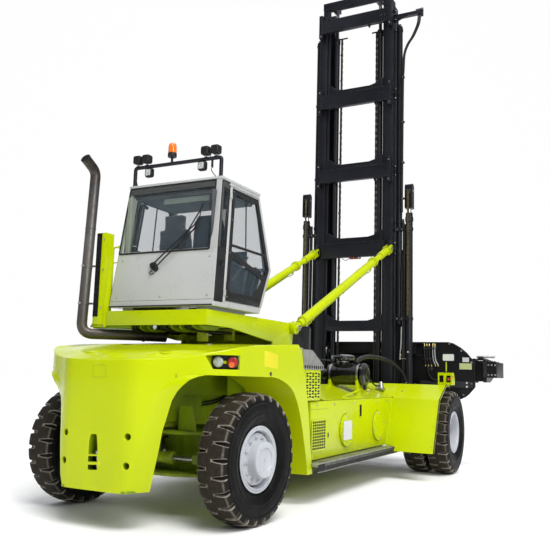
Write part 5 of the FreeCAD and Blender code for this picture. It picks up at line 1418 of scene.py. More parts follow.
# deep ribbed side of the board, and the end pieces under tank and fender
K.box(1.400, 4.700, -1.3440, -1.3400, 0.402, 0.500, RUBBER, 0.001)
for i in range(82):
    x = 1.405 + i * 0.0402
    K.box(x, x + 0.016, -1.3500, -1.3435, 0.405, 0.500, RIBS, 0.001)
K.box(1.395, 4.705, -1.3520, -1.3420, 0.4965, 0.5085, GALV, 0.001)
K.box(1.395, 4.705, -1.3520, -1.3420, 0.3980, 0.4060, GALV, 0.001)
K.box(1.395, 1.625, -1.3425, -1.215, 0.470, 0.5050, GALV, 0.002)
K.perf((1.400, -1.338, 0.5055), (0.220, 0, 0), (0, 0.120, 0), 6, 4, (0.56, 0.56), GALV, 0.0005, kind="round", jog=0.14)
for x in (1.80, 2.60, 3.40, 4.15):
    K.prism([(-1.330, 0.455), (-1.060, 0.455), (-1.060, 0.400), (-1.120, 0.400)], "x", x, x + 0.012, LIME_SHADE_AND_SEAM, 0.002)
    K.bolt((x + 0.03, -1.29, 0.5095), (0, 0, 1), 0.008, STEEL, 0.006)
K.mirror_y()
K.done("running_board_details", "chassis", "galvanised")

# ---------------------------------------------------------------- front fenders and their stands
dress("front_fenders", LIME, bevel=0.003, seg=2, angle=24)
K = Kit()
# stiffening lip, bolts and rubber edge of the fender
K.pipe([(4.286, -1.977, 0.432), (4.652, -1.977, 1.243), (5.088, -1.977, 1.4745), (5.330, -1.977, 1.4745)], 0.0075, RUBBER, n=8, bend=0.02, k=3)
K.pipe([(4.286, -1.203, 0.432), (4.652, -1.203, 1.243)], 0.0065, LIME, n=8, smooth=False)
for t in (0.12, 0.50, 0.88):
    x, z = 4.290 + (4.655 - 4.290) * t, 0.430 + (1.240 - 0.430) * t
    for y in (-1.245, -1.930):
        K.bolt((x - 0.001, y, z), (-0.912, 0, 0.411), 0.009, LIME, 0.007)
K.bolt((5.10, -1.45, 1.4725), (0, 0, 1), 0.011, STEEL, 0.008)
K.bolt((4.864, -1.30, 1.351), (-0.485, 0, 0.875), 0.010, STEEL, 0.008)
K.box(5.305, 5.330, -1.975, -1.22, 1.405, 1.441, RUBBER, 0.003)
K.mirror_y()
K.done("front_fender_details", "chassis", "lime_paint")

K = Kit()
# lamp bracket: bent sheet with windows, a black sheet behind them as painted shade, lamps, mirror on a stalk
X0, X1, Y0_, Y1_ = 5.110, 5.300, -2.065, -1.830
K.box(X0, X1, Y0_, Y1_, 1.473, 1.481, LIME, 0.002)
K.prism([(X0, 1.481), (X1, 1.481), (X1, 1.560), (X1 - 0.05, 1.675), (X0, 1.675)], "y", Y1_ - 0.010, Y1_, LIME, 0.002)
K.box(X0, X1 - 0.05, Y0_, Y1_, 1.664, 1.675, LIME, 0.002)
K.perf((X0 + 0.003, Y1_, 1.481), (0, -0.235, 0), (0, 0, 0.183), 2, 1, (0.60, 0.62), LIME, 0.010)
K.put([(X0 + 0.026, Y1_, 1.481), (X0 + 0.026, Y0_, 1.481), (X0 + 0.026, Y0_, 1.664), (X0 + 0.026, Y1_, 1.664)], [[0, 1, 2, 3]], SHADE_AND_SCREEN_BLACK)
K.prism([(X0, 1.481), (X1, 1.481), (X1, 1.560), (X1 - 0.05, 1.664), (X0, 1.664)], "y", Y0_, Y0_ + 0.008, LIME, 0.002)
K.box(X0 - 0.001, X0 + 0.014, Y0_ + 0.03, Y0_ + 0.095, 1.535, 1.600, RUBBER, 0.006)
K.lathe([(0, 0.010), (0.018, 0.009), (0.026, 0.004), (0.028, 0.0), (0, 0)], (X0 + 0.0, Y0_ + 0.062, 1.567), (-1, 0, 0), LENS_R, 24)
K.lathe([(0.034, 0), (0.034, 0.008), (0.029, 0.010), (0.029, 0.0)], (X0 + 0.001, Y0_ + 0.062, 1.567), (-1, 0, 0), PLAST, 24)
K.lathe([(0, 0.006), (0.022, 0.004), (0.026, 0.0), (0, 0)], (X0 + 0.06, Y0_ + 0.0005, 1.60), (0, -1, 0), LENS_O, 20)
for x, y in ((5.13, -1.85), (5.28, -1.85), (5.13, -2.045), (5.28, -2.045)):
    K.bolt((x, y, 1.481), (0, 0, 1), 0.0085, STEEL, 0.006)
K.rod((5.130, -1.965, 1.640), (5.130, -1.965, 1.880), 0.0105, LIME, 12)
K.rod((5.130, -1.965, 1.675), (5.130, -1.965, 1.695), 0.0165, PLAST, 14)
K.rod((5.130, -1.965, 1.850), (5.130, -1.965, 1.874), 0.0155, PLAST, 14)
mir = rounded([(-2.107, 1.862), (-1.903, 1.862), (-1.903, 1.988), (-2.107, 1.988)], 0.030, 5)
MI = lambda u, v, h: (5.130 - h, u, v)
patch(K, mir, MI, -0.010, 0.0115, PLAST, 0.006)
patch(K, mir, lambda u, v, h: (5.128 + h, u, v), 0.0, 0.015, PLAST, 0.006)
patch(K, inset2(mir, 0.010), MI, 0.010, 0.0135, MIRROR, 0.0006)
K.pipe([(5.17, -1.84, 1.50), (5.16, -1.90, 1.55), (5.14, -1.95, 1.62), (5.128, -1.978, 1.70), (5.128, -1.978, 1.84)], 0.0035, HOSE, n=6)
K.mirror_y()
K.done("marker_stand_assembly", "chassis", "lime_paint", "marker_stands")


# ---------------------------------------------------------------- cab
def cabw(z):
    return 0.735 + (0.665 - 0.735) * (z - 2.3) / 1.53


def cabx(z, x0):
    return x0 + (z - 2.3) * 0.135


def cabf(z):
    """front of the cab at height z"""
    if z <= 2.88:
        return 0.925 + (1.235 - 0.925) * (z - 2.3) / 0.58
    return 1.235 + (0.945 - 1.235) * (z - 2.88) / 0.95


REARF = lambda u, v, h: (cabx(v, -0.145) - h, u, v)
SIDEF = lambda u, v, h: (u, -(cabw(v) + h), v)

dress("cab_frame", CAB, bevel=0.008, seg=2)
dress("cab_rear_wall", CAB, bevel=0.010, seg=3)
dress("cab_floor", CAB, bevel=0.010, seg=2)
dress("cab_roof", CAB, bevel=0.030, seg=4, angle=40)
dress("cab_glass", GLASS, bevel=0)
dress("door_glass_right", GLASS, bevel=0)
dress("door_glass_left", GLASS, bevel=0)
dress("door_right", PLAST, bevel=0.005)
dress("door_left", PLAST, bevel=0.005)

K = Kit()
# rear window seal, outside and in
win = rounded([(0.704, 2.946), (0.668, 3.806), (-0.600, 3.806), (-0.612, 2.946)], 0.030, 5)
band(K, win, 0.024, REARF, -0.004, 0.0085, RUBBER, 0.004)
# dark upper strip of the screen, glazed corner on the left, white post on the right
patch(K, [(0.650, 3.700), (0.650, 3.800), (-0.592, 3.800), (-0.592, 3.700)], REARF, 0.0, 0.0035, GLASS_D, 0.001)
patch(K, [(0.6515, 2.968), (0.6155, 3.710), (0.6500, 3.710), (0.684, 2.968)], REARF, 0.0, 0.0035, LINING, 0.001)
patch(K, [(-0.598, 2.960), (-0.588, 3.800), (-0.6655, 3.800), (-0.704, 2.960)], REARF, 0.0, 0.0030, CAB, 0.001)
patch(K, [(0.668, 2.930), (0.668, 2.9655), (-0.690, 2.9655), (-0.690, 2.930)], REARF, 0.0, 0.0015, CAB, 0.0005)
# lower rear panel: screws; the outline pan for its pressed outline is worked out but not drawn
pan = rounded([(0.688, 2.352), (0.668, 2.905), (-0.668, 2.905), (-0.688, 2.352)], 0.04, 5)
for y, z in ((0.640, 2.42), (-0.640, 2.42), (0.622, 2.87), (-0.622, 2.87), (0.0, 2.42)):
    K.bolt(REARF(y, z, 0.0), (-1, 0, 0.135), 0.0075, STEEL, 0.005)
# rear bottom edge trim
K.pipe([REARF(0.722, 2.312, 0.004), REARF(-0.722, 2.312, 0.004)], 0.008, RUBBER, n=8, smooth=False)
# rear screen wiper: two arms side by side on a pivot, blade against the glass
P0 = REARF(0.148, 2.790, 0.0)
K.lathe([(0, 0), (0.046, 0), (0.046, 0.014), (0.034, 0.024), (0.028, 0.046), (0, 0.052)], P0, (-1, 0, 0.135), PLAST, 22)
P1 = REARF(0.108, 2.752, 0.0)
K.lathe([(0, 0), (0.036, 0), (0.036, 0.012), (0.024, 0.030), (0, 0.034)], P1, (-1, 0, 0.135), PLAST, 18)
tip = REARF(-0.408, 3.270, 0.038)
for o, q in (((0.148, 2.790), (-0.398, 3.262)), ((0.108, 2.752), (-0.418, 3.222))):
    K.pipe([REARF(o[0], o[1], 0.034), REARF(o[0] * 0.75 + q[0] * 0.25, o[1] * 0.75 + q[1] * 0.25, 0.046), REARF(o[0] * 0.3 + q[0] * 0.7, o[1] * 0.3 + q[1] * 0.7, 0.044), REARF(q[0], q[1], 0.036)], 0.0085, PLAST, n=8)
K.box(tip[0] - 0.008, tip[0] + 0.010, -0.424, -0.390, 3.205, 3.285, PLAST, 0.003)
K.pipe([REARF(-0.158, 2.990, 0.026), REARF(-0.400, 3.240, 0.024), REARF(-0.452, 3.492, 0.026)], 0.0065, PLAST, n=6)
bl = [REARF(-0.165 - 0.30 * t, 2.985 + 0.515 * t, 0.012) for t in (0.0, 0.25, 0.5, 0.75, 1.0)]
K.pipe(bl, 0.008, RUBBER, n=6, flat=(0.014, 0.006))
K.pipe([REARF(0.145, 2.755, 0.01), REARF(0.178, 2.705, 0.02), REARF(0.160, 2.685, 0.022), REARF(0.128, 2.700, 0.008)], 0.0065, HOSE, n=6)
K.done("cab_rear_trim", "chassis", "cab_white")

K = Kit()
# quarter panel: black lower cover with a grab hole, a black disc in it as painted shade, seal round the light
q0, q1 = 2.335, 3.792
quad = [(cabx(q0, -0.138), q0), (cabx(q0, 0.044), q0), (cabx(q1, 0.044), q1), (cabx(q1, -0.138), q1)]
patch(K, rounded(quad, 0.02, 4), SIDEF, -0.002, 0.0035, GLASS_D, 0.001)
band(K, rounded(quad, 0.02, 4), 0.013, SIDEF, -0.002, 0.006, RUBBER, 0.002)
low = [(cabx(q0, -0.132), q0 + 0.006), (cabx(q0, 0.038), q0 + 0.006), (cabx(2.985, 0.038), 2.985), (cabx(2.985, -0.132), 2.985)]
patch(K, rounded(low, 0.015, 4), SIDEF, -0.002, 0.0055, PLAST, 0.002)
# white post in front of the panel
patch(K, [(cabx(2.345, 0.047), 2.345), (cabx(3.785, 0.047), 3.785), (cabx(3.785, 0.066), 3.785), (cabx(2.345, 0.066), 2.345)], SIDEF, -0.001, 0.003, CAB, 0.001)
gx = cabx(2.80, -0.046)
K.lathe([(0.040, 0.0), (0.040, 0.006), (0.034, 0.009), (0.029, 0.004), (0.029, -0.001)], SIDEF(gx, 2.80, 0.005), (0, -1, 0), PLAST, 26)
K.lathe([(0, 0.0), (0.030, 0.0), (0.030, -0.002)], SIDEF(gx, 2.80, 0.0072), (0, -1, 0), SHADE_AND_SCREEN_BLACK, 24)
# door post strip with hinge blocks
K.slab([SIDEF(cabx(2.36, 0.062), 2.36, 0.006), SIDEF(cabx(2.36, 0.092), 2.36, 0.006), SIDEF(cabx(3.76, 0.092), 3.76, 0.006), SIDEF(cabx(3.76, 0.062), 3.76, 0.006)], 0.008, CAB, 0.002)
for z in (2.47, 3.63):
    x = cabx(z, 0.068)
    K.box(x - 0.024, x + 0.016, -(cabw(z) + 0.020), -(cabw(z) - 0.002), z - 0.036, z + 0.036, CAB, 0.004)
    for dz in (-0.018, 0.018):
        K.bolt((x - 0.008, -(cabw(z) + 0.020), z + dz), (0, -1, 0), 0.0058, STEEL, 0.003)
# sill below the door
K.prism([(-(cabw(2.34) + 0.012), 2.303), (-(cabw(2.34) - 0.03), 2.303), (-(cabw(2.34) - 0.03), 2.352), (-(cabw(2.34) + 0.006), 2.352)], "x", -0.130, 0.905, CAB, 0.003)
# rain gutter over the door
K.pipe([(cabx(3.765, 0.02), -(cabw(3.765) + 0.008), 3.765), (cabf(3.765) - 0.03, -(cabw(3.765) + 0.008), 3.765)], 0.010, CAB, n=8, smooth=False)
K.mirror_y()
K.done("cab_side_trim", "chassis", "cab_white")

K = Kit()
# roof: raised middle panel
K.box(0.16, 0.84, -0.50, 0.50, 3.824, 3.8295, CAB, 0.004)
K.done("cab_roof_trim", "chassis", "cab_white")

# ---------------------------------------------------------------- doors
for side, nm in ((-1, "right"), (1, "left")):
    K = Kit()
    # door seal round the glass, mid bar, handle, grab and cushion of the arm rest
    xr = lambda z: cabx(z, 0.110) + 0.045
    xf = lambda z: cabf(z) - 0.052 - 0.055
    zt = 3.685
    hole = [(xr(2.48), 2.48), (xf(2.48), 2.48), (xf(2.88), 2.88), (xf(zt), zt), (xr(zt), zt)]
    band(K, rounded(hole, 0.03, 4), 0.014, SIDEF, -0.004, 0.0045, RUBBER, 0.0015)
    K.slab([SIDEF(xr(3.045) - 0.01, 3.030, 0.003), SIDEF(xf(3.045) + 0.01, 3.030, 0.003), SIDEF(xf(3.045) + 0.01, 3.062, 0.003), SIDEF(xr(3.045) - 0.01, 3.062, 0.003)], 0.008, PLAST, 0.002)
    K.slab([SIDEF(0.583, 3.05, 0.002), SIDEF(0.607, 3.05, 0.002), SIDEF(0.628, 3.70, 0.002), SIDEF(0.604, 3.70, 0.002)], 0.006, PLAST, 0.002)
    # broad slanting bar and the dark lower front of the door
    K.slab([SIDEF(xr(2.95) - 0.012, 2.915, 0.003), SIDEF(xf(2.74) + 0.012, 2.705, 0.003), SIDEF(xf(2.76) + 0.012, 2.775, 0.003), SIDEF(xr(2.98) - 0.012, 2.985, 0.003)], 0.008, PLAST, 0.002)
    K.slab([SIDEF(xf(2.48) - 0.17, 2.47, 0.003), SIDEF(xf(2.48) + 0.008, 2.47, 0.003), SIDEF(xf(2.74) + 0.008, 2.74, 0.003), SIDEF(xf(2.74) - 0.035, 2.74, 0.003)], 0.008, PLAST, 0.002)
    # outside handle with its cup
    hx = cabf(2.83) - 0.115
    K.lathe([(0, 0), (0.034, 0), (0.034, 0.008), (0.026, 0.014), (0.018, 0.008), (0, 0.008)], SIDEF(hx, 2.83, -0.001), (0, -1, 0), PLAST, 24)
    K.pipe([SIDEF(hx, 2.83, 0.008), SIDEF(hx, 2.83, 0.022), SIDEF(hx + 0.01, 2.89, 0.024), SIDEF(hx + 0.012, 2.93, 0.006)], 0.0075, PLAST, n=8)
    # small lock at the rear edge
    K.slab([SIDEF(0.205, 2.80, 0.006), SIDEF(0.245, 2.80, 0.006), SIDEF(0.250, 2.86, 0.006), SIDEF(0.210, 2.86, 0.006)], 0.008, BLACK, 0.002)
    # inner grab rail along the door
    K.pipe([(0.42, -(cabw(2.75) - 0.040), 2.62), (0.42, -(cabw(2.75) - 0.075), 2.66), (0.72, -(cabw(2.9) - 0.075), 2.94), (0.72, -(cabw(2.9) - 0.040), 2.98)], 0.010, GREYTRIM, n=10, bend=0.03)
    K.slab([SIDEF(0.36, 2.44, -0.034), SIDEF(0.82, 2.44, -0.034), SIDEF(0.82, 2.475, -0.034), SIDEF(0.36, 2.475, -0.034)], 0.02, GREYTRIM, 0.004)
    # screws of the frame
    for z in (2.43, 2.95, 3.35, 3.70):
        K.bolt(SIDEF(cabx(z, 0.110) + 0.024, z, 0.002), (0, -1, 0), 0.0055, STEEL, 0.003)
    if side > 0:
        K.v = [(x, -y, z) for x, y, z in K.v]
        K.f = [list(reversed(f)) for f in K.f]
    K.done("door_trim_" + nm, "door_" + nm, "black_plastic")

# ---------------------------------------------------------------- inside the cab
K = Kit()
# headliner, mats, pillar linings
K.box(0.065, 0.905, -0.600, 0.600, 3.655, 3.700, GREYTRIM, 0.010)
K.box(0.060, 0.075, -0.560, 0.560, 3.640, 3.680, GREYTRIM, 0.004)
K.box(-0.07, 0.90, -0.640, 0.640, 2.376, 2.384, RUBBER, 0.002)
for s in (1, -1):
    K.prism([(s * 0.560, 2.40), (s * 0.640, 2.40), (s * 0.618, 3.66), (s * 0.560, 3.66)] if s > 0 else [(-0.640, 2.40), (-0.600, 2.40), (-0.590, 3.66), (-0.618, 3.66)], "x", -0.040, 0.050, LINING if s > 0 else GREYTRIM, 0.010)
# pale sun band behind the glass at the top
K.box(0.075, 0.080, -0.49, 0.16, 3.560, 3.625, LINING, 0.001)
# air duct tube on the left
K.pipe([(0.16, 0.475, 3.56), (0.08, 0.480, 3.575), (0.045, 0.490, 3.50), (-0.005, 0.500, 3.10), (-0.045, 0.505, 2.80), (-0.055, 0.505, 2.55)], 0.021, HOSE, n=12)
K.ring((-0.012, 0.499, 3.05), (0.12, -0.02, 1), 0.0215, 0.005, STEEL, 20, 6)
# right console with switches and levers
K.prism([(0.00, 2.385), (0.72, 2.385), (0.78, 2.86), (0.40, 2.90), (0.02, 2.86)], "y", -0.595, -0.300, PLAST, 0.020)
K.prism([(0.03, 2.86), (0.07, 3.30), (0.12, 3.39), (0.22, 3.38), (0.30, 3.24), (0.28, 2.86)], "y", -0.595, -0.290, PLAST, 0.022)
K.rod((0.12, -0.500, 3.37), (0.13, -0.505, 3.52), 0.004, PLAST, 8)
K.rod((0.40, -0.44, 2.89), (0.42, -0.44, 3.02), 0.012, PLAST, 12)
K.lathe([(0, 0), (0.022, 0.006), (0.028, 0.03), (0.020, 0.055), (0, 0.062)], (0.42, -0.44, 3.01), (0.1, 0, 1), PLAST, 18)
for i in range(4):
    K.box(0.50 + 0.05 * i, 0.53 + 0.05 * i, -0.45, -0.40, 2.885, 2.905, BLACK, 0.003)
# left side cupboard, filter box
K.box(-0.03, 0.22, 0.330, 0.560, 2.385, 2.78, GREYTRIM, 0.020)
K.box(0.00, 0.18, 0.360, 0.540, 2.78, 2.795, LINING, 0.004)
# heater box under the windscreen, display
K.prism([(0.90, 2.385), (0.93, 2.385), (1.14, 2.82), (1.00, 2.86), (0.88, 2.60)], "y", -0.52, 0.52, GREYTRIM, 0.015)
K.prism([(0.86, 2.385), (0.93, 2.385), (1.150, 2.860), (1.020, 2.900), (0.900, 2.620)], "y", -0.630, -0.290, PLAST, 0.015)
K.box(0.96, 0.985, -0.50, -0.26, 2.92, 3.10, PLAST, 0.008)
K.put([(0.9585, -0.48, 2.94), (0.9585, -0.28, 2.94), (0.9585, -0.28, 3.08), (0.9585, -0.48, 3.08)], [[3, 2, 1, 0]], SHADE_AND_SCREEN_BLACK)
K.rod((0.985, -0.38, 2.86), (0.985, -0.38, 2.94), 0.009, PLAST, 10)
# foot pedals
for y in (-0.13, 0.13):
    K.slab([(0.80, y - 0.04, 2.42), (0.80, y + 0.04, 2.42), (0.90, y + 0.04, 2.50), (0.90, y - 0.04, 2.50)], 0.012, RUBBER, 0.003)
K.done("cab_interior", "chassis", "black_plastic")

K = Kit()
# steering wheel, column and cowl
tilt = Matrix.Translation((0.715, 0.0, 3.00)) @ Matrix.Rotation(math.radians(-20), 4, "Y")
K.at(tilt)
K.ring((0, 0, 0), (0, 0, 1), 0.1885, 0.0140, PLAST, 44, 12)
for a in (0, 120, 240):
    a = math.radians(a + 180)
    K.pipe([(0.02 * math.cos(a), 0.02 * math.sin(a), -0.012), (0.10 * math.cos(a), 0.10 * math.sin(a), -0.012), (0.180 * math.cos(a), 0.180 * math.sin(a), 0.0)], 0.009, PLAST, n=8, flat=(0.005, 0.013))
K.lathe([(0, 0.014), (0.026, 0.013), (0.036, 0.004), (0.036, -0.040), (0.028, -0.044), (0, -0.044)], (0, 0, 0), (0, 0, 1), PLAST, 26)
K.lathe([(0, 0.012), (0.012, 0.022), (0.016, 0.040), (0.010, 0.052), (0, 0.054)], (-0.12, 0.105, 0.004), (0, 0, 1), PLAST, 16)
K.at(None)
K.rod((0.760, 0, 2.590), (0.722, 0, 2.960), 0.0275, PLAST, 20)
K.lathe([(0.030, 0), (0.040, 0.02), (0.038, 0.12), (0.029, 0.15)], (0.730, 0, 2.80), (-0.08, 0, 1), PLAST, 20)
K.pipe([(0.728, -0.03, 2.905), (0.735, -0.10, 2.915), (0.742, -0.155, 2.93)], 0.006, PLAST, n=8)
K.pipe([(0.728, 0.03, 2.905), (0.735, 0.10, 2.915), (0.742, 0.155, 2.93)], 0.006, PLAST, n=8)
K.prism([(0.705, 2.384), (0.878, 2.384), (0.860, 2.560), (0.820, 2.598), (0.715, 2.598)], "y", -0.155, 0.155, GREYTRIM, 0.014)
K.done("steering_wheel_and_column", "chassis", "black_plastic", "steering_column")

# ---------------------------------------------------------------- roof bar, lamps, beacon
K = Kit()
bx = 0.10
K.pipe([(bx, 0.640, 3.832), (bx, 0.640, 4.070), (bx, -0.620, 4.070), (bx, -0.620, 3.832)], 0.0235, CHAR, n=12, bend=0.03, k=4)
for s in (1, -1):
    K.box(bx - 0.036, bx + 0.036, s * 0.620 - 0.030, s * 0.620 + 0.030, 3.826, 3.838, CHAR, 0.003)
    for dx in (-0.026, 0.026):
        K.bolt((bx + dx, s * 0.620, 3.838), (0, 0, 1), 0.006, STEEL, 0.004)
    K.prism([(bx + 0.005, 3.838), (bx + 0.036, 3.838), (bx + 0.005, 3.91)], "y", s * 0.620 - 0.003, s * 0.620 + 0.003, CHAR, 0.001)


def work_lamp(y, z, w, h, back=True, hang=False):
    """rounded black housing, ribs on the back, lens and bezel in front"""
    x0, x1 = (bx - 0.035, bx + 0.020) if hang else (bx - 0.055, bx + 0.035)
    sec = rounded([(-w, -h), (w, -h), (w, h), (-w, h)], 0.55 * w, 5)
    f = lambda u, v, t: (t, y + u, z + v)
    rings = [(inset2(sec, 0.014), x0), (inset2(sec, 0.004), x0 + 0.008), (sec, x0 + 0.020), (sec, x1 - 0.006), (inset2(sec, 0.003), x1)]
    K.loft([[f(q[0], q[1], t) for q in R] for R, t in rings], PLAST, caps=True)
    ls, xx, d = (x0 - 0.002, x0, -1) if hang else (x1 + 0.002, x1, 1)
    fl = lambda u, v, t: (xx + d * t, y + u, z + v)
    if hang:
        patch(K, inset2(sec, 0.018), fl, -0.004, 0.0015, LENS_W, 0.001)
        band(K, inset2(sec, 0.010), 0.009, fl, -0.002, 0.0025, PLAST, 0.001)
    else:
        patch(K, inset2(sec, 0.010), fl, -0.004, 0.0015, LENS_W, 0.001)
        for i in range(5):
            yy = y + (i - 2) * w * 0.36
            K.box(x0 - 0.0025, x0 + 0.012, yy - 0.002, yy + 0.002, z - h * 0.62, z + h * 0.62, PLAST, 0.0008)


for y in (0.600, 0.465, -0.405, -0.545):
    work_lamp(y, 4.168, 0.054, 0.054)
    K.rod((bx, y, 4.085), (bx, y, 4.118), 0.009, STEEL, 10)
    K.prism([(y - 0.022, 4.086), (y + 0.022, 4.086), (y + 0.022, 4.096), (y - 0.022, 4.096)], "x", bx - 0.014, bx + 0.014, CHAR, 0.002)
for y in (0.42, -0.36):
    work_lamp(y, 3.990, 0.056, 0.058, hang=True)
    K.rod((bx, y, 4.028), (bx, y, 4.056), 0.008, STEEL, 10)
K.rod((bx, 0.09, 4.083), (bx, 0.09, 4.155), 0.015, CHAR, 12)
K.lathe([(0, 0), (0.050, 0), (0.055, 0.008), (0.055, 0.048), (0.050, 0.056), (0, 0.056)], (bx, 0.09, 4.150), (0, 0, 1), PLAST, 28)
K.lathe([(0.050, 0.0), (0.0525, 0.008), (0.050, 0.085), (0.041, 0.112), (0.022, 0.126), (0, 0.128)], (bx, 0.09, 4.205), (0, 0, 1), LENS_B, 28)
# lead and small bracket at the right
K.box(bx - 0.018, bx + 0.018, -0.500, -0.488, 3.960, 4.056, CHAR, 0.002)
K.pipe([(bx, -0.494, 3.965), (bx - 0.02, -0.500, 3.920), (bx - 0.01, -0.530, 3.870), (bx, -0.560, 3.834)], 0.005, HOSE, n=6)
for y in (0.57, 0.46, -0.46, -0.57, 0.42, -0.36):
    K.pipe([(bx + 0.01, y, 4.115 if abs(y) > 0.43 else 4.03), (bx + 0.026, y + 0.02, 4.095 if abs(y) > 0.43 else 4.050), (bx + 0.020, y + 0.045, 4.082)], 0.0035, HOSE, n=6)
K.done("roof_lamp_bar", "chassis", "charcoal_paint", "roof_lamps")


# ---------------------------------------------------------------- tower, exhaust, handrail
def tower_pick(x, y, z, n):
    return 0


dress("cab_tower", LIME, bevel=0.007, seg=2)
dress("handrail", LIME, bevel=0)
# main frame in the darker lime: painted shade under the body
dress("main_frame", LIME_SHADE_AND_SEAM, bevel=0.005)
dress("air_cleaner_stand", LIME, bevel=0.004)


def engine_pick(x, y, z, n):
    return 1 if x > 1.90 and z > 1.255 else 0


dress("engine", CASTING, PLAST, pick=engine_pick, bevel=0.015, seg=3)

K = Kit()
# platform: underside plate with stiffeners, hoses and brackets, all in shade; plate and stiffeners in the darker lime
# as painted shade
K.box(-0.190, 1.275, -0.680, 0.680, 2.150, 2.158, LIME_SHADE_AND_SEAM, 0.002)
K.box(-0.185, 0.80, 0.10, 0.64, 2.088, 2.128, CASTING, 0.006)
K.box(-0.185, 0.60, -0.64, -0.18, 2.088, 2.120, CASTING, 0.006)
for y in (-0.52, -0.30, -0.08, 0.16, 0.40, 0.58):
    K.box(-0.19, 1.27, y - 0.006, y + 0.006, 2.100, 2.152, LIME_SHADE_AND_SEAM, 0.001)
for y0, y1, z0 in ((0.10, 0.22, 2.020), (-0.34, -0.22, 2.020), (-0.60, -0.50, 2.04)):
    K.prism([(-0.19, 2.09), (0.26, 2.09), (0.20, z0 + 0.02), (0.12, z0), (-0.10, z0), (-0.19, z0 + 0.03)], "y", y0, y0 + 0.010, LIME_SHADE_AND_SEAM, 0.002)
    K.prism([(-0.19, 2.09), (0.26, 2.09), (0.20, z0 + 0.02), (0.12, z0), (-0.10, z0), (-0.19, z0 + 0.03)], "y", y1 - 0.010, y1, LIME_SHADE_AND_SEAM, 0.002)
    K.bolt((0.03, y1, z0 + 0.035), (0, 1, 0), 0.010, STEEL, 0.007)
for i, (y, z) in enumerate(((-0.43, 2.045), (-0.39, 2.055), (-0.12, 2.050), (-0.06, 2.040), (0.00, 2.052), (0.30, 2.050), (0.35, 2.040))):
    K.pipe([(-0.16, y, 2.085), (-0.10, y + 0.01, z), (0.25, y - 0.02, z - 0.012), (0.70, y + 0.03, z + 0.004), (1.20, y, 2.07)], 0.012 if i % 2 else 0.016, HOSE, n=8)
# shelf over the pipe, between platform and heat shield, in the darker lime as painted shade
K.box(-0.185, 0.200, 0.350, 0.925, 2.054, 2.086, LIME_SHADE_AND_SEAM, 0.004)
# bolts through the platform edges
for y in (-0.60, -0.20, 0.20, 0.60):
    K.bolt((-0.2155, y, 2.235), (-1, 0, 0), 0.008, LIME, 0.006)
for x in (0.10, 0.50, 0.90, 1.55):
    for s in (1, -1):
        K.bolt((x, s * 0.7055, 2.232), (0, s, 0), 0.008, LIME, 0.006)
# cab mounts between platform and cab
for x in (0.03, 0.72):
    for s in (1, -1):
        K.lathe([(0, 0), (0.046, 0), (0.052, 0.012), (0.052, 0.028), (0.044, 0.036), (0, 0.036)], (x, s * 0.36, 2.2565), (0, 0, 1), RUBBER, 22)
# reversing lamp in its housing under the rear edge, its bracket in the darker lime as painted shade
K.lathe([(0, 0.0), (0.024, 0.0), (0.036, 0.020), (0.039, 0.060), (0.032, 0.066), (0.032, 0.056), (0, 0.056)], (-0.150, -0.010, 2.062), (-1, 0, 0), PLAST, 28)
K.lathe([(0, 0.012), (0.017, 0.010), (0.028, 0.003), (0.0315, 0.0), (0, 0)], (-0.2065, -0.010, 2.062), (-1, 0, 0), LENS_W, 26)
K.prism([(-0.035, 2.090), (0.015, 2.090), (0.015, 2.155), (-0.035, 2.155)], "x", -0.175, -0.168, LIME_SHADE_AND_SEAM, 0.001)
# caps, retaining plates and grease nipples of the tilt cylinder pins
for s in (1, -1):
    o = (1.885, s * 0.820, 2.194)
    K.lathe([(0, 0), (0.040, 0), (0.040, 0.006), (0.034, 0.010), (0, 0.010)], o, (0, s, 0), STEEL, 26)
    K.lathe([(0, 0), (0.006, 0), (0.006, 0.010), (0.003, 0.014), (0, 0.014)], (1.885, s * 0.830, 2.194), (0, s, 0), BRASS, 10)
    K.ring((1.885, s * 0.7115, 2.194), (0, 1, 0), 0.074, 0.006, LIME, 30, 6)
# front foot of the tower: gusset welds and bolts
for s in (1, -1):
    for x in (1.42, 1.60, 1.80):
        K.bolt((x, s * 0.655, 1.2825), (0, 0, 1), 0.014, STEEL, 0.010)
    K.prism([(1.345, 1.284), (1.44, 1.284), (1.345, 1.44)], "y", s * 0.672, s * 0.684, LIME, 0.002)
    K.pipe([(1.345, s * 0.707, 1.30), (1.345, s * 0.707, 1.98)], 0.004, LIME, n=6, smooth=False)
    K.pipe([(1.220, s * 0.7065, 1.990), (0.290, s * 0.7065, 2.089), (-0.210, s * 0.7065, 2.089)], 0.004, LIME, n=6, bend=0.05)
# eye for lifting on the platform front
K.box(1.70, 1.78, -0.655, -0.64, 2.256, 2.262, STEEL, 0.001)
K.done("tower_details", "chassis", "lime_paint")

K = Kit()
# heat shield: dark perforated outer strip, screws, flared foot
# the black perforated strip and the black sheet under it are painted shade for the shaded outer part of the shield
K.put([(-0.2432, 0.812, 2.190), (-0.2432, 0.890, 2.190), (-0.2432, 0.890, 3.195), (-0.2432, 0.812, 3.195)], [[0, 3, 2, 1]], SHADE_AND_SCREEN_BLACK)
K.perf((-0.2440, 0.890, 2.190), (0, -0.078, 0), (0, 0, 1.005), 4, 46, (0.55, 0.5), BLACK, 0.0008, kind="round")
K.prism([(0.800, 2.245), (0.935, 2.080), (0.935, 2.064), (0.700, 2.064), (0.700, 2.245)], "x", -0.222, -0.216, LIME, 0.002)
for y, z in ((0.905, 2.083), (0.745, 2.083), (0.770, 2.30), (0.770, 2.75), (0.770, 3.12)):
    K.bolt((-0.2445 if z > 2.2 else -0.2225, y, z), (-1, 0, 0), 0.008, STEEL, 0.005)
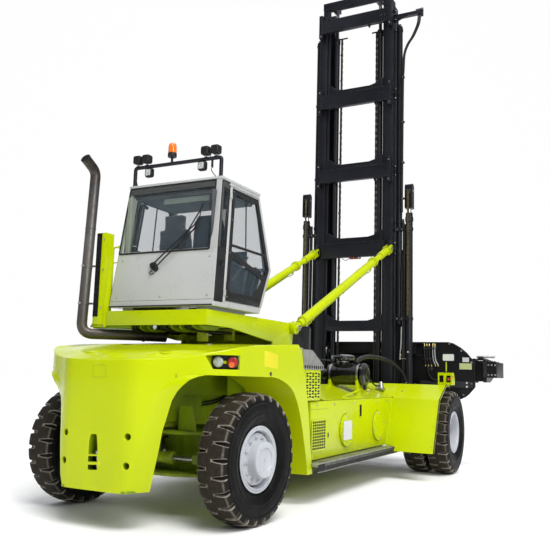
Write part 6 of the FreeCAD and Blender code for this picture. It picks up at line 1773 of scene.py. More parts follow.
# brackets that hold the pipe off the shield
for z in (2.345, 2.795):
    K.box(-0.255, -0.235, 0.885, 0.945, z - 0.012, z + 0.012, STEEL, 0.002)
K.done("heat_shield_details", "chassis", "lime_paint")

K = Kit()
# exhaust stack: mouth with a black disc inside it as painted shade, weld seams, band clamps, expansion joint
axis = [(-0.42, 0.995, 4.10), (-0.222, 0.995, 3.98), (-0.30, 1.000, 1.985), (0.06, 0.50, 1.985), (0.42, 0.30, 1.985)]
path = arcs(axis, 0.14, 8)
K.pipe(path, 0.062, EXH, n=26, smooth=False)
d = unit(np.array(axis[0]) - np.array(axis[1]))
K.lathe([(0.0625, -0.020), (0.0645, -0.006), (0.0640, 0.001), (0.0590, 0.001), (0.0580, -0.004)], axis[0], d, EXH, 28)
K.lathe([(0.0, 0.0008), (0.0585, 0.0008)], axis[0], d, SHADE_AND_SCREEN_BLACK, 28)


def on_stack(z):
    t = (z - 1.985) / (3.98 - 1.985)
    return np.array([-0.30 + 0.078 * t, 1.000 - 0.005 * t, z])


ud = unit(np.array([0.078, -0.005, 1.995]))
for z, h in ((3.255, 0.006), (2.330, 0.030), (2.780, 0.030)):
    K.lathe([(0.0625, -0.002), (0.0665, 0.0), (0.0665, h), (0.0625, h + 0.002)], on_stack(z), ud, EXH, 28)
    if h > 0.01:
        c = on_stack(z + h / 2)
        K.box(c[0] - 0.085, c[0] - 0.060, c[1] - 0.014, c[1] + 0.014, c[2] - 0.012, c[2] + 0.012, STEEL, 0.002)
        K.rod((c[0] - 0.073, c[1] - 0.024, c[2]), (c[0] - 0.073, c[1] + 0.024, c[2]), 0.0045, STEEL, 8)
K.lathe([(0.0622, 0), (0.071, 0.004), (0.071, 0.022), (0.0622, 0.026)], (0.16, 0.4445, 1.985), (0.874, -0.485, 0), EXH, 28)
K.done("exhaust_stack", "chassis", "exhaust_steel", "exhaust")

K = Kit()
# feet of the side rail on the cab and platform
for z in (3.05, 2.20):
    K.lathe([(0, 0), (0.020, 0), (0.020, 0.004), (0.012, 0.006), (0, 0.006)], (-0.055, 0.7005 if z > 3 else 0.7065, z), (0, 1, 0), LIME, 16)
K.pipe([(-0.055, 0.780, 2.86), (-0.055, 0.716, 2.86)], 0.008, LIME, n=8, smooth=False)
K.pipe([(-0.055, 0.780, 2.50), (-0.055, 0.727, 2.50)], 0.008, LIME, n=8, smooth=False)
K.done("handrail_feet", "chassis", "lime_paint")

# ---------------------------------------------------------------- engine bay, air cleaner, hoses on the right
K = Kit()
# sloping walkway sheets from the tank tops up to the engine sides
for s in (1, -1):
    q = [(1.915, s * 1.185, 1.2555), (4.690, s * 1.185, 1.2555), (5.060, s * 0.606, 1.452), (1.915, s * 0.606, 1.440)]
    K.slab(q if s < 0 else q[::-1], 0.006, LIME, 0.0015)
    K.box(2.755, 5.05, s * 0.602 - 0.004, s * 0.600 + 0.004, 1.212, 1.440, LIME, 0.002)
    for x in (2.90, 3.90, 4.60):
        K.bolt((x, s * 1.12, 1.2795), (0, -s * -0.30, 0.95), 0.009, STEEL, 0.006)
# cover ribs, hinges, latch of the engine cover and a vertical pale gap edge
for y in (-0.40, -0.13, 0.13, 0.40):
    K.box(1.98, 2.70, y - 0.012, y + 0.012, 2.2645, 2.2705, PLAST, 0.002)
for s in (1, -1):
    for x in (2.05, 2.30, 2.55):
        K.box(x, x + 0.16, s * 0.6005 - 0.0015, s * 0.6005 + 0.0015, 1.46, 2.10, PLAST, 0.001)
    K.box(2.690, 2.702, s * 0.601 - 0.002, s * 0.601 + 0.002, 1.28, 2.24, STEEL, 0.001)
    K.box(2.36, 2.44, s * 0.602 - 0.004, s * 0.602 + 0.004, 1.33, 1.37, STEEL, 0.002)
K.lathe([(0, 0), (0.030, 0), (0.030, 0.02), (0.022, 0.026), (0, 0.026)], (2.30, 0.25, 2.2655), (0, 0, 1), PLAST, 20)
# pipes between engine cover and mast
for i, y in enumerate((-0.30, -0.24, -0.18, 0.18, 0.26)):
    K.pipe([(2.742, y, 1.36 + 0.05 * i), (3.10, y, 1.34 + 0.04 * i), (3.90, y + 0.02, 1.30 + 0.02 * i), (4.70, y, 1.33), (5.30, y, 1.26)], 0.016, HOSE, n=8)
K.box(3.00, 3.70, -0.30, 0.34, 1.211, 1.345, CASTING, 0.012)
K.box(4.05, 4.55, -0.22, 0.22, 1.211, 1.32, CASTING, 0.010)
for i in range(6):
    K.lathe([(0, 0), (0.016, 0), (0.016, 0.05), (0.010, 0.06), (0, 0.06)], (3.10 + 0.1 * i, 0.06, 1.345), (0, 0, 1), STEEL, 12)
K.box(2.78, 2.98, -0.50, -0.34, 1.211, 1.50, PLAST, 0.010)
K.done("engine_bay_details", "chassis", "lime_paint")

K = Kit()
# air cleaner: ribbed drum with clamped end cap, outlet duct, pre-cleaner, dust valve
AX, AZ = 3.50, 1.600
K.lathe([(0, 0), (0.120, 0.0), (0.146, 0.012), (0.158, 0.034), (0.160, 0.060), (0.160, 0.40), (0.164, 0.404), (0.164, 0.424), (0.160, 0.428), (0.160, 0.520)],
        (AX, -0.572, AZ), (0, -1, 0), GLOSS, 48)
K.lathe([(0.158, 0), (0.1705, 0.002), (0.1725, 0.010), (0.1725, 0.026), (0.166, 0.032), (0.164, 0.050), (0.150, 0.0625), (0.118, 0.066), (0.112, 0.060), (0.060, 0.058), (0.052, 0.064), (0, 0.066)],
        (AX, -1.122, AZ), (0, -1, 0), GLOSS, 48)
for a in (35, 145, 270):
    a = math.radians(a)
    u, w = np.array([1.0, 0, 0]), np.array([0, 0, 1.0])
    c = np.array([AX, -1.125, AZ]) + (u * math.cos(a) + w * math.sin(a)) * 0.170
    K.pipe([c + np.array([0, 0.035, 0]), c + np.array([0, 0.0, 0]) + (u * math.cos(a) + w * math.sin(a)) * 0.006, c + np.array([0, -0.030, 0])], 0.004, STEEL, n=6)
K.rod((AX, -0.598, AZ), (AX, -0.385, AZ), 0.077, GLOSS, 30)
K.lathe([(0.0775, 0), (0.0815, 0.003), (0.0815, 0.017), (0.0775, 0.020)], (AX, -0.50, AZ), (0, 1, 0), STEEL, 30)
K.pipe([(AX + 0.03, -0.455, AZ), (AX - 0.30, -0.452, AZ), (AX - 0.76, -0.455, AZ)], 0.070, HOSE, n=22)
for x in (AX - 0.70, AX - 0.60, AX - 0.50, AX - 0.40, AX - 0.30, AX - 0.20):
    K.ring((x, -0.454, AZ), (1, 0, 0), 0.070, 0.005, HOSE, 24, 6)
K.rod((AX, -0.80, 1.715), (AX, -0.80, 1.822), 0.084, GLOSS, 28)
K.lathe([(0.084, 0), (0.089, 0.003), (0.089, 0.018), (0.084, 0.020)], (AX, -0.80, 1.778), (0, 0, 1), STEEL, 28)
K.lathe([(0, 0), (0.150, 0), (0.186, 0.012), (0.190, 0.024), (0.188, 0.040), (0.170, 0.062), (0.120, 0.078), (0, 0.080)], (AX, -0.80, 1.818), (0, 0, 1), GLOSS, 44)
for i in range(28):
    a = 2 * math.pi * i / 28
    c = (AX + 0.168 * math.cos(a), -0.80 + 0.168 * math.sin(a))
    K.box(c[0] - 0.004, c[0] + 0.004, c[1] - 0.004, c[1] + 0.004, 1.8135, 1.826, PLATE_W if i % 2 else GLOSS, 0.001)
K.lathe([(0, 0), (0.024, 0.0), (0.026, -0.02), (0.030, -0.05), (0.026, -0.085), (0.014, -0.108), (0, -0.110)], (AX, -1.152, 1.478), (0, 0, 1), RUBBER, 20)
K.done("air_cleaner_assembly", "chassis", "black_plastic", "air_cleaner")

K = Kit()
# stand of the air cleaner: band straps, diagonal strut, bolts
for y in (-1.08, -0.64):
    K.lathe([(0.1615, -0.014), (0.1645, -0.014), (0.1645, 0.014), (0.1615, 0.014)], (AX, y, AZ), (0, 1, 0), STEEL, 44, closed=True)
K.slab([(2.72, -1.118, 1.262), (3.44, -1.118, 1.372), (3.44, -1.118, 1.402), (2.72, -1.118, 1.292)], 0.006, LIME, 0.001)
for x in (3.36, 3.64):
    for y in (-1.125, -0.605):
        K.bolt((x, y, 1.2625), (0, 0, 1), 0.010, STEEL, 0.007)
# hoses: big one from the cleaner across to the mast, thin breather lines, valve bank
K.pipe([(3.50, -1.000, 1.770), (3.70, -1.010, 1.850), (4.10, -1.010, 1.890), (4.70, -1.005, 1.880), (5.20, -1.030, 1.800), (5.48, -1.090, 1.660), (5.58, -1.150, 1.475)], 0.034, HOSE, n=12)
K.lathe([(0.0325, 0), (0.036, 0.003), (0.036, 0.015), (0.0325, 0.018)], (5.570, -1.140, 1.500), (0.28, -0.10, -1), STEEL, 20)
K.pipe([(1.93, -0.615, 1.800), (2.60, -0.640, 1.812), (3.10, -0.66, 1.800), (3.38, -0.70, 1.800)], 0.010, HOSE, n=8)
K.pipe([(4.05, -0.86, 1.42), (4.18, -0.88, 1.52), (4.40, -0.90, 1.53), (4.60, -0.92, 1.44), (4.80, -0.94, 1.43)], 0.011, HOSE, n=8)
K.pipe([(4.10, -0.84, 1.41), (4.26, -0.86, 1.48), (4.50, -0.88, 1.49), (4.72, -0.90, 1.41)], 0.009, HOSE, n=8)
for i, (x, y) in enumerate(((4.00, -0.95), (4.12, -0.97), (4.22, -0.95))):
    K.lathe([(0, 0), (0.020, 0), (0.020, 0.045), (0.012, 0.055), (0, 0.055)], (x, y, 1.32), (0, 0, 1), BRASS, 12)
K.lathe([(0, 0), (0.060, 0), (0.056, 0.015), (0.026, 0.105), (0.018, 0.115), (0, 0.117)], (4.86, -0.93, 1.385), (0, 0, 1), GALV, 26)
K.box(4.78, 4.94, -1.00, -0.85, 1.352, 1.388, STEEL, 0.004)
K.done("side_hoses_and_strap", "chassis", "black_plastic")


# ---------------------------------------------------------------- tilt cylinders
TR, TM = np.array([1.885, 0, 2.194]), np.array([5.800, 0, 3.940])
TL = float(np.linalg.norm(TM - TR))
TU = unit(TM - TR)
TN = np.array([-TU[2], 0, TU[0]])
for s, nm in ((-1, "right"), (1, "left")):
    dress("tilt_barrel_" + nm, LIME, bevel=0.004, seg=2)
    dress("tilt_rod_" + nm, LIME, bevel=0.003, seg=2)
    K = Kit()
    o = TR + np.array([0, s * 0.745, 0])
    for t, r0, h in ((0.27, 0.0665, 0.02), (3.255, 0.0665, 0.03)):
        K.lathe([(0.066, -0.004), (r0 + 0.010, 0.0), (r0 + 0.010, h), (0.066, h + 0.004)], o + TU * t, TU, LIME, 36)
    K.lathe([(0.0480, 0), (0.0560, 0.001), (0.0540, 0.010), (0.0480, 0.012)], o + TU * 3.3705, TU, RUBBER, 30)
    for i in range(8):
        a = 2 * math.pi * (i + 0.5) / 8
        c = o + TU * 3.370 + (TN * math.cos(a) + np.array([0, 1, 0]) * math.sin(a)) * 0.076
        K.bolt(c, TU, 0.0075, STEEL, 0.006)
    # ports, pipe along the barrel, bleed screw
    for t in (0.36, 3.16):
        K.lathe([(0, 0.060), (0.020, 0.060), (0.020, 0.088), (0.012, 0.092), (0, 0.092)], o + TU * t, -TN, LIME, 16)
        K.lathe([(0, 0.090), (0.013, 0.090), (0.013, 0.104), (0, 0.106)], o + TU * t, -TN, STEEL, 6)
    K.pipe([o + TU * 0.36 - TN * 0.104, o + TU * 0.50 - TN * 0.104, o + TU * 0.62 - TN * 0.082, o + TU * 2.92 - TN * 0.082, o + TU * 3.04 - TN * 0.104, o + TU * 3.16 - TN * 0.104], 0.010, LIME, n=8, bend=0.05)
    for t in (1.0, 1.8, 2.6):
        K.lathe([(0.0665, 0), (0.0695, 0.002), (0.0695, 0.018), (0.0665, 0.02)], o + TU * t, TU, LIME, 30)
        K.box(*(sum(((float((o + TU * (t + 0.01) - TN * 0.078)[i] - 0.012), float((o + TU * (t + 0.01) - TN * 0.078)[i] + 0.012)) for i in range(3)), ())), STEEL, 0.002)
    # grease nipple and eye weld
    K.lathe([(0, 0.083), (0.007, 0.084), (0.006, 0.096), (0, 0.100)], o, TN, BRASS, 10)
    K.lathe([(0.051, 0), (0.056, 0.004), (0.051, 0.010)], o + TU * 0.155, TU, LIME, 26)
    K.done("tilt_barrel_details_" + nm, "tilt_barrel_" + nm, "lime_paint")
    K = Kit()
    e = TM + np.array([0, s * 0.745, 0])
    K.lathe([(0.066, 0), (0.072, 0.004), (0.072, 0.030), (0.066, 0.034)], o + TU * (TL - 0.26), TU, LIME, 30)
    for q in (1, -1):
        K.ring(e + np.array([0, q * 0.0555, 0]), (0, 1, 0), 0.0475, 0.004, LIME, 26, 6)
    K.bolt(o + TU * (TL - 0.24) + TN * 0.071, TN, 0.010, STEEL, 0.008)
    K.done("tilt_rod_details_" + nm, "tilt_rod_" + nm, "lime_paint")

# ---------------------------------------------------------------- mast
for nm in ("mast_rails", "mast_crossmembers", "inner_rails", "inner_crossmembers", "lift_barrels", "hose_arm"):
    dress(nm, CHAR, bevel=0.007 if nm != "lift_barrels" else 0.003, seg=2)
dress("lift_rods", CHROME, bevel=0)

CROSS = ((8.46, 8.73), (6.85, 7.13), (5.33, 5.59), (3.82, 4.11))
K = Kit()
for s in (1, -1):
    # weld beads, edge strips and bolt rows of the outer rail
    for z0, z1 in CROSS:
        for z in (z0 - 0.095, z1 + 0.115):
            if z < 8.80:
                K.pipe([(5.788, s * 0.694, z), (5.788, s * 0.762, z)], 0.004, CHAR, n=6, smooth=False)
        if 4.2 < z1 < 8.6:
            K.bolt((5.7895, s * 0.728, z1 + 0.070), (-1, 0, 0), 0.011, STEEL, 0.008)
        if z0 > 4:
            K.bolt((5.7895, s * 0.728, z0 - 0.055), (-1, 0, 0), 0.011, STEEL, 0.008)
        # small lug with bolt outside the rail, at the end of each crossmember
        for z in (z0 + 0.03, z1 - 0.06):
            K.box(5.90, 5.96, s * 0.765, s * 0.815, z, z + 0.030, CHAR, 0.003)
            K.bolt((5.93, s * 0.815, z + 0.015), (0, s, 0), 0.008, STEEL, 0.008)
    for z in np.arange(0.62, 8.70, 0.42):
        K.bolt((6.05, s * 0.7655, z), (0, s, 0), 0.0095, CHAR, 0.007)
    # slide pads at the head of the outer rail
    K.box(5.885, 5.909, s * 0.63, s * 0.75, 8.60, 8.84, RUBBER, 0.003)
    # stiffener strip up the outer side of the rail
    K.box(5.882, 5.905, s * 0.766, s * 0.778, 0.85, 8.45, CHAR, 0.003)
    K.box(6.195, 6.218, s * 0.766, s * 0.778, 0.60, 8.75, CHAR, 0.003)
    # pivot: cap, keeper plate and bolts
    K.lathe([(0, 0), (0.056, 0), (0.056, 0.006), (0.050, 0.010), (0, 0.010)], (6.000, s * 0.890, 0.620), (0, s, 0), STEEL, 30)
    for a in (30, 150, 270):
        a = math.radians(a)
        K.bolt((6.0 + 0.033 * math.cos(a), s * 0.900, 0.62 + 0.033 * math.sin(a)), (0, s, 0), 0.0075, STEEL, 0.006)
    # pins of the tilt cylinders in the lugs
    K.lathe([(0, 0), (0.034, 0), (0.034, 0.005), (0.028, 0.009), (0, 0.009)], (5.800, s * 0.810, 3.940), (0, s, 0), STEEL, 26)
    # lift barrel: gland ring, port and pipe
    K.lathe([(0.0555, 0), (0.064, 0.004), (0.064, 0.05), (0.0555, 0.055)], (6.035, s * 0.460, 8.30), (0, 0, 1), CHAR, 32)
    K.lathe([(0, 0.053), (0.018, 0.053), (0.018, 0.075), (0, 0.075)], (6.035, s * 0.460, 0.98), (-1, 0, 0), STEEL, 12)
    K.pipe([(5.958, s * 0.460, 0.98), (5.945, s * 0.458, 1.15), (5.960, s * 0.452, 1.30)], 0.010, STEEL, n=8)
# crossmember faces: edge lips and bolts
for i, (z0, z1) in enumerate(CROSS):
    w = 0.690 if i < 3 else 0.635
    K.box(5.7955, 5.802, -w, w, z1 - 0.018, z1 - 0.002, CHAR, 0.002)
    K.box(5.7955, 5.802, -w, w, z0 + 0.002, z0 + 0.018, CHAR, 0.002)
    for y in (-0.62, -0.56, 0.56, 0.62):
        if abs(y) < w - 0.02:
            K.bolt((5.7995, y, (z0 + z1) / 2), (-1, 0, 0), 0.012, CHAR, 0.009)
# guard lamps hung under the lowest crossmember, and hose clips under the others
K.box(5.815, 5.865, -0.165, 0.055, 3.785, 3.822, PLAST, 0.005)
for y, m in ((0.018, LENS_R), (-0.035, LENS_O), (-0.088, LENS_R), (-0.140, LENS_W)):
    K.lathe([(0, 0.010), (0.014, 0.008), (0.018, 0.0), (0, 0)], (5.8155, y, 3.803), (-1, 0, 0), m, 16)
K.pipe([(5.84, 0.07, 3.80), (5.85, 0.14, 3.77), (5.86, 0.22, 3.81)], 0.006, HOSE, n=6)
for z, y in ((5.33, -0.44), (6.85, -0.44), (8.46, -0.30)):
    K.prism([(y - 0.03, z), (y + 0.03, z), (y + 0.012, z - 0.055), (y - 0.012, z - 0.055)], "x", 5.83, 5.85, CHAR, 0.002)
K.done("mast_details", "mast", "charcoal_paint")


def chain(K, x, y, z0, z1, m, pitch=0.050, w=0.030, t=0.020, leaves=4):
    """leaf chain: plates side by side with pin heads"""
    n = int((z1 - z0) / pitch)
    p = (z1 - z0) / n
    for i in range(n):
        z = z0 + p * (i + 0.5)
        wide = i % 2 == 0
        for k in range(leaves if wide else leaves - 1):
            yy = y - t / 2 + t * (k + (0 if wide else 0.5)) / (leaves - 1)
            K.box(x - w / 2, x + w / 2, yy - 0.0022, yy + 0.0022, z - p * 0.62, z + p * 0.62, m, 0.0015)
        K.rod((x, y - t / 2 - 0.006, z0 + p * (i + 1)) if i < n - 1 else (x, y - t / 2 - 0.006, z), (x, y + t / 2 + 0.006, z0 + p * (i + 1)) if i < n - 1 else (x, y + t / 2 + 0.006, z), 0.005, m, 6)


CHAIN = metal("oiled_chain_finish", (0.075, 0.070, 0.058), (0.13, 0.12, 0.095), (0.3, 0.5), 30.0, bump=0.1, stain=(0.05, 0.045, 0.035))
CHAIN_Y = metal("greased_chain_finish", (0.26, 0.22, 0.10), (0.34, 0.29, 0.14), (0.35, 0.55), 30.0, bump=0.1, stain=(0.12, 0.10, 0.05))

K = Kit()
# lift chains and hose bundle inside the mast, on the inner face of the barrels
for s in (1, -1):
    for k in range(2):
        K.pipe([(6.085, s * (0.392 - 0.020 * k), 0.62), (6.085, s * (0.392 - 0.020 * k), 4.5), (6.085, s * (0.392 - 0.020 * k), 8.42)], 0.0085, HOSE, n=6, smooth=False)
    for z in np.arange(0.9, 8.4, 0.55):
        K.box(6.072, 6.098, s * 0.382 - 0.026, s * 0.382 + 0.026, z, z + 0.024, STEEL if int(z * 10) % 3 == 0 else CHAR, 0.002)
chain(K, 6.030, 0.352, 0.90, 8.38, CHAIN, 0.062, 0.036, 0.030)
chain(K, 6.030, -0.385, 0.90, 8.38, CHAIN, 0.062, 0.036, 0.024)
# cross bar that carries the clips
for z in (0.9, 2.0, 3.90, 5.44, 6.98, 8.40):
    for s in (1, -1):
        K.box(6.096, 6.106, s * 0.26, s * 0.50, z, z + 0.03, CHAR, 0.002)
K.done("mast_chains_and_hoses", "mast", "charcoal_paint")

K = Kit()
# outboard cylinders: barrels with glands, chain head, clamps, pipes, bolts
for s in (1, -1):
    Q = Kit()
    Q.lathe([(0, 0), (0.060, 0.0), (0.068, 0.010), (0.068, 1.385), (0.062, 1.400), (0.055, 1.402), (0.055, 5.845), (0.050, 5.850), (0, 5.850)], (6.06, s * 0.855, 2.55), (0, 0, 1), CHAR, 36)
    Q.lathe([(0.066, 0), (0.075, 0.004), (0.075, 0.060), (0.066, 0.064)], (6.06, s * 0.855, 3.86), (0, 0, 1), CHAR, 36)
    Q.lathe([(0.053, 0), (0.062, 0.004), (0.062, 0.05), (0.053, 0.055)], (6.06, s * 0.855, 8.30), (0, 0, 1), CHAR, 32)
    Q.lathe([(0, 0), (0.030, 0), (0.030, 0.05), (0, 0.05)], (6.06, s * 0.855, 8.398), (0, 0, 1), STEEL, 20)
    Q.lathe([(0, 0), (0.058, 0.0), (0.066, 0.010), (0.066, 3.900), (0.060, 3.920), (0, 3.920)], (6.02, s * 1.060, 0.72), (0, 0, 1), CHAR, 36)
    Q.lathe([(0.064, 0), (0.076, 0.004), (0.076, 0.085), (0.064, 0.090)], (6.02, s * 1.060, 4.47), (0, 0, 1), CHAR, 36)
    Q.lathe([(0.064, 0), (0.072, 0.004), (0.072, 0.055), (0.064, 0.060)], (6.02, s * 1.060, 0.76), (0, 0, 1), CHAR, 36)
    Q.lathe([(0, 0), (0.040, 0), (0.040, 0.125), (0, 0.125)], (6.02, s * 1.060, 4.60), (0, 0, 1), CHROME, 28)
    # chain head: fork plates, sheave and the chain running over it
    Q.prism([(5.985, 4.745), (6.095, 4.745), (6.095, 5.14), (6.065, 5.19), (6.005, 5.19), (5.985, 5.16)], "y", s * 1.060 - 0.058, s * 1.060 + 0.058, CHAR, 0.006)
    for dy in (-0.072, 0.060):
        Q.prism([(5.955, 4.725), (6.095, 4.725), (6.095, 5.14), (6.065, 5.19), (5.985, 5.19), (5.955, 5.14)], "y", s * 1.060 + dy, s * 1.060 + dy + 0.012, CHAR, 0.003)
        Q.bolt((6.025, s * 1.060 + (0.068 if dy > 0 else -0.068), 5.055), (0, 1 if dy > 0 else -1, 0), 0.022, STEEL, 0.010)
    Q.lathe([(0, -0.040), (0.062, -0.040), (0.066, -0.034), (0.054, -0.026), (0.054, 0.026), (0.066, 0.034), (0.062, 0.040), (0, 0.040)], (6.025, s * 1.060, 5.055), (0, 1, 0), CASTING, 40)
    Q.box(5.952, 6.098, s * 1.060 - 0.066, s * 1.060 + 0.066, 4.715, 4.745, CHAR, 0.004)
    # clamps to the rail
    for z in (3.10, 4.45, 5.46, 7.0, 8.30):
        Q.box(6.03, 6.09, s * 0.766, s * 0.800, z, z + 0.05, CHAR, 0.004)
        Q.lathe([(0.0558, 0), (0.0640, 0.002), (0.0640, 0.048), (0.0558, 0.05)], (6.06, s * 0.855, z), (0, 0, 1), CHAR, 30)
        Q.bolt((6.000, s * 0.795, z + 0.025), (-1, 0, 0), 0.010, STEEL, 0.010)
    for z in (1.0, 2.62, 4.30):
        Q.box(5.98, 6.07, s * 0.766, s * 1.000, z, z + 0.06, CHAR, 0.004)
        Q.lathe([(0.0665, 0), (0.076, 0.002), (0.076, 0.058), (0.0665, 0.06)], (6.02, s * 1.060, z), (0, 0, 1), CHAR, 30)
        for dy in (0.84, 0.93):
            Q.bolt((5.9795, s * dy, z + 0.03), (-1, 0, 0), 0.010, STEEL, 0.009)
    # cover plate between the lower clamps
    Q.box(6.056, 6.066, s * 0.775 if s > 0 else s * 0.985, s * 0.985 if s > 0 else s * 0.775, 1.055, 2.625, CHAR, 0.003)
    chain(Q, 5.958, s * 1.052, 2.70, 5.05, CHAIN_Y, 0.052, 0.030, 0.030)
    # fittings, cross pipe, hoses up the rail
    Q.lathe([(0, 0), (0.022, 0), (0.022, 0.05), (0, 0.05)], (5.985, s * 0.905, 1.96), (0, 0, 1), BRASS, 12)
    Q.pipe([(5.972, s * 0.905, 1.90), (5.972, s * 0.905, 2.02), (5.972, s * 0.92, 2.14), (5.985, s * 0.925, 2.50)], 0.013, STEEL, n=8)
    Q.pipe([(5.980, s * 0.880, 1.915), (5.980, s * 0.990, 1.915), (5.975, s * 1.10, 1.917)], 0.010, STEEL, n=8, smooth=False)
    Q.lathe([(0, 0), (0.014, 0), (0.014, 0.012), (0, 0.012)], (5.955, s * 1.06, 2.040), (-1, 0, 0), PLATE_W, 14)
    Q.pipe([(5.975, s * 0.800, 0.95), (5.975, s * 0.800, 3.30), (5.970, s * 0.806, 4.60), (5.985, s * 0.800, 6.80), (5.985, s * 0.800, 8.30)], 0.012, HOSE, n=8, smooth=False)
    Q.pipe([(5.985, s * 0.940, 4.52), (6.020, s * 0.957, 4.36), (6.035, s * 0.9585, 4.20), (6.035, s * 0.9585, 1.70), (6.030, s * 0.952, 1.45), (5.995, s * 0.920, 1.20)], 0.030, HOSE, n=12)
    Q.pipe([(5.990, s * 0.940, 1.10), (5.990, s * 0.945, 1.70), (5.985, s * 0.955, 2.35), (5.980, s * 0.93, 2.90), (5.985, s * 0.93, 3.60)], 0.013, HOSE, n=8)
    K.v += Q.v
    base = len(K.v) - len(Q.v)
    for f, m in zip(Q.f, Q.fm):
        K.f.append([i + base for i in f])
        K.fm.append(K.mat(Q.mats[m]))
K.done("outboard_cylinders", "mast", "charcoal_paint", "side_cylinders")

K = Kit()
# hoses from the arm at the head of the right rail, clipped to the arm and the rail
for k, dy in enumerate((0.0, 0.024, 0.048)):
    K.pipe([(6.000, -1.285 + dy, 8.640), (5.985, -1.290 + dy, 8.50), (5.985, -1.265 + dy, 8.34), (5.990, -1.16 + dy * 0.9, 8.12), (5.990, -1.06 + dy * 0.8, 7.98), (5.985, -0.985 + dy * 0.6, 7.78),
            (5.985, -0.965 + dy * 0.5, 7.45), (5.985, -0.952 + dy * 0.4, 7.05), (5.985, -0.940 + dy * 0.4, 5.20), (5.985, -0.940 + dy * 0.4, 4.65)], 0.0115, HOSE, n=8, k=5)
K.box(5.955, 6.045, -1.335, -1.200, 8.622, 8.650, STEEL, 0.003)
for y in (-1.29, -1.25):
    K.bolt((6.0, y, 8.650), (0, 0, 1), 0.009, STEEL, 0.008)
K.slab([(5.949, -0.770, 8.44), (5.949, -0.770, 8.56), (5.949, -1.16, 8.562), (5.949, -1.05, 8.548)][::-1], 0.008, CHAR, 0.001)
for z in (7.30, 6.40, 5.60, 4.90):
    K.box(5.965, 6.010, -0.975, -0.910, z, z + 0.035, CHAR, 0.003)
    K.bolt((5.965, -0.943, z + 0.018), (-1, 0, 0), 0.008, STEEL, 0.006)
K.done("hose_arm_hoses", "mast", "charcoal_paint")

K = Kit()
# inner mast: head beam lip, chain anchors, sheave blocks, crossmember lips
for z0, z1 in ((7.02, 7.24), (5.48, 5.70), (3.98, 4.22), (2.42, 2.62)):
    K.box(5.9015, 5.906, -0.275, 0.275, z1 - 0.016, z1 - 0.002, CHAR, 0.0015)
    K.box(5.9015, 5.906, -0.550, 0.550, z0 + 0.002, z0 + 0.018, CHAR, 0.0015)
for s in (1, -1):
    K.box(5.902, 5.9465, s * 0.30, s * 0.37, 9.00, 9.15, CHAR, 0.004)
    K.lathe([(0, 0), (0.045, 0), (0.045, 0.012), (0.036, 0.018), (0, 0.018)], (6.035, s * 0.460, 9.100), (0, 0, 1), STEEL, 26)
    for z in (8.90, 8.70):
        K.bolt((6.05, s * 0.7255, z), (0, s, 0), 0.010, STEEL, 0.006)
K.box(5.8965, 5.901, -0.70, 0.70, 9.125, 9.155, CHAR, 0.0015)
K.done("inner_mast_details", "inner_mast", "charcoal_paint")


# ---------------------------------------------------------------- carriage and spreader
def carriage_pick(x, y, z, n):
    return 1 if x < 6.20 and abs(y) > 0.552 and abs(((x - 6.05) ** 2 + min((z - 0.95) ** 2, (z - 2.05) ** 2)) ** 0.5) < 0.11 else 0


dress("carriage", BLACK, STEEL, pick=carriage_pick, bevel=0.006, seg=2)
dress("spreader_frame", BLACK, bevel=0.008, seg=2)


def pin_pick(side):
    return lambda x, y, z, n: 1 if x > 7.112 and abs(z - 1.75) < 0.05 else 0


dress("telescope_right", BLACK, STEEL, pick=pin_pick(-1), bevel=0.010, seg=3)
dress("telescope_left", BLACK, STEEL, pick=pin_pick(1), bevel=0.010, seg=3)

K = Kit()
for s in (1, -1):
    for z in (0.95, 2.05):
        K.lathe([(0, 0), (0.040, 0), (0.036, 0.004), (0, 0.004)], (6.05, s * 0.6752, z), (0, s, 0), CASTING, 24)
        K.bolt((6.05, s * 0.525, z), (0, -s, 0), 0.030, STEEL, 0.012)
    for z in (1.10, 1.30, 1.70, 1.90):
        K.bolt((6.234, s * 0.585, z), (-1, 0, 0), 0.014, STEEL, 0.010)
    for z in (1.2, 1.6):
        K.box(6.06, 6.20, s * 0.520, s * 0.528, z, z + 0.16, BLACK, 0.002)
for y in (-0.95, -0.82, 0.82, 0.95):
    for z in (2.08, 2.15, 0.86, 0.93):
        K.bolt((6.2895, y, z), (-1, 0, 0), 0.013, STEEL, 0.010)
K.box(6.232, 6.240, -0.60, 0.60, 2.200, 2.225, BLACK, 0.002)
# chain anchors at the foot of the carriage
for s in (1, -1):
    K.box(6.13, 6.235, s * 0.36, s * 0.46, 0.90, 0.96, BLACK, 0.006)
    for dy in (0.385, 0.435):
        K.rod((6.17, s * dy, 0.86), (6.17, s * dy, 1.08), 0.013, STEEL, 12)
        K.bolt((6.17, s * dy, 0.86), (0, 0, -1), 0.020, STEEL, 0.016)
# hydraulic manifold and lines on the carriage
K.box(6.16, 6.236, -0.24, 0.24, 1.60, 1.80, CASTING, 0.008)
for i in range(6):
    y = -0.19 + 0.076 * i
    K.lathe([(0, 0), (0.020, 0), (0.020, 0.022), (0, 0.022)], (6.160, y, 1.74), (-1, 0, 0), STEEL, 6)
    K.pipe([(6.140, y, 1.74), (6.10, y, 1.72), (6.085, y * 1.05, 1.60), (6.10, y * 1.1, 1.46), (6.16, y * 1.15, 1.40), (6.232, y * 1.15, 1.39)], 0.011, HOSE, n=8)
K.done("carriage_details", "carriage", "black_paint")

Y0S = 0.50
K = Kit()
XF = 6.400
